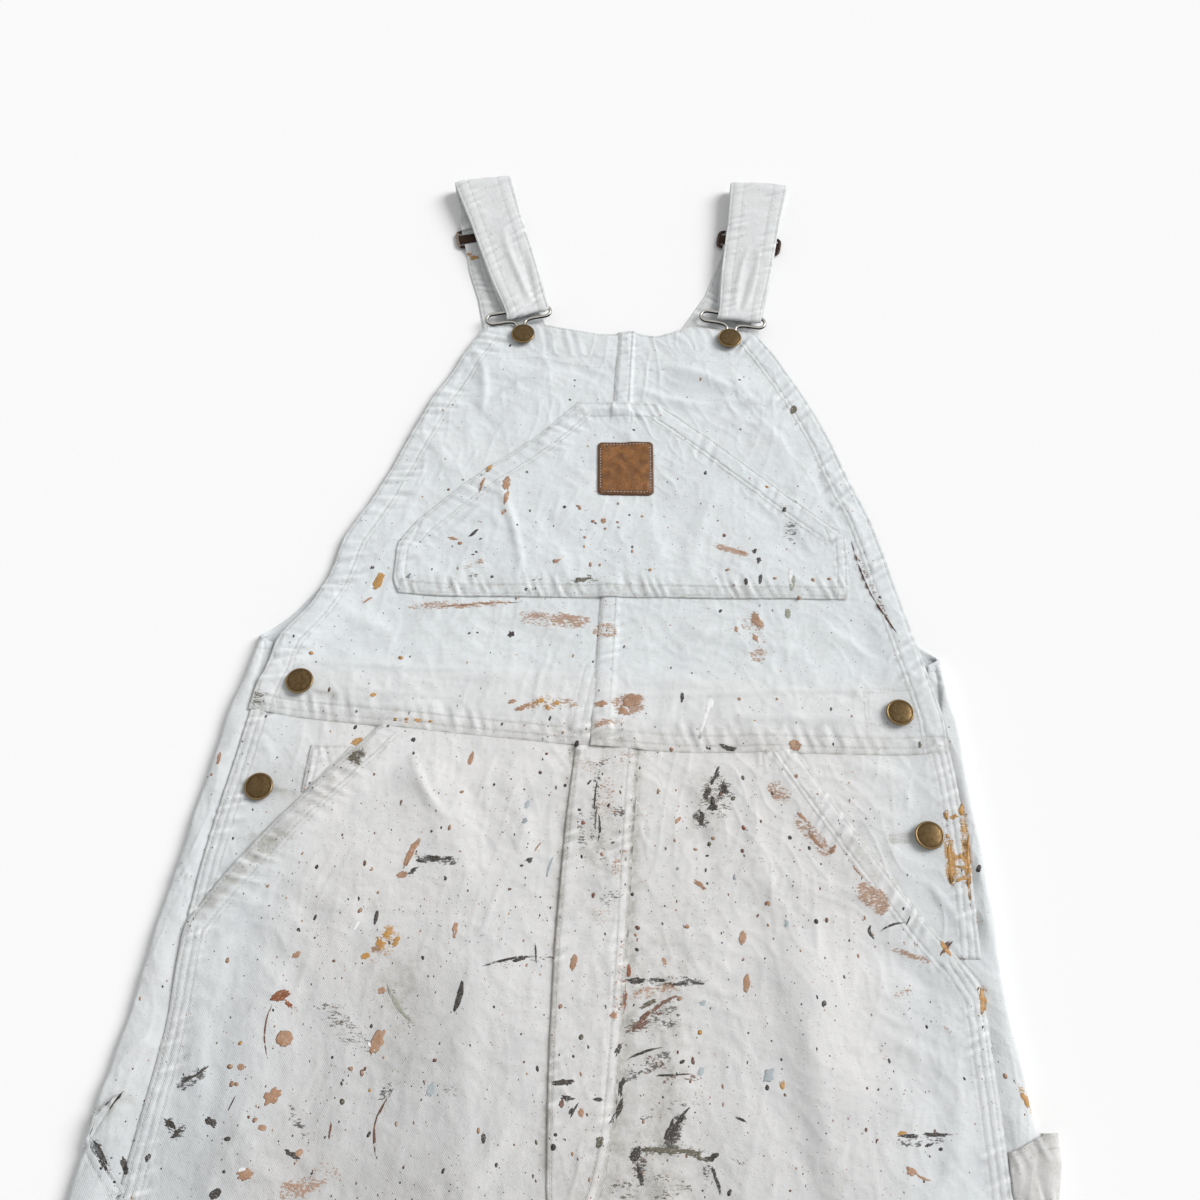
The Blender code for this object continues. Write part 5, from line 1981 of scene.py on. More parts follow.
class Back(Sewn):
    """One back: seat, leg and high back in one, flat below, folded round and in to the side seam."""

    def __init__(self, terrain: Terrain, side: int) -> None:
        """Settle where it folds, its fullness and its seams.

        Args:
            terrain: heights that the panels share.
            side: 0 on the left, 1 on the right.
        """
        self.terrain = terrain
        self.side = side
        self.sign = float(2 * side - 1)
        self.node = "back_" + SIDES[side]
        self.name = "cloth_" + self.node
        self.outline = terrain.backs[side]
        self._wander = Waves(90 + side, 30.0, 110.0, 2.0)
        self._full = Waves(94 + side, 24.0, 90.0, 2.2)
        self.turn_top_v = 372.0
        free_v = 398.0
        self._turn_v = (self.turn_top_v, free_v)
        pucker_v = (366.0, 368.0)
        edge_u = self.fold(np.array(self.turn_top_v))
        seams = [Seam(line([(edge_u + 3.0, pucker_v[0]), (edge_u - self.sign * 24.0, pucker_v[1])]), (0.0,),
                      (-2.0, 6.0), 0.3, 0.3, 7.0, 4.0, 95)]
        if side == 0:
            seams.append(Seam(((-277.0, 204.0), (-272.0, 197.0), (-262.0, 190.0)), (-1.2, 1.2), (-2.5, 2.5),
                              0.5, 0.4, 5.0, 4.0, 96, 1.8))
        self.seams = tuple(seams)

    def fold(self, v: Array) -> Array:
        """Where the section folds over: the outermost cloth at v.

        Args:
            v: places up.

        Returns:
            u of the fold at each v.
        """
        held = np.minimum(v, self.turn_top_v)
        edge = self.outline.left(held) if self.side == 0 else self.outline.right(held)
        return edge - self.sign * self._wander(np.zeros(np.shape(v)), held)

    def _seam(self, v: Array) -> Array:
        """Outer edge of the front or the facing that the folded-over cloth goes under.

        Args:
            v: places up.

        Returns:
            u of that edge at each v.
        """
        front, facing = self.terrain.fronts[self.side], self.terrain.facings[self.side]
        pick = (lambda o: o.left(v)) if self.side == 0 else (lambda o: o.right(v))
        return np.where(v > facing.low_v, pick(facing), pick(front))

    def bulge(self, u: Array, v: Array) -> Array:
        """Fullness of the folded-over cloth: a long hump between fold and seam, broken by cross folds.

        Args:
            u: places across.
            v: places up.

        Returns:
            Height added at each point.
        """
        fold, seam = self.fold(v), self._seam(v)
        share = np.clip((u - fold) / (seam - fold), 0.0, 1.0)
        hump = np.sin(math.pi * share) * (0.5 + self._full(u, v))
        return hump + np.maximum(self.terrain.relief(u, v) + 0.1, 0.0)

    def top(self, u: Array, v: Array) -> Array:
        """Face of the folded-over cloth: round the fold, then level, with its fullness.

        Args:
            u: places across.
            v: places up.

        Returns:
            z of the face at each point.
        """
        inside = np.clip(np.abs(u - self.fold(v)), 0.0, FOLD_RADIUS)
        round_top = FOLD_RADIUS + np.sqrt(FOLD_RADIUS ** 2 - (FOLD_RADIUS - inside) ** 2)
        height = self.bulge(u, v)
        for seam in self.seams:
            height = height + seam.relief(u, v)
        return round_top + height * smooth((round_top - 1.5) / 4.0)

    def holds(self, u: Array, v: Array) -> Array:
        """Whether the folded-over cloth shows at each point."""
        return (self.sign * u <= self.sign * self.fold(v)) & (v <= 374.0) & (self.sign * u > 200.0)

    def _sections(self, v: Array) -> tuple[Array, Array, Array, Array]:
        """Section of each row: u, z and the unit direction into the cloth at every column.

        Args:
            v: the rows, upwards.

        Returns:
            u, z, the sideways part of that direction, and the distance along the section from the inseam,
            each rows by columns.
        """
        fold, inner = self.fold(v), self.terrain.inseam(v, self.sign)
        flat = self.sign * (fold - inner) - FOLD_RADIUS
        turn = math.pi * FOLD_RADIUS
        over = self.sign * (fold - self._seam(v)) + WRAP_UNDERLAP - FOLD_RADIUS
        free_u = self.outline.left(v) if self.side == 0 else self.outline.right(v)
        reach = np.where(v >= self._turn_v[1], self.sign * (free_u - inner), flat + turn + over)
        low, high = self._turn_v
        share = np.clip((v - low) / (high - low), 0.0, 1.0)
        ends = [np.interp(at, v, reach) for at in (low - 0.01, high + 0.01)]
        # The edge bows in: share = 0.55 t + 0.45 t squared, solved for t.
        share = (np.sqrt(0.55 ** 2 + 1.8 * share) - 0.55) / 0.9
        reach = np.where((v > low) & (v < high), ends[0] + (ends[1] - ends[0]) * share, reach)
        whole = np.maximum(reach, flat + turn + 8.0)
        edge = np.array((0.0, 0.35, 0.9, 1.8, 4.0))
        near = np.repeat(edge[None, :], len(v), axis=0)
        middle = 4.0 + (flat[:, None] - 4.0) * np.linspace(0.0, 1.0, 22)[1:]
        bend = flat[:, None] + turn * np.linspace(0.0, 1.0, 13)[1:]
        rest = (whole - flat - turn)[:, None]
        last = flat[:, None] + turn + rest * np.concatenate([np.linspace(0.0, 1.0, 24)[1:-1], [0.985, 1.0]])
        run = np.hstack([near, middle, bend, last]) * (reach / whole)[:, None]
        flat, fold, inner = flat[:, None], fold[:, None], inner[:, None]
        angle = np.clip((run - flat) / FOLD_RADIUS, 0.0, math.pi)
        on_flat = run <= flat
        past = run > flat + turn
        u = np.where(on_flat, inner + self.sign * run, fold - self.sign * FOLD_RADIUS * (1.0 - np.sin(angle)))
        u = np.where(past, fold - self.sign * (FOLD_RADIUS + run - flat - turn), u)
        z = np.where(on_flat, 0.0, FOLD_RADIUS * (1.0 - np.cos(angle)))
        return u, z, -self.sign * np.sin(angle), run

    def build(self, finish: bpy.types.Material) -> bpy.types.Object:
        """Outer face and lining of the section along the garment, its free edges rounded.

        Args:
            finish: the piece's material.

        Returns:
            The piece.
        """
        v = np.concatenate([
            leg_rows(), np.arange(DETAIL_V, 400.0, NET), np.arange(402.0, self.outline.high_v - 2.0, 6.0),
            self.outline.high_v - np.array((1.8, 0.9, 0.35, 0.0))])
        u, z, inward_u, run = self._sections(v)
        inward_z = np.where(z < FOLD_RADIUS, 1.0, -1.0) * np.sqrt(np.maximum(1.0 - inward_u ** 2, 0.0))
        v_net = np.repeat(v[:, None], u.shape[1], axis=1)
        away = np.minimum(np.minimum(run, run[:, -1:] - run), np.minimum(v - v[0], v[-1] - v)[:, None])
        lifted = smooth((z - 1.5) / 4.0)
        lining_rise = self.bulge(u, v_net) * lifted
        outer_rise = lining_rise.copy()
        for seam in self.seams:
            outer_rise = outer_rise + seam.relief(u, v_net) * lifted
        thick = CLOTH * lip(away)
        drop = 0.5 * (CLOTH - thick)
        pressed = z < 0.05
        outer_off = np.where(pressed, 0.0, drop)
        outer = np.stack([u + inward_u * outer_off, v_net, z + inward_z * outer_off + outer_rise], axis=-1)
        depth = CLOTH - np.where(pressed, 2.0, 1.0) * drop
        lining = np.stack([u + inward_u * depth, v_net, z + inward_z * depth + lining_rise], axis=-1)
        unfolded = self.terrain.inseam(v_net, self.sign) + self.sign * run
        marks = cloth_marks(u, v_net, self.seams)
        thing = cloth_body(self.name, self.node, (outer, lining), (3, 1), (unfolded, v_net), marks, finish)
        return thing


class ToolPocket(Sewn):
    """Pocket on the left thigh: over the folded-over back and round its side fold, its mouth cut slanting."""

    TURNS = 112.0           # degrees round the fold
    CURVE = ((4.0, -268.0), (10.0, -272.0), (18.0, -280.0), (24.0, -285.5), (30.0, -290.5), (36.0, -294.2),
             (42.0, -295.6), (47.0, -294.4), (52.0, -290.0), (60.0, -283.0))
    name = "cloth_tool_pocket"
    node = "tool_pocket"

    def __init__(self, back: Back) -> None:
        """Settle its seams on the back that it is sewn round.

        Args:
            back: the left back.
        """
        self.back = back
        self.outline = Outline(self.node, 4.0)
        self.radius = FOLD_RADIUS + SEAM_GAP
        self.seams = (
            Seam(((-281.0, 57.5), (-289.0, 52.0), (-300.0, 42.0)), (-2.4, -8.0), (-9.6, 1.0),
                 0.4, 0.3, 8.0, 5.0, 101),
            Seam(line(zip(self._edge(np.arange(-148.0, 44.0, 8.0)), np.arange(-148.0, 44.0, 8.0))),
                 (2.4, 7.6), (-1.0, 9.0), 0.35, 0.35, 9.0, 5.0, 102),
        )

    def _edge(self, v: Array) -> Array:
        """Inner edge: the seam below, then the mouth's long curve out towards the fold and back.

        Args:
            v: places up.

        Returns:
            u of the edge at each v.
        """
        curve = np.interp(v, *np.array(self.CURVE).T)
        edge = np.where(v < self.CURVE[0][0], self.outline.right(v), curve)
        return np.maximum(edge, self.back.fold(v) + FOLD_RADIUS + 1.5)

    def _gape(self, u: Array, v: Array) -> Array:
        """How far the mouth stands off the thigh beside its edge."""
        return 1.7 * np.exp(-(((self._edge(v) - u) / 8.0) ** 2)) * smooth((v - 6.0) / 18.0)

    def top(self, u: Array, v: Array) -> Array:
        """Outer face where it lies on the thigh.

        Args:
            u: places across.
            v: places up.

        Returns:
            z of the face at each point.
        """
        out = self.back.fold(v)
        inside = np.clip(u - out + self.radius - FOLD_RADIUS + CLOTH, 0.0, self.radius + CLOTH)
        reach = self.radius + CLOTH
        z = FOLD_RADIUS + np.sqrt(np.maximum(reach ** 2 - (reach - inside) ** 2, 0.0))
        height = self.back.bulge(u, v) + self._gape(u, v)
        for seam in self.seams:
            height = height + seam.relief(u, v)
        return z + height * smooth((z - 1.5) / 4.0)

    def holds(self, u: Array, v: Array) -> Array:
        """Whether the pocket covers each point."""
        inside = (u >= self.back.fold(v) - 1.0) & (u <= self._edge(v))
        return inside & (v >= self.outline.low_v) & (v <= self._mouth(u))

    @staticmethod
    def _mouth(u: Array) -> Array:
        """Height of the mouth's edge at u: it slants down towards the fold."""
        return 60.0 - 0.85 * np.clip(-283.0 - u, 0.0, 17.0)

    def build(self, finish: bpy.types.Material) -> bpy.types.Object:
        """Inner and outer face over rows of v: level on the thigh, then round the fold.

        Args:
            finish: the piece's material.

        Returns:
            The piece.
        """
        v = row_places(self.outline.low_v, 60.0, hem_steps(6.0), hem_steps(12.0))
        edge, axis = self._edge(v), self.back.fold(v) + FOLD_RADIUS
        share = np.concatenate([hem_steps(6.0) / 30.0, np.linspace(0.28, 1.0, 12)])
        level = edge[:, None] + (axis - edge)[:, None] * share
        turn = np.radians(np.linspace(0.0, self.TURNS, 15)[1:])
        out = np.concatenate([np.zeros(len(share)), -np.sin(turn)])
        up = np.concatenate([np.ones(len(share)), np.cos(turn)])
        base = np.hstack([level, np.repeat(axis[:, None], len(turn), axis=1)])
        v_net = np.repeat(v[:, None], base.shape[1], axis=1)
        flat_u = base + out * (self.radius + CLOTH)
        v_net = v_net + (self._mouth(flat_u) - 60.0) * smooth((v_net + 20.0) / 70.0)
        rise = self.back.bulge(flat_u, v_net) + self._gape(flat_u, v_net)
        seams = rise.copy()
        for seam in self.seams:
            seams = seams + seam.relief(flat_u, v_net)
        faces = []
        for reach, height in ((self.radius + CLOTH, seams), (self.radius, rise)):
            z = FOLD_RADIUS + up * reach
            faces.append(np.stack([base + out * reach, v_net, z + height * smooth((z - 1.5) / 4.0)], axis=-1))
        marks = cloth_marks(flat_u, v_net, self.seams, away=np.abs(v_net - v_net[-1]))
        section = faces[0][:, :, [0, 2]]
        across = np.hypot(*np.diff(section, axis=1, prepend=section[:, :1]).transpose(2, 0, 1))
        run = np.cumsum(across, axis=1)
        plan = (edge[:, None] - run, v_net)
        thing = cloth_body(self.name, self.node, faces, (3, 1), plan, marks, finish)
        return thing


# ---------------------------------------------------------------- straps

# Rear course of each strap, from its top fold down to the high back: u, v, turn in degrees, width.
REAR_COURSES = (
    ((-122.5, 836.5, 12.0, 51.0), (-119.5, 810.0, 11.0, 46.0), (-115.0, 783.0, 14.0, 44.0),
     (-107.0, 748.0, 18.0, 44.0), (-96.0, 715.0, 16.0, 44.0), (-83.0, 680.0, 8.0, 54.0),
     (-76.0, 648.0, 3.0, 68.0), (-73.0, 608.0, 0.0, 74.0)),
    ((128.0, 840.0, -2.0, 51.0), (124.0, 812.0, -6.0, 46.0), (119.0, 783.0, -9.0, 44.0),
     (111.0, 748.0, -15.0, 44.0), (102.0, 715.0, -15.0, 46.0), (88.0, 680.0, -10.0, 56.0),
     (75.0, 648.0, -3.0, 68.0), (71.0, 608.0, 0.0, 74.0)),
)
STRAP_WIDTH = 44.0
STRAP_BEND = 7.0             # middle of the outer ply where a strap folds over
HOOK_TURNS = (14.0, -8.0)
END_TURNS = (21.0, -5.0)     # how the strap's end itself is turned
END_SHIFTS = (8.0, 5.5)      # how far it has slid along its bar
END_DROP = 5.0               # how far its fold hangs below the bar
HOOK_REACH = 27.0            # from the button to the bar that carries the strap
HOOK_LIFT = 1.2
WIRE = 1.3                   # radius of the hooks' wire
SLIDER_HALF = (29.0, 10.4)
SLIDER_THICK = 1.6
SLIDER_BARS = (3.6, 2.4, 4.8)    # width of a side bar and an end bar, half width of the middle bar


def lean(turn: float) -> tuple[Array, Array]:
    """Directions up and across in the plan for a turn in degrees."""
    angle = math.radians(turn)
    return np.array((-math.sin(angle), math.cos(angle))), np.array((math.cos(angle), math.sin(angle)))


@dataclass(frozen=True)
class Fastening:
    """Where a strap's hook hangs on its bib button."""

    spot: Array
    wire: float
    turn: float

    @classmethod
    def on(cls, terrain: Terrain, side: int) -> "Fastening":
        """Read it from the button's solid.

        Args:
            terrain: heights that the panels share.
            side: 0 on the left, 1 on the right.

        Returns:
            The fastening.
        """
        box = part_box("button_bib_" + SIDES[side])
        spot = to_lay((box[0] + box[1]) / 2.0)[:2]
        return cls(spot, float(terrain.bib(spot[:1], spot[1:])[0]) + STEP + WIRE, HOOK_TURNS[side])


class Strap:
    """One band: from the high back through the slider, over the fold, round the hook and back again."""

    STATION = 2.0           # spacing along the band
    COOLNESS = 0.5          # beside the bib's white
    # Places across the band, from -1 at one edge to 1 at the other.
    COLUMNS = np.concatenate([[-1.0, -0.985, -0.95], np.linspace(-0.9, 0.9, 25), [0.95, 0.985, 1.0]])
    CREASES = (
        (Crease(3.0, 92.0, 7.5, 3.0, 3.2, 1.7, -3.0), Crease(13.5, 60.0, 11.0, 4.0, 3.0, -1.3, 0.0),
         Crease(-2.0, 60.0, -1.0, 6.0, 3.0, -0.5, 2.0), Crease(-15.0, 150.0, 13.0, 158.0, 4.0, 0.5, 2.0),
         Crease(-16.0, 118.0, 6.0, 104.0, 4.0, 0.4, -2.0)),
        (Crease(-1.0, 76.0, -5.5, 3.0, 2.4, 1.3, -2.0), Crease(8.0, 72.0, 3.5, 3.0, 2.6, 1.3, 3.0),
         Crease(3.0, 52.0, -1.0, 3.0, 2.0, -1.0, 0.0), Crease(-14.0, 146.0, 15.0, 150.0, 4.0, 0.4, 2.0),
         Crease(-12.0, 120.0, 14.0, 112.0, 4.0, 0.4, -2.0)),
    )

    def __init__(self, terrain: Terrain, side: int) -> None:
        """Lay the whole course of the band.

        Args:
            terrain: heights that the panels share.
            side: 0 on the left, 1 on the right.
        """
        self.side = side
        self.rear = REAR_COURSES[side]
        self.hang = Fastening.on(terrain, side)
        self.node = "strap_" + SIDES[side]
        self.name = "cloth_" + self.node
        self._lay()
        half = 0.5 * STRAP_WIDTH
        self.seams = (
            Seam(((-half, 400.0), (-half, -400.0)), (2.2, 10.0), (-1.0, 11.4), 0.25, 0.4, 8.5, 6.0,
                 111 + side),
            Seam(((half, -400.0), (half, 400.0)), (2.2, 11.0), (-1.0, 12.4), 0.25, 0.4, 9.5, 6.0, 113 + side),
        )

    def _turned(self, radius: float, angles: Iterable[int]) -> list[tuple[float, ...]]:
        """Stations round the top fold for a ply at this radius.

        Args:
            radius: from the fold's axis to the middle of the ply.
            angles: degrees round the fold, 0 below and 180 above.

        Returns:
            Stations: u, v, z, turn in degrees and width of each.
        """
        u, v, turn, width = self.rear[0]
        up = lean(turn)[0]
        axis = 0.5 * CLOTH + STRAP_BEND
        return [(u + up[0] * radius * math.sin(angle), v + up[1] * radius * math.sin(angle),
                 axis - radius * math.cos(angle), turn, width) for angle in map(math.radians, angles)]

    def _front(self, face: float) -> list[tuple[float, ...]]:
        """Stations of one ply from the fold to the hook; face is 1 for the outer ply, -1 for the inner.

        Args:
            face: which ply.

        Returns:
            Stations: u, v, z, turn in degrees and width of each.
        """
        top, hang = self.rear[0], self.hang
        up, across = lean(hang.turn)
        bar = hang.spot + up * HOOK_REACH + across * END_SHIFTS[self.side]
        high = 0.5 * CLOTH + 2.0 * STRAP_BEND - 0.5 * STEP
        rows = []
        for share, half_gap in ((0.3, 0.8), (0.62, 0.8), (0.86, 1.0)):
            u, v = np.array(top[:2]) * (1.0 - share) + bar * share
            z = high + (hang.wire + HOOK_LIFT - high) * share + face * half_gap
            turn = top[2] + (END_TURNS[self.side] - top[2]) * share
            rows.append((u, v, z, turn, STRAP_WIDTH + 6.0 * max(0.0, 0.6 - share)))
        return rows

    def _eye(self) -> list[tuple[float, ...]]:
        """Stations round the bar of the hook, from its upper side to its lower one.

        Returns:
            Stations: u, v, z, turn in degrees and width of each.
        """
        up, across = lean(self.hang.turn)
        radius = WIRE + SEAM_GAP + 0.5 * CLOTH
        bar = self.hang.spot + up * HOOK_REACH + across * END_SHIFTS[self.side]
        rows = []
        for angle in range(0, 181, 20):
            round_bar = math.sin(math.radians(angle))
            u, v = bar - up * (radius + END_DROP) * round_bar
            z = self.hang.wire + HOOK_LIFT + radius * math.cos(math.radians(angle)) + 1.9 * round_bar
            rows.append((u, v, z, END_TURNS[self.side], STRAP_WIDTH))
        return rows

    def _near_slider(self, stations: Iterable[tuple[float, float]]) -> list[tuple[float, ...]]:
        """Stations near the slider: each a distance up the strap from its middle bar and a height.

        Args:
            stations: distance and height of each.

        Returns:
            Stations: u, v, z, turn in degrees and width of each.
        """
        u, v, turn, _ = self.rear[2]
        up = lean(turn)[0]
        return [(u + up[0] * step, v + up[1] * step, z, turn, STRAP_WIDTH) for step, z in stations]

    def _lay(self) -> None:
        """The whole course, resampled evenly along its length and eased at its corners."""
        rear, low = self.rear, 0.5 * CLOTH
        over = STEP + SLIDER_THICK + SEAM_GAP + low
        end = SLIDER_HALF[1]
        inner = end - SLIDER_BARS[1] - SEAM_GAP
        middle = SLIDER_BARS[2]
        sewn = np.array(rear[-3]) * 0.35 + np.array(rear[-2]) * 0.65
        beyond = (rear[1][0], rear[1][1] + 6.0)
        course = [(*rear[-1][:2], STEP + low, *rear[-1][2:]),
                  (rear[-2][0], rear[-2][1] - 4.0, STEP + low, *rear[-2][2:]),
                  (sewn[0], sewn[1], low, sewn[2], sewn[3])]
        course += [(u, v, low, turn, width) for u, v, turn, width in reversed(rear[3:-2])]
        slider = len(course)
        course += self._near_slider((
            (-20.0, low), (-end - 0.6, over), (-inner, over), (-middle - 1.4, low), (middle + 1.4, low),
            (inner, over), (end + 0.6, over), (21.0, 1.2)))
        course.append((*beyond, low, *rear[1][2:]))
        fold = len(course)
        course += self._turned(STRAP_BEND, range(0, 181, 10))
        course += self._front(1.0)
        hook = len(course)
        course += self._eye()
        course += reversed(self._front(-1.0))
        course += self._turned(STRAP_BEND - STEP, range(180, -1, -10))
        course.append((*beyond, low + STEP, *rear[1][2:]))
        course += self._near_slider((
            (21.0, 1.2 + STEP), (end + 0.6, over + STEP), (inner - 0.5, over + STEP)))
        stations = np.array(course)
        length = np.concatenate([[0.0], np.cumsum(np.linalg.norm(np.diff(stations[:, :3], axis=0), axis=1))])
        self.slider_s, self.fold_s, self.hook_s = (float(length[k]) for k in (slider, fold, hook))
        self.s = np.linspace(0.0, length[-1], int(length[-1] / self.STATION))
        rows = [soften(np.interp(self.s, length, column), 1) for column in stations.T]
        self.spot, self.turn, self.width = np.stack(rows[:3], axis=1), rows[3], rows[4]

    def _directions(self) -> tuple[Array, Array]:
        """Unit directions at every station: across the band, and square to it out of its inner face.

        Returns:
            Both as rows of three.
        """
        angle = np.radians(self.turn)
        sideways = np.stack([np.cos(angle), np.sin(angle), np.zeros(len(angle))], axis=1)
        normal = np.cross(sideways, np.gradient(self.spot, axis=0))
        return sideways, normal / np.linalg.norm(normal, axis=1, keepdims=True)

    def _faces(self) -> tuple[Array, Array, Array, Array]:
        """Outer face and inner face of the band, with distance across and up from the hook.

        Returns:
            The two faces, rows by columns by 3, then the two distances, rows by columns.
        """
        share = self.COLUMNS
        near = np.exp(-((self.s - self.hook_s) / 34.0) ** 2)
        half = 0.5 * self.width * (1.0 - 0.16 * near)
        sideways, normal = self._directions()
        x = share * 0.5 * STRAP_WIDTH
        across, up = np.meshgrid(x, self.hook_s - self.s)
        middle = self.spot[:, None] + sideways[:, None] * (share * half[:, None])[..., None]
        relief = Waves(120 + self.side, 22.0, 90.0, 1.1)(across, up + 300.0) - 0.3
        for crease in self.CREASES[self.side]:
            relief += crease.relief(across, up)
        for seam in self.seams:
            relief += seam.relief(across, up)
        relief = relief * smooth((1.0 - np.abs(share)) / 0.12 + 0.2)
        thick = 0.5 * CLOTH * lip((1.0 - np.abs(share)) * 22.0)
        outward = smooth((self.s - self.fold_s + 6.0) / 12.0)[:, None]
        rearward = smooth((self.slider_s - 4.0 - self.s) / 12.0)[:, None]
        outer = middle - normal[:, None] * (thick + relief * outward)[..., None]
        inner = middle + normal[:, None] * (thick + relief * rearward)[..., None]
        outer[..., 2] = np.maximum(outer[..., 2], 0.03)
        inner[..., 2] = np.maximum(inner[..., 2], 0.03)
        return outer, inner, across, up

    def build(self, finish: bpy.types.Material) -> bpy.types.Object:
        """Close the two faces of the band into one body.

        Args:
            finish: the piece's material.

        Returns:
            The piece.
        """
        outer, inner, across, up = self._faces()
        self.outer, self.inner = outer, inner
        marks = cloth_marks(across, up, self.seams, (outer[..., 0], outer[..., 1]))
        marks["seam"][:, 0] *= self.COOLNESS
        thing = cloth_body(self.name, self.node, (outer, inner), (1, 1), (across, up), marks, finish)
        return thing

    def sew(self, stitching: Stitching) -> None:
        """Stitches along both edges: on the outer face down to the hook, on the rear ply's face below.

        Args:
            stitching: where the stitches go.
        """
        runs = ((self.outer, self.fold_s, self.hook_s - 2.0, -1.0), (self.inner, 90.0, self.slider_s, 1.0))
        width = 0.5 * STRAP_WIDTH
        offsets = [row - width for row in self.seams[0].rows] + [width - row for row in self.seams[1].rows]
        columns = self.COLUMNS * width
        normal = self._directions()[1]
        for face, low, high, sign in runs:
            s = np.arange(low, high, STITCH_PITCH)
            up = sign * np.stack([np.interp(s, self.s, normal[:, k]) for k in range(3)], axis=1)
            for offset in offsets:
                after = int(np.searchsorted(columns, offset))
                share = (offset - columns[after - 1]) / (columns[after] - columns[after - 1])
                track = face[:, after - 1] * (1.0 - share) + face[:, after] * share
                stitching.add(*stitch_ends(s, self.s, track), up)

    def surface(self, u: Array, v: Array) -> Array:
        """Highest cloth of the band at each point, from its points gathered in cells; -1 where none is.

        Args:
            u: places across.
            v: places up.

        Returns:
            z at each point, or -1.
        """
        cell = 2.2
        points = np.concatenate([self.outer.reshape(-1, 3), self.inner.reshape(-1, 3)])
        low = points[:, :2].min(axis=0)
        size = ((points[:, :2].max(axis=0) - low) / cell).astype(int) + 1
        heights = np.full(size, -1.0)
        at = ((points[:, :2] - low) / cell).astype(int)
        np.maximum.at(heights, (at[:, 0], at[:, 1]), points[:, 2])
        iu = ((u - low[0]) / cell).astype(int)
        iv = ((v - low[1]) / cell).astype(int)
        inside = (u >= low[0]) & (v >= low[1]) & (iu < size[0]) & (iv < size[1])
        return np.where(inside, heights[np.clip(iu, 0, size[0] - 1), np.clip(iv, 0, size[1] - 1)], -1.0)


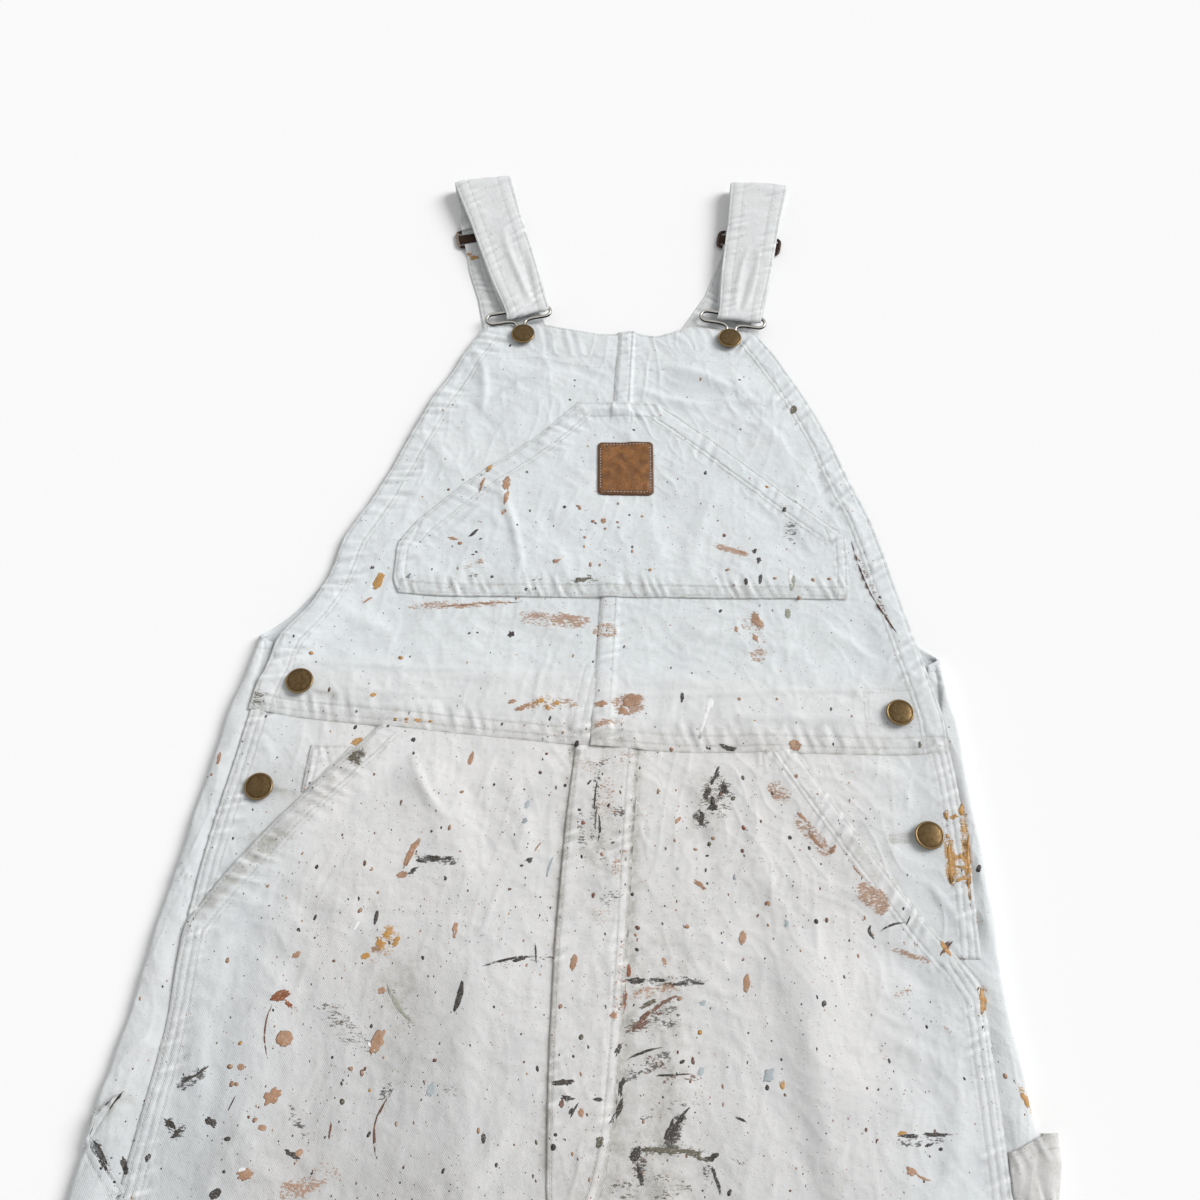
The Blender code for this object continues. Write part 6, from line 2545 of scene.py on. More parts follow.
class HammerLoop:
    """Band from the right side seam out and round to the back, standing off the thigh."""

    SECTION = (
        (261.8, 7.15, -12.5), (270.5, 7.3, -9.0), (279.0, 9.8, -4.0), (286.5, 11.4, -1.0), (292.0, 9.6, 0.0),
        (294.2, 5.6, 0.0), (292.4, 2.2, 0.0), (289.0, 0.65, 0.0), (286.3, 0.65, 0.0),
    )
    ENDS = (14.0, 60.0)
    GRIME = 0.42
    COOLNESS = -0.3         # a warmer white than the rest
    node = "hammer_loop"
    name = "cloth_hammer_loop"

    def build(self, finish: bpy.types.Material, stitching: Stitching, ground: Height) -> bpy.types.Object:
        """Sweep the section along the thigh, its upper edge cut back towards the seam.

        Args:
            finish: the cloth's finish.
            stitching: where its stitches go.
            ground: height of the cloth that its inner end lies on.

        Returns:
            The band.
        """
        section = np.array(self.SECTION)
        length = np.concatenate([[0.0], np.cumsum(np.hypot(*np.diff(section[:, :2], axis=0).T))])
        s = np.linspace(0.0, length[-1], 42)
        u, z, cut = (soften(np.interp(s, length, column), 2) for column in section.T)
        u[0], u[-1] = section[0, 0], section[-1, 0]
        run = np.stack([np.gradient(u), np.gradient(z)], axis=1)
        run /= np.linalg.norm(run, axis=1, keepdims=True)
        share = np.concatenate([[0.0, 0.008, 0.02, 0.045], np.linspace(0.08, 0.92, 24),
                                [0.955, 0.98, 0.992, 1.0]])
        v = self.ENDS[0] + share[:, None] * (self.ENDS[1] - self.ENDS[0] + cut)
        high = self.ENDS[1] + cut
        seams = (
            Seam(((-1.0, 46.0), (60.0, 46.0)), (-2.4, -8.2), (-9.6, 1.0), 0.3, 0.3, 7.5, 4.0, 131),
            Seam(((-1.0, 0.0), (60.0, 0.0)), (2.4, 8.2), (-1.0, 9.6), 0.3, 0.3, 7.5, 4.0, 132),
        )
        along = np.repeat(s[None, :], len(share), axis=0)
        up = (v - high) + 46.0
        up = np.where(share[:, None] < 0.5, v - self.ENDS[0], up)
        relief = sum(seam.relief(along, up) for seam in seams)
        away = np.minimum(v - self.ENDS[0], high - v)
        thick = 0.5 * CLOTH * lip(away)
        outward = np.stack([-run[:, 1], run[:, 0]], axis=1)
        inner = smooth((286.0 - u) / 8.0) * (np.arange(len(u)) < np.argmax(u))
        below = ground(np.broadcast_to(np.minimum(u, 283.0), v.shape), v) + 0.5 * CLOTH + 0.45
        z = z + np.maximum(below - z, 0.0) * inner
        u = u - 0.22 * np.clip(42.0 - v, 0.0, 26.0) * smooth((u - 276.0) / 12.0)
        faces = []
        for sign, extra in ((1.0, relief), (-1.0, 0.0)):
            reach = sign * thick + extra
            height = np.maximum(z + outward[:, 1] * reach, 0.03)
            faces.append(np.stack([u + outward[:, 0] * reach, v, height], axis=-1))
        marks = cloth_marks(along, up, seams, (u, v), away)
        marks["grime"][:] = self.GRIME
        marks["seam"][:, 0] = self.COOLNESS
        thing = cloth_body(self.name, self.node, faces, (1, 1), (along, v), marks, finish)
        self._sew(stitching, faces[0], v, s, outward)
        return thing

    @staticmethod
    def _sew(stitching: Stitching, face: Array, v: Array, s: Array, outward: Array) -> None:
        """Two rows of stitches along each edge of the band.

        Args:
            stitching: where the stitches go.
            face: outer face, rows by columns by 3.
            v: place up of each of its points.
            s: length along the band of each column.
            outward: u and z of the direction off the band at each column.
        """
        for offset in (2.4, 8.2, -8.2, -2.4):
            place = (v[0] + offset if offset > 0.0 else v[-1] + offset)
            track = np.stack([[np.interp(place[k], v[:, k], face[:, k, axis]) for axis in range(3)]
                              for k in range(len(s))])
            at = np.arange(2.0, s[-1] - 1.5, STITCH_PITCH)
            up = np.stack([np.interp(at, s, outward[:, 0]), np.zeros(len(at)),
                           np.interp(at, s, outward[:, 1])], axis=1)
            stitching.add(*stitch_ends(at, s, track), up)


# ---------------------------------------------------------------- trim

TUBE_SIDES = 12
BAR_SIDES = 16


def ring_quads(index: Array, closed: bool = False) -> Array:
    """Quads between neighbouring rings of points.

    Args:
        index: rings by points of the indices.
        closed: whether the last ring joins up with the first.

    Returns:
        Rows of four indices.
    """
    after = np.roll(index, -1, axis=0)
    if not closed:
        index, after = index[:-1], after[:-1]
    corners = [index, after, np.roll(after, -1, axis=1), np.roll(index, -1, axis=1)]
    return np.stack(corners, axis=-1).reshape(-1, 4)


def tube(path: Array, half_width: float, half_thick: float) -> tuple[Array, Array]:
    """Sweep a flat ring along a closed path in the plan.

    Args:
        path: rows of u, v, z.
        half_width: half size across the path in the plan.
        half_thick: half size off the plan.

    Returns:
        Points and quads.
    """
    tangent = np.roll(path, -1, axis=0) - np.roll(path, 1, axis=0)
    across = np.stack([tangent[:, 1], -tangent[:, 0], np.zeros(len(path))], axis=1)
    across /= np.linalg.norm(across, axis=1, keepdims=True)
    angle = np.linspace(0.0, 2.0 * math.pi, TUBE_SIDES, endpoint=False)
    ring_out = np.sign(np.cos(angle)) * np.abs(np.cos(angle)) ** 0.8 * half_width
    ring_up = np.sign(np.sin(angle)) * np.abs(np.sin(angle)) ** 0.8 * half_thick
    points = path[:, None] + across[:, None] * ring_out[:, None]
    points[..., 2] += ring_up
    index = np.arange(len(path) * TUBE_SIDES).reshape(len(path), TUBE_SIDES)
    return points.reshape(-1, 3), ring_quads(index, closed=True)


def eased(points: Array, count: int, window: int) -> Array:
    """Resample a closed path evenly and round its corners by a running mean.

    Args:
        points: the path.
        count: how many points to give.
        window: how many points the mean takes in on either side.

    Returns:
        The new points.
    """
    closed = np.vstack([points, points[:1]])
    length = np.concatenate([[0.0], np.cumsum(np.linalg.norm(np.diff(closed, axis=0), axis=1))])
    s = np.linspace(0.0, length[-1], count, endpoint=False)
    even = np.stack([np.interp(s, length, closed[:, k]) for k in range(closed.shape[1])], axis=1)
    return sum(np.roll(even, k, axis=0) for k in range(-window, window + 1)) / (2 * window + 1)


class Hook:
    """Bent wire: a wide eye for the strap that narrows to a keyhole round the button's shank."""

    HALF_WIDTH = 27.6
    BEND = 5.2
    NECK = 3.6
    SHANK = 4.0

    def __init__(self, terrain: Terrain, side: int) -> None:
        """Find the bib button that it hangs on.

        Args:
            terrain: heights that the panels share.
            side: 0 on the left, 1 on the right.
        """
        self.hang = Fastening.on(terrain, side)
        self.node = "hook_" + SIDES[side]

    def _half(self) -> Array:
        """Right half of the wire, across and up from the button: bar, end bend, lower bar, neck, keyhole.

        Returns:
            Rows of distance across and distance up.
        """
        inner, middle = self.HALF_WIDTH - self.BEND, HOOK_REACH - self.BEND
        turn = np.radians(np.arange(75.0, -91.0, -15.0))
        bend = np.stack([inner + self.BEND * np.cos(turn), middle + self.BEND * np.sin(turn)], axis=1)
        lower = middle - self.BEND
        neck = ((self.NECK + 7.0, lower), (self.NECK + 2.4, lower - 1.0), (self.NECK, lower - 3.4))
        radius = self.SHANK + WIRE + 1.1
        start = math.asin(self.NECK / radius)
        round_shank = start + (math.pi - start) * np.linspace(0.0, 1.0, 13)
        keyhole = np.stack([radius * np.sin(round_shank), radius * np.cos(round_shank)], axis=1)
        return np.vstack([((0.0, HOOK_REACH), (inner, HOOK_REACH)), bend, neck, keyhole])

    def build(self, finish: bpy.types.Material) -> bpy.types.Object:
        """Sweep the wire round its outline.

        Args:
            finish: the piece's material.

        Returns:
            The piece.
        """
        half = self._half()
        loop = eased(np.vstack([half, (half[1:-1] * (-1.0, 1.0))[::-1]]), 190, 1)
        up, across = lean(self.hang.turn)
        plan = self.hang.spot + loop[:, :1] * across + loop[:, 1:] * up
        z = self.hang.wire + HOOK_LIFT * smooth(loop[:, 1] / HOOK_REACH)
        points, quads = tube(np.column_stack([plan, z]), WIRE, WIRE)
        # Painted highlight along the top of the wire, painted shade down its sides.
        crown = np.sin(np.linspace(0.0, 2.0 * math.pi, TUBE_SIDES, endpoint=False))
        wear_and_highlight = np.tile(np.clip(2.0 * crown - 0.9, -0.6, 1.0), len(loop))
        thing = add_object("wire_" + self.node, points, quads, np.zeros((0, 3), int), marks={"wear_and_highlight": wear_and_highlight})
        hand_over(thing, finish, self.node)
        return thing


class Slider:
    """Adjusting buckle: a rounded frame and the broad bar that the strap turns round."""

    def __init__(self, side: int) -> None:
        """Find its place on the strap of this side, 0 left or 1 right."""
        self.u, self.v, self.turn, _ = REAR_COURSES[side][2]
        self.node = "slider_" + SIDES[side]

    def build(self, finish: bpy.types.Material) -> bpy.types.Object:
        """Frame as a flat ring swept round a rounded rectangle, and a bar through its middle.

        Args:
            finish: the piece's material.

        Returns:
            The piece.
        """
        half_u, half_v = SLIDER_HALF[0] - 1.8, SLIDER_HALF[1] - 1.3
        corners = np.array(((half_u, half_v), (-half_u, half_v), (-half_u, -half_v), (half_u, -half_v)))
        loop = eased(corners, 150, 5)
        up, across = lean(self.turn)
        centre = np.array((self.u, self.v))
        height = STEP + 0.5 * SLIDER_THICK
        frame_path = np.column_stack([centre + loop[:, :1] * across + loop[:, 1:] * up, np.full(150, height)])
        ring, frame_quads = tube(frame_path, 1.5, 0.5 * SLIDER_THICK)
        reach = np.concatenate([[-1.0, -0.99], np.linspace(-0.97, 0.97, 25), [0.99, 1.0]]) * (half_u + 1.2)
        taper = np.sqrt(np.clip(1.0 - (np.abs(reach) / (half_u + 1.6)) ** 16, 0.01, 1.0))
        angle = np.linspace(0.0, 2.0 * math.pi, BAR_SIDES, endpoint=False)
        wide = np.sign(np.cos(angle)) * np.abs(np.cos(angle)) ** 0.6 * SLIDER_BARS[2]
        thick = np.sign(np.sin(angle)) * np.abs(np.sin(angle)) ** 0.6 * 0.5 * SLIDER_THICK
        plan = centre + reach[:, None, None] * across + (wide * taper[:, None])[..., None] * up
        bar = np.concatenate([plan, (height + thick * taper[:, None])[..., None]], axis=-1)
        index = np.arange(bar.shape[0] * BAR_SIDES).reshape(-1, BAR_SIDES) + len(ring)
        turned = np.roll(index, -1, axis=1)
        ends = np.array([plan[0].mean(axis=0).tolist() + [height], plan[-1].mean(axis=0).tolist() + [height]])
        first = len(ring) + bar.shape[0] * BAR_SIDES
        caps = np.concatenate([
            np.stack([index[0], turned[0], np.full(BAR_SIDES, first)], axis=1),
            np.stack([turned[-1], index[-1], np.full(BAR_SIDES, first + 1)], axis=1)])
        points = np.concatenate([ring, bar.reshape(-1, 3), ends])
        end = np.repeat(smooth((np.abs(loop[:, 0]) - half_u + 2.5) / 2.0), TUBE_SIDES)
        end = end * (1.0 if self.u < 0.0 else 0.35)
        wear_and_highlight = np.concatenate([end, np.zeros(len(points) - len(ring))])
        quads = np.concatenate([frame_quads, ring_quads(index)])
        thing = add_object("frame_" + self.node, points, quads, caps, marks={"wear_and_highlight": wear_and_highlight})
        hand_over(thing, finish, self.node)
        return thing


class Button:
    """Bare tack button: a domed face inside a raised rim, on a shank down to the cloth."""

    SEGMENTS = 56
    # Radius, height over the underside of the head, how bright it shows: rubbed bright with painted highlight
    # on the rim's crest, painted shade down its outer side, tarnished in the hollow.
    PROFILE = (
        (0.0, 2.25, 0.25), (2.0, 2.22, 0.25), (4.0, 2.12, 0.25), (6.0, 1.95, 0.25), (7.6, 1.7, 0.2),
        (8.3, 1.45, 0.0), (8.65, 1.42, 0.0), (8.95, 1.62, 0.8), (9.35, 1.66, 1.0), (9.75, 1.3, 0.8),
        (10.0, 0.8, 0.4), (9.75, 0.3, 0.1), (9.0, 0.0, 0.0), (4.3, 0.0, 0.0), (4.0, -0.3, 0.0),
    )

    def __init__(self, node: str) -> None:
        """Read its place and height from its solid.

        Args:
            node: name of its solid.
        """
        self.node = node
        low, high = (to_lay(corner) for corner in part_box(node))
        self.centre = 0.5 * (low[:2] + high[:2])
        self.foot = low[2]
        self.head = high[2] - 2.4

    def build(self, finish: bpy.types.Material) -> bpy.types.Object:
        """Turn the profile round the middle, then close the foot of the shank.

        Args:
            finish: the piece's material.

        Returns:
            The piece.
        """
        profile = np.array(self.PROFILE[1:])
        profile[:, 1] += self.head
        profile = np.vstack([profile, (4.0, self.foot, 0.0)])
        angle = np.linspace(0.0, 2.0 * math.pi, self.SEGMENTS, endpoint=False)
        u = self.centre[0] + profile[:, :1] * np.cos(angle)
        v = self.centre[1] + profile[:, :1] * np.sin(angle)
        rings = np.stack([u, v, np.repeat(profile[:, 1:2], self.SEGMENTS, axis=1)], axis=-1).reshape(-1, 3)
        tips = np.array(((*self.centre, self.head + self.PROFILE[0][1]), (*self.centre, self.foot)))
        index = np.arange(len(rings)).reshape(-1, self.SEGMENTS)
        turned = np.roll(index, -1, axis=1)
        caps = np.concatenate([
            np.stack([turned[0], np.full(self.SEGMENTS, len(rings)), index[0]], axis=1),
            np.stack([index[-1], np.full(self.SEGMENTS, len(rings) + 1), turned[-1]], axis=1)])
        wear_and_highlight = np.concatenate([np.repeat(profile[:, 2], self.SEGMENTS), [0.25, 0.0]])
        thing = add_object("metal_" + self.node, np.concatenate([rings, tips]), ring_quads(index), caps,
                           marks={"wear_and_highlight": wear_and_highlight})
        hand_over(thing, finish, self.node)
        return thing


class Patch:
    """Bare leather patch, its corners rounded, stitched down along its rim."""

    CENTRE = (15.8, 535.0)
    SIZE = (45.0, 50.0)
    TURN = 2.0
    CORNER = 4.0
    THICK = 1.6
    STITCH_IN = 2.6

    def __init__(self, terrain: Terrain) -> None:
        """Lay it on the bib pocket."""
        self.floor = shifted(terrain.bib, 2)

    def _turned(self, p: Array, q: Array) -> tuple[Array, Array]:
        """From across and up the patch to the lay frame."""
        up, across = lean(self.TURN)
        return self.CENTRE[0] + p * across[0] + q * up[0], self.CENTRE[1] + p * across[1] + q * up[1]

    def top(self, u: Array, v: Array) -> Array:
        """Face of the leather."""
        return self.floor(u, v) + self.THICK + 0.25

    def holds(self, u: Array, v: Array) -> Array:
        """Whether the patch covers each point.

        Args:
            u: places across.
            v: places up.

        Returns:
            True where it does.
        """
        up, across = lean(self.TURN)
        du, dv = u - self.CENTRE[0], v - self.CENTRE[1]
        p, q = du * across[0] + dv * across[1], du * up[0] + dv * up[1]
        return (np.abs(p) < 0.5 * self.SIZE[0]) & (np.abs(q) < 0.5 * self.SIZE[1])

    def build(self, finish: bpy.types.Material, thread: Stitching) -> bpy.types.Object:
        """Rows of even height whose ends follow the rounded corners, pressed in under the stitches.

        Args:
            finish: the piece's material.
            thread: where its stitches go.

        Returns:
            The piece.
        """
        half_p, half_q = 0.5 * self.SIZE[0], 0.5 * self.SIZE[1]
        rows = row_places(-half_q, half_q, hem_steps(5.0, 0.8), hem_steps(5.0, 0.8), 1.3)
        into = np.clip(self.CORNER - (half_q - np.abs(rows)), 0.0, self.CORNER)
        edge = half_p - self.CORNER + np.sqrt(self.CORNER ** 2 - into ** 2) - 0.3
        p, q, _ = flat_net(rows, -edge, edge, hem_steps(5.0, 0.8), hem_steps(5.0, 0.8))
        gap_p, gap_q = half_p - np.abs(p), half_q - np.abs(q)
        away = np.where((gap_p < self.CORNER) & (gap_q < self.CORNER),
                        self.CORNER - np.hypot(self.CORNER - gap_p, self.CORNER - gap_q),
                        np.minimum(gap_p, gap_q))
        away = np.maximum(away, 0.0)
        u, v = self._turned(p, q)
        under = self.floor(u, v)
        groove = 0.35 * np.exp(-(((away - self.STITCH_IN) / 0.9) ** 2))
        cushion = 0.35 * smooth(away / 8.0)
        over = under + self.THICK * lip(away) - groove + cushion
        points, quads, triangles, origin = closed_shell(
            np.stack([u, v, over], axis=-1), np.stack([u, v, under], axis=-1), (4, 4))
        thing = add_object("leather_on_pocket", points, quads, triangles,
                           marks={"edge": away.ravel()[origin]})
        hand_over(thing, finish, "leather_patch")
        in_p, in_q, bend = half_p - self.STITCH_IN, half_q - self.STITCH_IN, 3.0
        ring = np.array(((in_p, -in_q + bend), (in_p, in_q - bend), (in_p - bend, in_q),
                         (bend - in_p, in_q), (-in_p, in_q - bend), (-in_p, bend - in_q),
                         (bend - in_p, -in_q), (in_p - bend, -in_q)))
        loop = eased(ring, 62, 0)
        first = np.column_stack(self._turned(loop[:, 0], loop[:, 1]))
        last = np.column_stack(self._turned(*np.roll(loop, -1, axis=0).T))
        first, last = first + 0.14 * (last - first), last - 0.14 * (last - first)
        heights = [self.floor(end[:, 0], end[:, 1]) + self.THICK - 0.25 for end in (first, last)]
        thread.add(np.column_stack([first, heights[0]]), np.column_stack([last, heights[1]]),
                   np.tile((0.0, 0.0, 1.0), (len(first), 1)))
        return thing


# ---------------------------------------------------------------- paint

# Solid marks: u, v, length, width, turn from u in degrees, raggedness, bow.
SOLID: dict[Paint, tuple[tuple[float, ...], ...]] = {
    Paint.TAN: (
        (-175, 410, 9, 1.6, 40, 0.3, 0.5), (-78, 517, 13, 6.5, 88, 0.35, 0),
        (-77, 504, 11, 4.5, 82, 0.3, 0), (-78, 490, 5, 3.6, 60, 0.3, 0),
        (-97, 515, 15, 2.4, 74, 0.35, 0.6), (-110, 462, 4, 3, 0, 0.3, 0), (-19, 496, 2.6, 2.2, 0, 0.2, 0),
        (132, 440, 3, 2.4, 0, 0.3, 0), (161, 440, 4, 3, 70, 0.3, 0), (173, 441, 3, 2.4, 0, 0.3, 0),
        (-95, 408.5, 70, 1.3, 7, 0.4, 1.5), (103, 338, 3, 2.4, 0, 0.3, 0), (130, 339, 2.4, 2, 0, 0.3, 0),
        (142, 305, 9, 7.5, 20, 0.25, 0), (55, 299, 3, 3, 0, 0.3, 0), (-86, 287, 10, 3.6, 80, 0.3, 0),
        (-120, 218, 21, 4.6, 62, 0.3, 1), (-125, 203, 7, 5, 30, 0.3, 0), (-35, 225, 9, 1.2, 60, 0.3, 0.5),
        (-86, 168, 9, 4, 86, 0.3, 0), (-137, 154, 5, 3.5, 0, 0.4, 0), (-188, 148, 6, 3.6, 30, 0.4, 0),
        (-130, 128, 5, 4, 0, 0.3, 0), (-129, 97, 17, 7, 76, 0.4, 0), (-187, 96, 10.5, 10, 0, 0.18, 0),
        (-189, 62, 11, 8, 40, 0.6, 0), (-218, 78, 4, 3, 0, 0.3, 0), (-211, 78, 4.5, 4, 0, 0.3, 0),
        (-215, 68, 4, 3, 80, 0.3, 0), (-212, 68, 3, 2.4, 0, 0.3, 0), (-143, 80, 3.5, 2.5, 0, 0.3, 0),
        (-136, 78, 4, 3, 60, 0.3, 0), (-192, 44, 4.5, 4, 0, 0.3, 0), (-197, 48, 4, 3, 0, 0.3, 0),
        (-168, 31, 5, 4, 30, 0.3, 0), (-198, 18, 10, 6, 10, 0.4, 0), (-263, 280, 9, 2.8, 84, 0.3, 0),
        (-266, 268, 2.4, 2.2, 0, 0.2, 0), (-7, 150, 10, 4.6, 84, 0.35, 0),
        (-20, 498, 4.4, 2.6, 150, 0.25, 0), (0, 485.6, 5, 4, 100, 0.25, 0),
        (-8, 484.7, 3.6, 3, 0, 0.25, 0), (-14, 470, 3, 2.4, 0, 0.25, 0),
        (11, 484.7, 2.6, 2.2, 0, 0.25, 0), (11, 502, 2.6, 2.2, 0, 0.25, 0),
        (-8.6, 446.4, 4.4, 2.4, 90, 0.25, 0), (-1.4, 446.4, 3, 2, 80, 0.25, 0),
        (23, 459, 3.4, 2, 80, 0.25, 0), (1.5, 478.6, 2.6, 2, 0, 0.25, 0),
        (-116, 466, 8, 2.4, 170, 0.4, 0), (-34, 448, 6, 2, 40, 0.5, 0), (216, 170, 3, 2.6, 0, 0.3, 0),
        (145, 253, 8, 3, 130, 0.4, 0), (154, 238, 17, 2.4, 126, 0.4, 1), (165, 231, 7, 3, 50, 0.5, 0),
        (181, 217, 10, 1.4, 128, 0.4, 0.5), (105, 141, 11, 4.6, 84, 0.3, 0),
        (103, 170, 9, 5, 80, 0.35, 0), (66, 176, 4, 3.4, 0, 0.3, 0), (202, 35, 6, 5, 0, 0.4, 0),
        (209, 32, 9, 1.6, 160, 0.4, 0.5), (75, 204, 10, 3, 142, 0.4, 0), (120, 193, 4, 3.5, 0, 0.3, 0),
        (62, 130, 4, 2.6, 30, 0.4, 0), (-60, 330, 6, 3, 20, 0.4, 0), (96, 446, 4, 2, 30, 0.4, 0),
        (108, 462, 6, 2, 160, 0.4, 0), (-36, 448, 3.6, 3, 0, 0.3, 0), (20, 118, 5, 4, 60, 0.4, 0),
        (2, 60, 5, 3.6, 90, 0.3, 0), (-14, 122, 3.6, 2.6, 40, 0.3, 0), (118, 404, 13, 6, 120, 0.6, 0),
        (116, 389, 7, 4, 110, 0.5, 0), (102, 396, 5, 3, 90, 0.5, 0), (-52, 326, 10, 4, 20, 0.6, 0),
        (26, 334, 14, 9, 24, 0.6, 0), (20, 326, 8, 6, 150, 0.6, 0), (4, 330, 9, 5, 10, 0.6, 0),
        (-150, 178, 4, 2.6, 60, 0.3, 0), (-146, 206, 3.4, 2, 80, 0.3, 0), (-96, 236, 4, 2.4, 80, 0.3, 0),
        (-90, 262, 3.4, 2, 30, 0.3, 0), (84, 236, 3.2, 2.6, 0, 0.3, 0), (60, 248, 5, 3, 60, 0.4, 0),
        (46, 268, 4, 2, 80, 0.3, 0), (72, 228, 3, 2, 0, 0.3, 0), (142, 282, 3.6, 2.6, 60, 0.3, 0),
    ),
    Paint.CHARCOAL: (
        (-175, 438, 3.4, 3, 0, 0.2, 0), (-31, 497, 3, 2.8, 0, 0.2, 0), (-1, 486, 2.6, 2.4, 0, 0.2, 0),
        (-6, 483, 2, 1.8, 0, 0.2, 0), (20, 492, 2, 1.8, 0, 0.2, 0), (-50, 424, 3.4, 2.6, 0, 0.3, 0),
        (-62, 419, 3, 2.4, 0, 0.3, 0), (141, 501, 4.6, 3.4, 70, 0.35, 0), (117, 463, 5, 3, 60, 0.5, 0),
        (120, 455, 5.5, 3.4, 80, 0.5, 0), (110, 436, 6, 3, 88, 0.3, 0), (121, 439, 9, 3, 84, 0.3, 0),
        (-65, 386, 6, 4.6, 70, 0.4, 0), (62, 338, 8, 2.6, 88, 0.2, 0), (-12, 300, 5, 3, 80, 0.4, 0),
        (95, 302, 12, 3.6, 172, 0.4, 0.6), (81, 301, 4, 2, 170, 0.3, 0), (-40, 216, 4.6, 3.6, 40, 0.4, 0),
        (-45, 212, 2.6, 2, 0, 0.3, 0), (-183, 206, 3.4, 2.4, 80, 0.3, 0),
        (-139, 174, 9.5, 2.8, 84, 0.2, 0), (-50, 149, 32, 1.6, 14, 0.5, 1.4),
        (-32, 155, 11, 1.4, 96, 0.4, 0), (-42, 151, 9, 3, 20, 0.5, 0),
        (-80, 126, 19, 4.2, 80, 0.15, -0.8), (-243, 70, 8, 2.4, 30, 0.7, 0), (-236, 74, 9, 2, 40, 0.7, 0),
        (-249, 44, 9, 3.4, 150, 0.6, 0), (-244, 39, 7, 3, 20, 0.6, 0), (-224, 46, 9, 4, 150, 0.5, 0),
        (-213, 57, 9, 1, 70, 0.3, 0), (-212, 37, 4, 3, 0, 0.4, 0), (-172, 30, 10, 3, 150, 0.3, 0),
        (-214, 7, 7, 5.6, 40, 0.2, 0), (-211, 19, 2.4, 2, 0, 0.2, 0), (86, 281, 11, 3.4, 62, 0.6, 0),
        (92, 272, 9, 4.6, 100, 0.7, 0), (80, 268, 10, 4, 70, 0.7, 0), (84, 258, 7, 4.6, 30, 0.7, 0),
        (76, 250, 10, 4.4, 96, 0.7, 0), (84, 262, 3, 9, 0, 0.7, 0), (81, 232, 2.8, 2, 80, 0.3, 0),
        (80, 224, 2.4, 1.8, 0, 0.3, 0), (79, 214, 3, 1.6, 80, 0.3, 0), (80, 205, 2, 1.6, 0, 0.3, 0),
        (188, 177, 9, 2.4, 100, 0.3, 1.4), (202, 181, 16, 1.6, 20, 0.4, 1),
        (212, 185, 6, 1.2, 60, 0.3, 0), (34, 140, 13, 3.4, 4, 0.6, 0), (48, 141, 11, 2.2, 176, 0.6, 0),
        (62, 139, 12, 1.8, 6, 0.6, 0), (74, 140, 9, 1.4, 176, 0.5, 0), (58, 52, 15, 5.6, 66, 0.5, 0),
        (64, 60, 10, 3, 50, 0.6, 0), (36, 38, 10, 5, 30, 0.6, 0), (39, 27, 13, 3, 106, 0.6, 0),
        (82, 38, 8, 4, 10, 0.6, 0), (85, 26, 16, 2.2, 110, 0.5, 0), (-100, 471, 10, 2.6, 50, 0.6, 0),
        (-56, 423, 3, 2.6, 0, 0.2, 0), (-70, 419, 3.4, 2.4, 0, 0.3, 0), (-83, 433, 3, 2.4, 0, 0.3, 0),
        (23, 463, 3, 2, 80, 0.3, 0), (202, 54.6, 13, 2.2, 2, 0.4, 0), (219, 56, 16, 2.4, 3, 0.4, 0),
        (214, 50, 5, 1.8, 30, 0.5, 0), (221, 48, 3, 2, 0, 0.4, 0), (-10, 77, 15, 3.2, 8, 0.5, 0),
        (-7, 68, 8, 3, 176, 0.6, 0), (-3, 61, 8, 2.4, 60, 0.6, 0), (12, 68, 7, 2, 10, 0.5, 0),
        (27, 76, 12, 3, 78, 0.5, 1), (24, 62, 16, 3.4, 66, 0.5, -0.6), (3, 262, 20, 1.6, 86, 0.6, 0.6),
        (6, 240, 16, 1.8, 92, 0.6, -0.5), (-2, 272, 4, 2, 60, 0.4, 0), (-8, 252, 2.6, 2, 0, 0.3, 0),
        (12, 256, 3, 2, 80, 0.3, 0), (16, 230, 2.6, 2, 0, 0.3, 0), (-14, 40, 4, 3.4, 80, 0.4, 0),
        (-13, 47, 2.4, 2.2, 0, 0.2, 0), (-94, 466, 3.4, 1.6, 40, 0.5, 0), (-99, 452, 2.4, 1.6, 0, 0.5, 0),
        (-96, 385, 2.6, 1.8, 30, 0.4, 0), (-90, 386, 2, 1.6, 0, 0.3, 0), (-114, 213, 7, 2, 170, 0.6, 0),
        (-104, 215, 9, 3.6, 176, 0.6, 0), (-95, 215, 8, 2, 6, 0.6, 0), (-118, 206, 7, 3, 40, 0.6, 0),
        (24, 98, 9, 3, 70, 0.6, 0), (40, 96, 20, 1.6, 20, 0.6, 1), (58, 84, 20, 1.4, 6, 0.5, 0),
        (34, 160, 3, 2.4, 0, 0.3, 0), (-272, 20, 11, 3.6, 118, 0.4, 0.4),
        (-288, 54.5, 17, 3.0, 44, 0.5, -0.8), (-295.2, 42, 12, 1.2, 82, 0.3, -0.6),
        (-287, 25, 22, 1.1, 128, 0.3, -0.8), (-284, 20, 9, 2, 128, 0.5, 0), (-285, 18, 2, 1.6, 0, 0.3, 0),
        (-276, 11, 2, 1.6, 0, 0.3, 0), (-281, 24, 1.6, 1.2, 0, 0.3, 0), (-29, 622, 2, 1.8, 0, 0.2, 0),
        (-29, 616, 1.6, 1.4, 0, 0.2, 0), (-32, 602, 2.2, 1.8, 0, 0.2, 0), (30, 196, 3, 2, 60, 0.4, 0),
        (64, 92, 3.4, 2.6, 30, 0.4, 0), (100, 60, 7, 1.6, 160, 0.5, 0),
    ),
    Paint.OLIVE: (
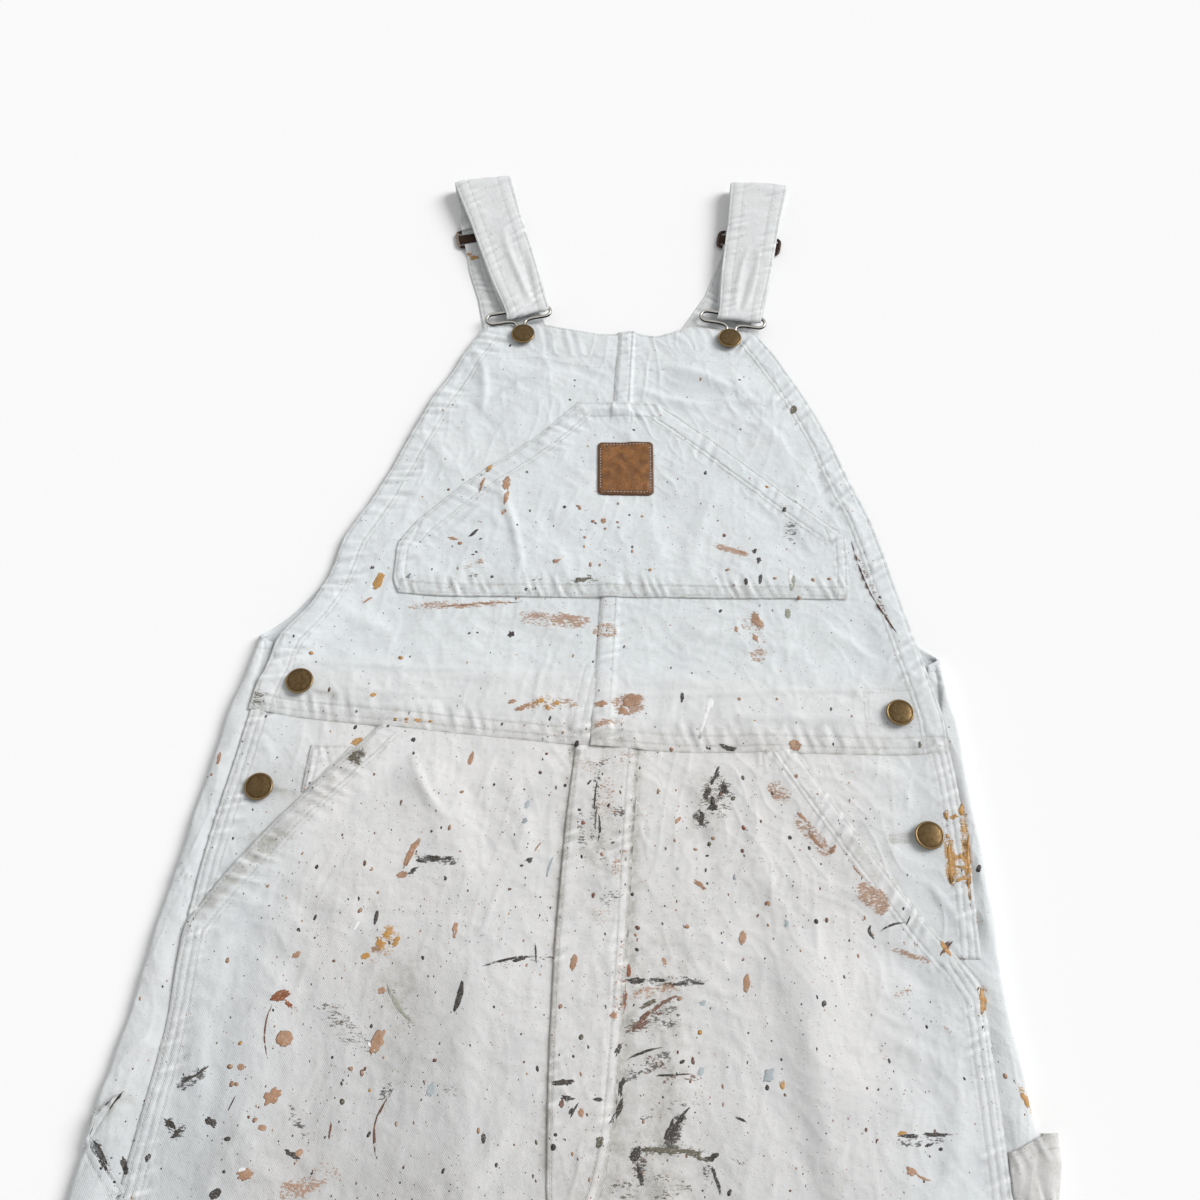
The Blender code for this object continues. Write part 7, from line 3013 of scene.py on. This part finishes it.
        (152, 599, 8, 5.6, 76, 0.25, 0), (-14, 433, 13, 3.4, 12, 0.5, 0.6),
        (4, 246, 17, 1.3, 88, 0.3, 0.6), (56, 41, 30, 3.6, 4, 0.6, 0), (74, 38, 12, 2.6, 170, 0.6, 0),
        (14, 44, 6, 5, 80, 0.4, 0), (-168, 286, 8, 3, 60, 0.6, 0), (-165, 281, 6, 3.4, 120, 0.6, 0),
        (105, 280, 4, 2.4, 80, 0.4, 0), (98, 265, 4, 3, 60, 0.4, 0), (42, 126, 12, 3, 30, 0.6, 0),
        (0, 104, 4, 3, 80, 0.3, 0),
    ),
    Paint.OCHRE: (
        (-210, 363, 3.6, 3, 0, 0.3, 0), (-144, 362, 4.4, 3.4, 0, 0.3, 0),
        (-160, 331, 4.6, 2.8, 10, 0.3, 0), (-142, 313, 3.6, 2.4, 0, 0.4, 0),
        (-134, 313.6, 3, 2.2, 0, 0.4, 0), (-126, 313, 4.6, 3, 0, 0.4, 0), (-117, 313, 3, 2.2, 0, 0.4, 0),
        (-93, 531, 7, 4.4, 60, 0.5, 0), (30, 491, 2.4, 2, 0, 0.2, 0), (128, 522, 3, 2.4, 0, 0.3, 0),
        (37, 443, 3, 2.6, 0, 0.3, 0), (-168, 297, 8.5, 4.4, 30, 0.4, 0), (-143, 149, 6, 4, 20, 0.4, 0),
        (-130, 164, 9, 4, 40, 0.7, 0), (-134, 157, 8, 5, 120, 0.7, 0), (-124, 159, 7, 4, 70, 0.7, 0),
        (-214, 92, 3, 2.4, 0, 0.3, 0), (256, 136, 16, 5, 84, 0.3, 0), (244, 258, 3.4, 8, 0, 0.4, 0),
        (243.5, 243.5, 3.4, 3, 0, 0.3, 0), (244, 224, 24, 5, 88, 0.6, 0), (255, 262, 9, 4, 80, 0.4, 0),
        (255.5, 224, 38, 4.4, 87, 0.55, 0.6), (249, 257, 6, 3, 30, 0.6, 0),
        (251, 229, 10, 2.4, 10, 0.6, 0), (251, 222, 9, 2.2, 170, 0.6, 0), (250, 214, 9, 2.6, 20, 0.6, 0),
        (235, 168, 11, 3.4, 120, 0.4, 0), (276, 78, 11, 3, 118, 0.4, 0), (281, 69, 9, 2.4, 112, 0.4, 0),
        (198, 56, 6, 2.2, 10, 0.4, 0), (75, 110, 3.4, 3, 0, 0.3, 0), (-40, 331, 6, 4, 20, 0.6, 0),
        (-34, 326, 5, 3, 130, 0.6, 0), (-28, 330, 5, 3, 30, 0.6, 0), (-169, 427, 15, 6.6, 72, 0.22, 0),
    ),
    Paint.RUST: (
        (236.5, 168, 6, 2, 60, 0.4, 0), (-194, 122, 12, 6.6, 24, 0.3, 0),
        (-188, 117, 7, 2.6, 130, 0.7, 0), (29, 146, 8, 3, 88, 0.5, 0), (27, 128, 12, 2.4, 88, 0.5, 0),
        (-5, 243, 3.4, 2.6, 0, 0.3, 0), (105, 244, 4, 3, 80, 0.4, 0),
    ),
    Paint.SLATE: (
        (-44, 255, 6, 3.6, 70, 0.3, 0), (-45, 243, 4.6, 3, 60, 0.3, 0), (-26, 212, 14, 2, 76, 0.3, 0.5),
        (77, 128, 5, 3, 30, 0.4, 0), (76, 87, 5, 4, 60, 0.4, 0), (118, 86, 9, 6, 60, 0.4, 0),
        (-92, 70, 8, 5, 80, 0.4, 0),
    ),
    Paint.MOSS: (
        (145, 436, 13, 4.4, 82, 0.3, 0), (141, 411, 8.5, 4.4, 84, 0.25, 0), (12, 480, 2.4, 2, 0, 0.3, 0),
        (-118, 120, 26, 2.6, 130, 0.5, 1), (60, 214, 3, 2, 60, 0.3, 0),
    ),
    Paint.BROWN: (
        (108, 626, 2.6, 2.2, 0, 0.2, 0), (236, 168, 16, 1.6, 48, 0.4, 0.5),
        (-163, 145, 2.4, 2, 0, 0.2, 0), (-151, 44, 9.5, 1.5, 88, 0.3, 0), (46, 122, 24, 3.4, 38, 0.7, 1),
        (36, 112, 14, 3, 30, 0.7, 0), (205, 435, 66, 0.9, 110, 0.5, 2.5),
        (-197, 100, 31, 1.1, 96, 0.3, 3), (4, 194, 3.6, 2.6, 80, 0.3, 0),
        (-113, 520, 2.2, 1.6, 0, 0.3, 0), (34, 174, 3.4, 3, 0, 0.3, 0), (-52, 196, 2.6, 1.8, 0, 0.3, 0),
        (236, 171, 6, 1.6, 40, 0.4, 0), (-120, 48, 33, 1.0, 84, 0.3, 4.5),
    ),
    Paint.WHITE: (
        (79, 322, 32, 2.8, 74, 0.3, 1), (82, 334, 9, 5, 80, 0.3, 0), (-200, 20, 5, 4, 20, 0.4, 0),
        (-131, 94, 8, 4, 140, 0.5, 0), (144, 440, 20, 3, 88, 0.3, 0), (-151, 168, 8, 1.4, 60, 0.3, 0),
    ),
}

# Dry-brushed marks, grainy on the weave: u, v, length, width, turn, cover.
BRUSHED = (Paint.TAN, Paint.CHARCOAL, Paint.OLIVE, Paint.OCHRE, Paint.BROWN, Paint.WHITE)
DRY: dict[Paint, tuple[tuple[float, ...], ...]] = {
    Paint.TAN: (
        (-70, -70, 44, 12, 10, 0.45), (134, -84, 50, 12, 172, 0.4), (-150, -130, 36, 10, 60, 0.36),
        (96, -200, 40, 12, 90, 0.3), (-104, -260, 44, 10, 150, 0.26), (170, -330, 30, 12, 20, 0.22),
        (-34, 399, 58, 12, 176, 0.5), (-24, 400, 34, 7, 176, 0.66), (5, 391, 12, 18, 80, 0.5),
        (99, 463, 26, 4, 162, 0.72), (112, 393, 34, 18, 128, 0.32), (118, 404, 14, 6, 120, 0.7),
        (118, 374, 14, 10, 30, 0.5), (-30, 329, 40, 7, 4, 0.45), (24, 331, 24, 14, 10, 0.6),
        (10, 316, 24, 6, 6, 0.5), (130, 270, 18, 12, 120, 0.5), (152, 240, 36, 9, 130, 0.5),
        (190, 199, 24, 14, 140, 0.62), (213, 163, 32, 3, 162, 0.5), (206, 140, 14, 3, 30, 0.4),
        (192, 100, 12, 3, 140, 0.4), (24, 140, 60, 7, 88, 0.35), (-165, 12, 26, 10, 8, 0.5),
        (46, 134, 34, 6, 14, 0.5), (10, 262, 30, 11, 82, 0.36), (21, 216, 22, 9, 70, 0.34),
        (10, 184, 20, 12, 90, 0.28), (-4, 284, 14, 8, 0, 0.32), (20, 292, 16, 6, 10, 0.4),
        (-90, 446, 24, 14, 20, 0.2), (-40, 448, 24, 8, 0, 0.2), (230, 118, 12, 2, 150, 0.4),
        (60, 200, 60, 30, 70, 0.06), (-20, 316, 30, 8, 0, 0.2), (-126, 408, 36, 4, 8, 0.5),
        (-96, 409, 60, 3, 7, 0.55), (-135, 148, 14, 16, 80, 0.3), (-190, 118, 20, 8, 140, 0.25),
        (-150, 20, 14, 16, 60, 0.34), (-96, 444, 20, 3, 25, 0.5), (-60, 446, 30, 4, 16, 0.24),
        (260, 190, 14, 4, 80, 0.3), (140, 505, 10, 3, 160, 0.3),
    ),
    Paint.CHARCOAL: (
        (-96, -92, 40, 9, 160, 0.4), (88, -120, 46, 8, 20, 0.4), (-168, -190, 30, 8, 100, 0.3),
        (124, -250, 34, 10, 150, 0.3), (62, -60, 30, 7, 80, 0.36), (-120, -330, 28, 8, 30, 0.24),
        (145, 483, 16, 9, 80, 0.5), (-145, 430, 9, 8, 0, 0.3), (86, 272, 20, 15, 70, 0.42),
        (76, 250, 14, 11, 90, 0.5), (84, 262, 30, 24, 70, 0.14), (52, 140, 60, 6, 2, 0.34),
        (3, 255, 60, 6, 88, 0.3), (40, 88, 44, 8, 24, 0.4), (60, 66, 50, 7, 18, 0.26),
        (38, 33, 22, 8, 100, 0.46), (-103, 214, 30, 5, 174, 0.55), (-80, 68, 20, 9, 80, 0.3),
        (-240, 70, 20, 7, 34, 0.5), (-246, 42, 14, 8, 150, 0.45), (-170, 46, 26, 6, 128, 0.4),
        (210, 52, 34, 6, 2, 0.36), (-150, 106, 46, 8, 144, 0.34), (80, 30, 26, 5, 84, 0.38),
        (-166, 284, 12, 9, 60, 0.5), (66, 150, 40, 30, 20, 0.08), (-40, 150, 40, 5, 10, 0.3),
        (-6, 236, 30, 5, 95, 0.36), (18, 250, 14, 8, 60, 0.38), (16, 193, 16, 7, 30, 0.36),
        (6, 288, 16, 6, 20, 0.34), (54, 114, 26, 5, 26, 0.4), (-80, 180, 46, 6, 170, 0.1),
        (50, 110, 60, 34, 30, 0.12), (30, 60, 26, 50, 80, 0.12), (-120, 66, 14, 6, 60, 0.4),
        (96, 36, 20, 14, 60, 0.24), (105, 457, 30, 20, 60, 0.1), (28, 250, 14, 50, 0, 0.1),
        (16, 190, 20, 60, 0, 0.08), (-286, 24, 26, 5, 128, 0.35), (60, 52, 20, 8, 66, 0.6),
    ),
    Paint.OLIVE: (
        (-241, 326, 14, 9, 80, 0.42), (86, 266, 26, 22, 70, 0.4), (-150, 105, 50, 17, 144, 0.34),
        (56, 41, 46, 6, 2, 0.42), (-14, 430, 20, 8, 0, 0.3), (-48, 432, 9, 5, 0, 0.4),
        (-97, 433, 6, 5, 0, 0.4), (-118, 118, 34, 8, 130, 0.3), (-166, 286, 14, 9, 50, 0.5),
        (44, 118, 42, 9, 30, 0.44), (88, 262, 30, 22, 60, 0.26), (10, 238, 60, 14, 92, 0.22),
        (-14, 433, 24, 7, 10, 0.35), (12, 300, 30, 7, 0, 0.16), (-20, 130, 8, 60, 0, 0.12),
        (44, 20, 60, 14, 4, 0.3), (-60, 60, 60, 50, 40, 0.04), (28, 236, 20, 70, 0, 0.1),
        (4, 262, 24, 40, 0, 0.12), (-288, 10, 16, 10, 60, 0.14), (230, 28, 20, 16, 0, 0.1),
    ),
    Paint.OCHRE: (
        (-130, 160, 19, 14, 60, 0.45), (-40, 330, 22, 7, 20, 0.35), (-169, 425, 18, 13, 72, 0.2),
        (-128, 313, 40, 4, 0, 0.25), (256, 136, 18, 6, 84, 0.4), (-114, 527, 9, 7, 0, 0.25),
        (244, 226, 34, 6, 88, 0.62), (255, 234, 56, 5, 88, 0.6), (250, 222, 14, 20, 0, 0.4),
        (-168, 297, 12, 6, 30, 0.3), (278, 76, 22, 4, 116, 0.5), (244, 96, 14, 8, 0, 0.06),
    ),
    Paint.BROWN: (
        (46, 121, 34, 5, 32, 0.34), (48, 92, 22, 4, 152, 0.4), (62, 82, 28, 4, 2, 0.4),
        (205, 438, 64, 2, 110, 0.4), (0, 40, 20, 60, 90, 0.05), (-114, 86, 8, 40, 0, 0.1),
        (28, 200, 10, 90, 0, 0.08),
    ),
    Paint.WHITE: ((-150, 200, 60, 30, 60, 0.1), (-120, 60, 60, 40, 60, 0.1), (36, 236, 40, 24, 70, 0.1)),
}

# Marks on the rear plies of the straps.
ON_STRAPS = ((-125.0, 757.5, 8.0, 5.0, 20.0, 0.4, 0.0), (-129.0, 760.0, 5.0, 3.0, 160.0, 0.4, 0.0))
SPECK_PAINTS = ((Paint.CHARCOAL, 0.42), (Paint.BROWN, 0.22), (Paint.TAN, 0.2), (Paint.OLIVE, 0.08),
                (Paint.OCHRE, 0.04), (Paint.SLATE, 0.04))


@dataclass
class Blobs:
    """Flat lenses of one dried paint: rounds of points whose radius wavers, closed by a sunk foot."""

    name: str
    rows: list[Array] = field(default_factory=list)

    def add(self, rows: Array) -> None:
        """Add marks: u, v, length, width, turn, raggedness, bow, height."""
        self.rows.append(np.asarray(rows, float).reshape(-1, 8))

    def build(self, surface: Height, finish: bpy.types.Material, seed: int) -> bpy.types.Object:
        """Rings of each mark on the cloth; the radius is an ellipse times one plus five wavers.

        Args:
            surface: height of the cloth.
            finish: the piece's material.
            seed: of the smallest marks' random draws.

        Returns:
            The mesh of all the marks.
        """
        rows = np.concatenate(self.rows)
        size = np.digitize(rows[:, 2], (1.9, 4.5))
        meshes = [self._lenses(rows[size == k], sides, rings, surface, seed + k)
                  for k, sides, rings in ((0, 6, ((0.0, 1.0),)), (1, 9, ((0.0, 1.0),)),
                                          (2, 36, ((0.84, 0.8), (0.4, 1.0), (0.0, 1.0))))]
        points = np.concatenate([mesh[0] for mesh in meshes])
        first = np.cumsum([0] + [len(mesh[0]) for mesh in meshes])
        triangles = np.concatenate([mesh[1] + start for mesh, start in zip(meshes, first)])
        thing = add_object(self.name, points, np.zeros((0, 4), int), triangles)
        thing.data.materials.append(finish)
        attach(thing, "root")
        return thing

    @staticmethod
    def _lenses(rows: Array, sides: int, inner: tuple[tuple[float, float], ...], surface: Height,
                seed: int) -> tuple[Array, Array]:
        """Points and triangles of the marks that take this many sides and these rings inside the rim.

        Args:
            rows: the marks.
            sides: points round each.
            inner: share of the radius and of the height for each ring inside the rim.
            surface: height of the cloth.
            seed: of the random draws.

        Returns:
            Points, and triangles as rows of three indices.
        """
        draw = np.random.default_rng(seed)
        angle = np.linspace(0.0, 2.0 * math.pi, sides, endpoint=False)
        u, v, length, width, turn, ragged, bow, height = (rows[:, k, None] for k in range(8))
        radius = np.ones((len(rows), sides))
        for beat in range(2, min(13, sides // 2)):
            size = draw.normal(0.0, 0.3, (len(rows), 1)) * ragged / math.sqrt(beat - 1.0)
            radius += size * np.cos(beat * angle + draw.uniform(0.0, 2.0 * math.pi, (len(rows), 1)))
        radius = np.clip(radius, 0.25, 1.8)
        heading = np.radians(turn)
        middle = surface(u, v)
        rings = []
        for share, lift in ((1.0, 0.15), *inner, (0.0, -3.0)):
            along = 0.5 * length * radius * np.cos(angle) * share
            over = 0.5 * width * radius * np.sin(angle) * share
            over = over + bow * (1.0 - (2.0 * along / length) ** 2)
            at_u = u + along * np.cos(heading) - over * np.sin(heading)
            at_v = v + along * np.sin(heading) + over * np.cos(heading)
            at_z = surface(at_u, at_v)
            at_z = np.maximum(np.where(at_z < 0.0, middle, at_z) + lift * height, 0.05)
            ring = np.stack([at_u, at_v, at_z], axis=-1)
            rings.append(ring if share else ring[:, :1])
        points = np.concatenate(rings, axis=1)
        k = np.arange(sides)
        after = np.roll(k, -1)
        top, foot = len(inner) * sides, len(inner) * sides + 1
        starts = [ring * sides for ring in range(len(inner) - 1)]
        local = [np.stack([k + low, after + low, k + low + sides], axis=1) for low in starts]
        local += [np.stack([after + low, after + low + sides, k + low + sides], axis=1) for low in starts]
        local.append(np.stack([k + top - sides, after + top - sides, np.full(sides, top)], axis=1))
        local.append(np.stack([after, k, np.full(sides, foot)], axis=1))
        local = np.concatenate(local)
        triangles = local[None] + points.shape[1] * np.arange(len(rows))[:, None, None]
        return points.reshape(-1, 3), triangles.reshape(-1, 3)


class Spatter:
    """House paint that stands up from the cloth: placed marks, splashes and fine drops."""

    SPECKS = 5200

    def __init__(self, garment: "Garment") -> None:
        """Start one empty mesh for each paint."""
        self.garment = garment
        self.blobs = {paint: Blobs("dried_" + paint.name.lower()) for paint in Paint}

    def _place(self, paint: Paint, rows: Array) -> None:
        """Keep only the marks that lie on cloth.

        Args:
            paint: which paint.
            rows: the marks.
        """
        rows = rows[self.garment.surface(rows[:, 0], rows[:, 1]) > 0.0]
        if len(rows):
            self.blobs[paint].add(rows)

    def _solid(self) -> None:
        """Placed marks."""
        for paint, marks in SOLID.items():
            rows = np.array(marks, float)
            self._place(paint, np.column_stack([rows, 0.12 + 0.012 * np.minimum(rows[:, 3], 8.0)]))

    def _splashes(self) -> None:
        """Larger drops down the legs, fewer and fewer towards the hems."""
        draw = np.random.default_rng(12)
        count = 150
        v = -50.0 - 620.0 * draw.uniform(0.0, 1.0, count) ** 2
        u = draw.uniform(-260.0, 260.0, count)
        width = np.clip(draw.lognormal(0.9, 0.5, count), 1.2, 7.0)
        rows = np.column_stack([
            u, v, width * draw.uniform(1.0, 3.4, count), width, draw.uniform(40.0, 150.0, count),
            draw.uniform(0.3, 0.8, count), np.zeros(count), np.full(count, 0.14)])
        choice = draw.choice(5, count, p=(0.4, 0.3, 0.12, 0.1, 0.08))
        for k, paint in enumerate((Paint.TAN, Paint.CHARCOAL, Paint.OLIVE, Paint.BROWN, Paint.OCHRE)):
            self._place(paint, rows[choice == k])

    def _specks(self) -> None:
        """Fine drops, thickest on the lap and the middle of the thighs."""
        draw = np.random.default_rng(5)
        u = draw.uniform(-300.0, 300.0, self.SPECKS)
        v = np.concatenate([draw.uniform(-60.0, 330.0, self.SPECKS * 6 // 10),
                            draw.uniform(300.0, 680.0, self.SPECKS * 3 // 10),
                            draw.uniform(-810.0, -60.0, self.SPECKS // 10)])
        keep = draw.uniform(0.0, 1.0, self.SPECKS) < spatter_at(u, v) * 0.9 + 0.12 * (v < -60.0)
        u, v = u[keep], v[keep]
        size = np.clip(draw.lognormal(-0.5, 0.6, len(u)), 0.3, 3.2)
        rows = np.column_stack([
            u, v, size * draw.uniform(1.0, 2.0, len(u)), size, draw.uniform(66.0, 114.0, len(u)),
            draw.uniform(0.1, 0.5, len(u)), np.zeros(len(u)), 0.10 + 0.02 * size])
        paints, shares = zip(*SPECK_PAINTS)
        choice = draw.choice(len(paints), len(rows), p=shares)
        for k, paint in enumerate(paints):
            self._place(paint, rows[choice == k])

    def build(self, finishes: dict[Paint, bpy.types.Material], straps: list[Strap]) -> None:
        """Make one joined mesh for each paint.

        Args:
            finishes: the material of each paint.
            straps: both straps, the left one first.
        """
        self._solid()
        self._splashes()
        self._specks()
        for seed, (paint, blobs) in enumerate(self.blobs.items()):
            thing = blobs.build(self.garment.surface, finishes[paint], 300 + 2 * seed)
            count = sum(len(rows) for rows in blobs.rows)
            log.info("%s: %d marks, %d faces", thing.name, count, len(thing.data.polygons))
        stain = Blobs("rust_on_strap")
        stain.add([(*row, 0.12) for row in ON_STRAPS])
        stain.build(straps[0].surface, finishes[Paint.OCHRE], 340)


# ---------------------------------------------------------------- the whole garment

class Garment:
    """The overalls: panels from the lowest up, straps, trim, stitches and paint."""

    def __init__(self) -> None:
        """Lay out the panels, lowest first, and the straps."""
        self.terrain = Terrain()
        self.backs = [Back(self.terrain, side) for side in (0, 1)]
        self.tool_pocket = ToolPocket(self.backs[0])
        panels = Fronts(self.terrain).panels() + Bib(self.terrain).panels()
        self.patch = Patch(self.terrain)
        self.sewn = [*self.backs, *panels, self.tool_pocket]
        self.layers = [*self.sewn, self.patch]
        self.straps = [Strap(self.terrain, side) for side in (0, 1)]

    def surface(self, u: Array, v: Array) -> Array:
        """Height of the uppermost cloth at each point, or -1 where there is none.

        Args:
            u: places across.
            v: places up.

        Returns:
            z at each point, or -1.
        """
        height = np.full(np.shape(u), -1.0)
        for layer in reversed(self.layers):
            here = layer.holds(u, v) & (height < 0.0)
            if here.any():
                height[here] = layer.top(u[here], v[here])
        return height

    def _uncovered(self, index: int) -> Callable[[Array, Array], Array]:
        """Test for the points of one layer that no higher layer covers.

        Args:
            index: place of the layer among the layers, lowest first.

        Returns:
            The test.
        """
        def shown(u: Array, v: Array) -> Array:
            """Whether this layer covers a point and nothing covers the layer there.

            Args:
                u: places across.
                v: places up.

            Returns:
                True where both hold.
            """
            seen = self.layers[index].holds(u, v)
            for above in self.layers[index + 1:]:
                seen = seen & ~above.holds(u, v)
            return seen
        return shown

    def build(self, finishes: Wardrobe) -> None:
        """Build every piece and report it.

        Args:
            finishes: every finish.
        """
        stitching = Stitching("stitches_cloth")
        loop_stitches = Stitching("stitches_loop")
        patch_stitches = Stitching("stitches_patch")
        made = []
        for index, layer in enumerate(self.sewn):
            made.append(layer.build(finishes.drill))
            layer.sew(stitching, self._uncovered(index))
        for strap in self.straps:
            made.append(strap.build(finishes.drill))
            strap.sew(loop_stitches)
        made.append(HammerLoop().build(finishes.drill, loop_stitches, self.backs[1].top))
        made.append(self.patch.build(finishes.leather, patch_stitches))
        made += [Hook(self.terrain, side).build(finishes.nickel) for side in (0, 1)]
        made += [Slider(side).build(finishes.antique) for side in (0, 1)]
        buttons = sorted(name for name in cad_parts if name.startswith("button"))
        made += [Button(name).build(finishes.brass) for name in buttons]
        for stitches in (stitching, loop_stitches, patch_stitches):
            thing = stitches.build(finishes.thread)
            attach(thing, "root")
            made.append(thing)
        for thing in made:
            log.info("%s: %d faces", thing.name, len(thing.data.polygons))
        Spatter(self).build(finishes.paint, self.straps)


@dataclass(frozen=True)
class Studio:
    """Pale floor, soft sky, a large lamp from the right and above, and the camera over the legs."""

    floor: tuple[int, int, int] = (250, 250, 250)
    sky: float = 0.46
    backdrop: float = 0.955
    lamp_strength: float = 2.64
    lamp_spread: float = 34.0
    lamp_aim: tuple[float, float, float] = (-0.72, -0.28, -0.64)
    camera_place: tuple[float, float, float] = (0.01593, -0.01854, 0.810)
    camera_aim: tuple[float, float, float] = (-0.01767, 0.4599, -0.8878)
    lens: float = 36.06

    def build(self) -> None:
        """Make the floor, the lights and the camera."""
        floor_mesh = bpy.data.meshes.new("floor")
        half = 8.0              # metres
        corners = [(-half, -half, 0.0), (half, -half, 0.0), (half, half, 0.0), (-half, half, 0.0)]
        floor_mesh.from_pydata(corners, [], [(0, 1, 2, 3)])
        floor = bpy.data.objects.new("floor", floor_mesh)
        bpy.context.scene.collection.objects.link(floor)
        g = Graph("studio_floor")
        floor_mesh.materials.append(g.finish(linear(self.floor), 1.0, Specular_IOR_Level=0.0))
        world = bpy.data.worlds.new("studio")
        world.use_nodes = True
        nodes, links = world.node_tree.nodes, world.node_tree.links
        background = nodes["Background"]
        background.inputs["Color"].default_value = (1.0, 1.0, 1.0, 1.0)
        path = nodes.new("ShaderNodeLightPath")
        seen = nodes.new("ShaderNodeMath")
        seen.operation = "MAXIMUM"
        links.new(path.outputs["Is Camera Ray"], seen.inputs[0])
        links.new(path.outputs["Is Glossy Ray"], seen.inputs[1])
        strength = nodes.new("ShaderNodeMapRange")
        strength.inputs["To Min"].default_value = self.sky
        strength.inputs["To Max"].default_value = self.backdrop
        links.new(seen.outputs[0], strength.inputs["Value"])
        links.new(strength.outputs[0], background.inputs["Strength"])
        bpy.context.scene.world = world
        light = bpy.data.lights.new("key", "SUN")
        light.angle = math.radians(self.lamp_spread)
        light.energy = self.lamp_strength
        lamp = bpy.data.objects.new("key", light)
        lamp.rotation_euler = Vector(self.lamp_aim).to_track_quat("-Z", "Y").to_euler()
        bpy.context.scene.collection.objects.link(lamp)
        lens = bpy.data.cameras.new("view")
        lens.lens = self.lens
        lens.sensor_width = 36.0
        camera = bpy.data.objects.new("view", lens)
        camera.location = self.camera_place
        camera.rotation_euler = Vector(self.camera_aim).to_track_quat("-Z", "Y").to_euler()
        bpy.context.scene.collection.objects.link(camera)
        bpy.context.scene.camera = camera
        bpy.context.scene.view_settings.view_transform = "Standard"


def main() -> None:
    """Build the garment, then the studio round it."""
    logging.basicConfig(level=logging.INFO, format="%(name)s: %(message)s")
    Garment().build(Wardrobe())
    Studio().build()


if __name__ == "__main__":
    main()
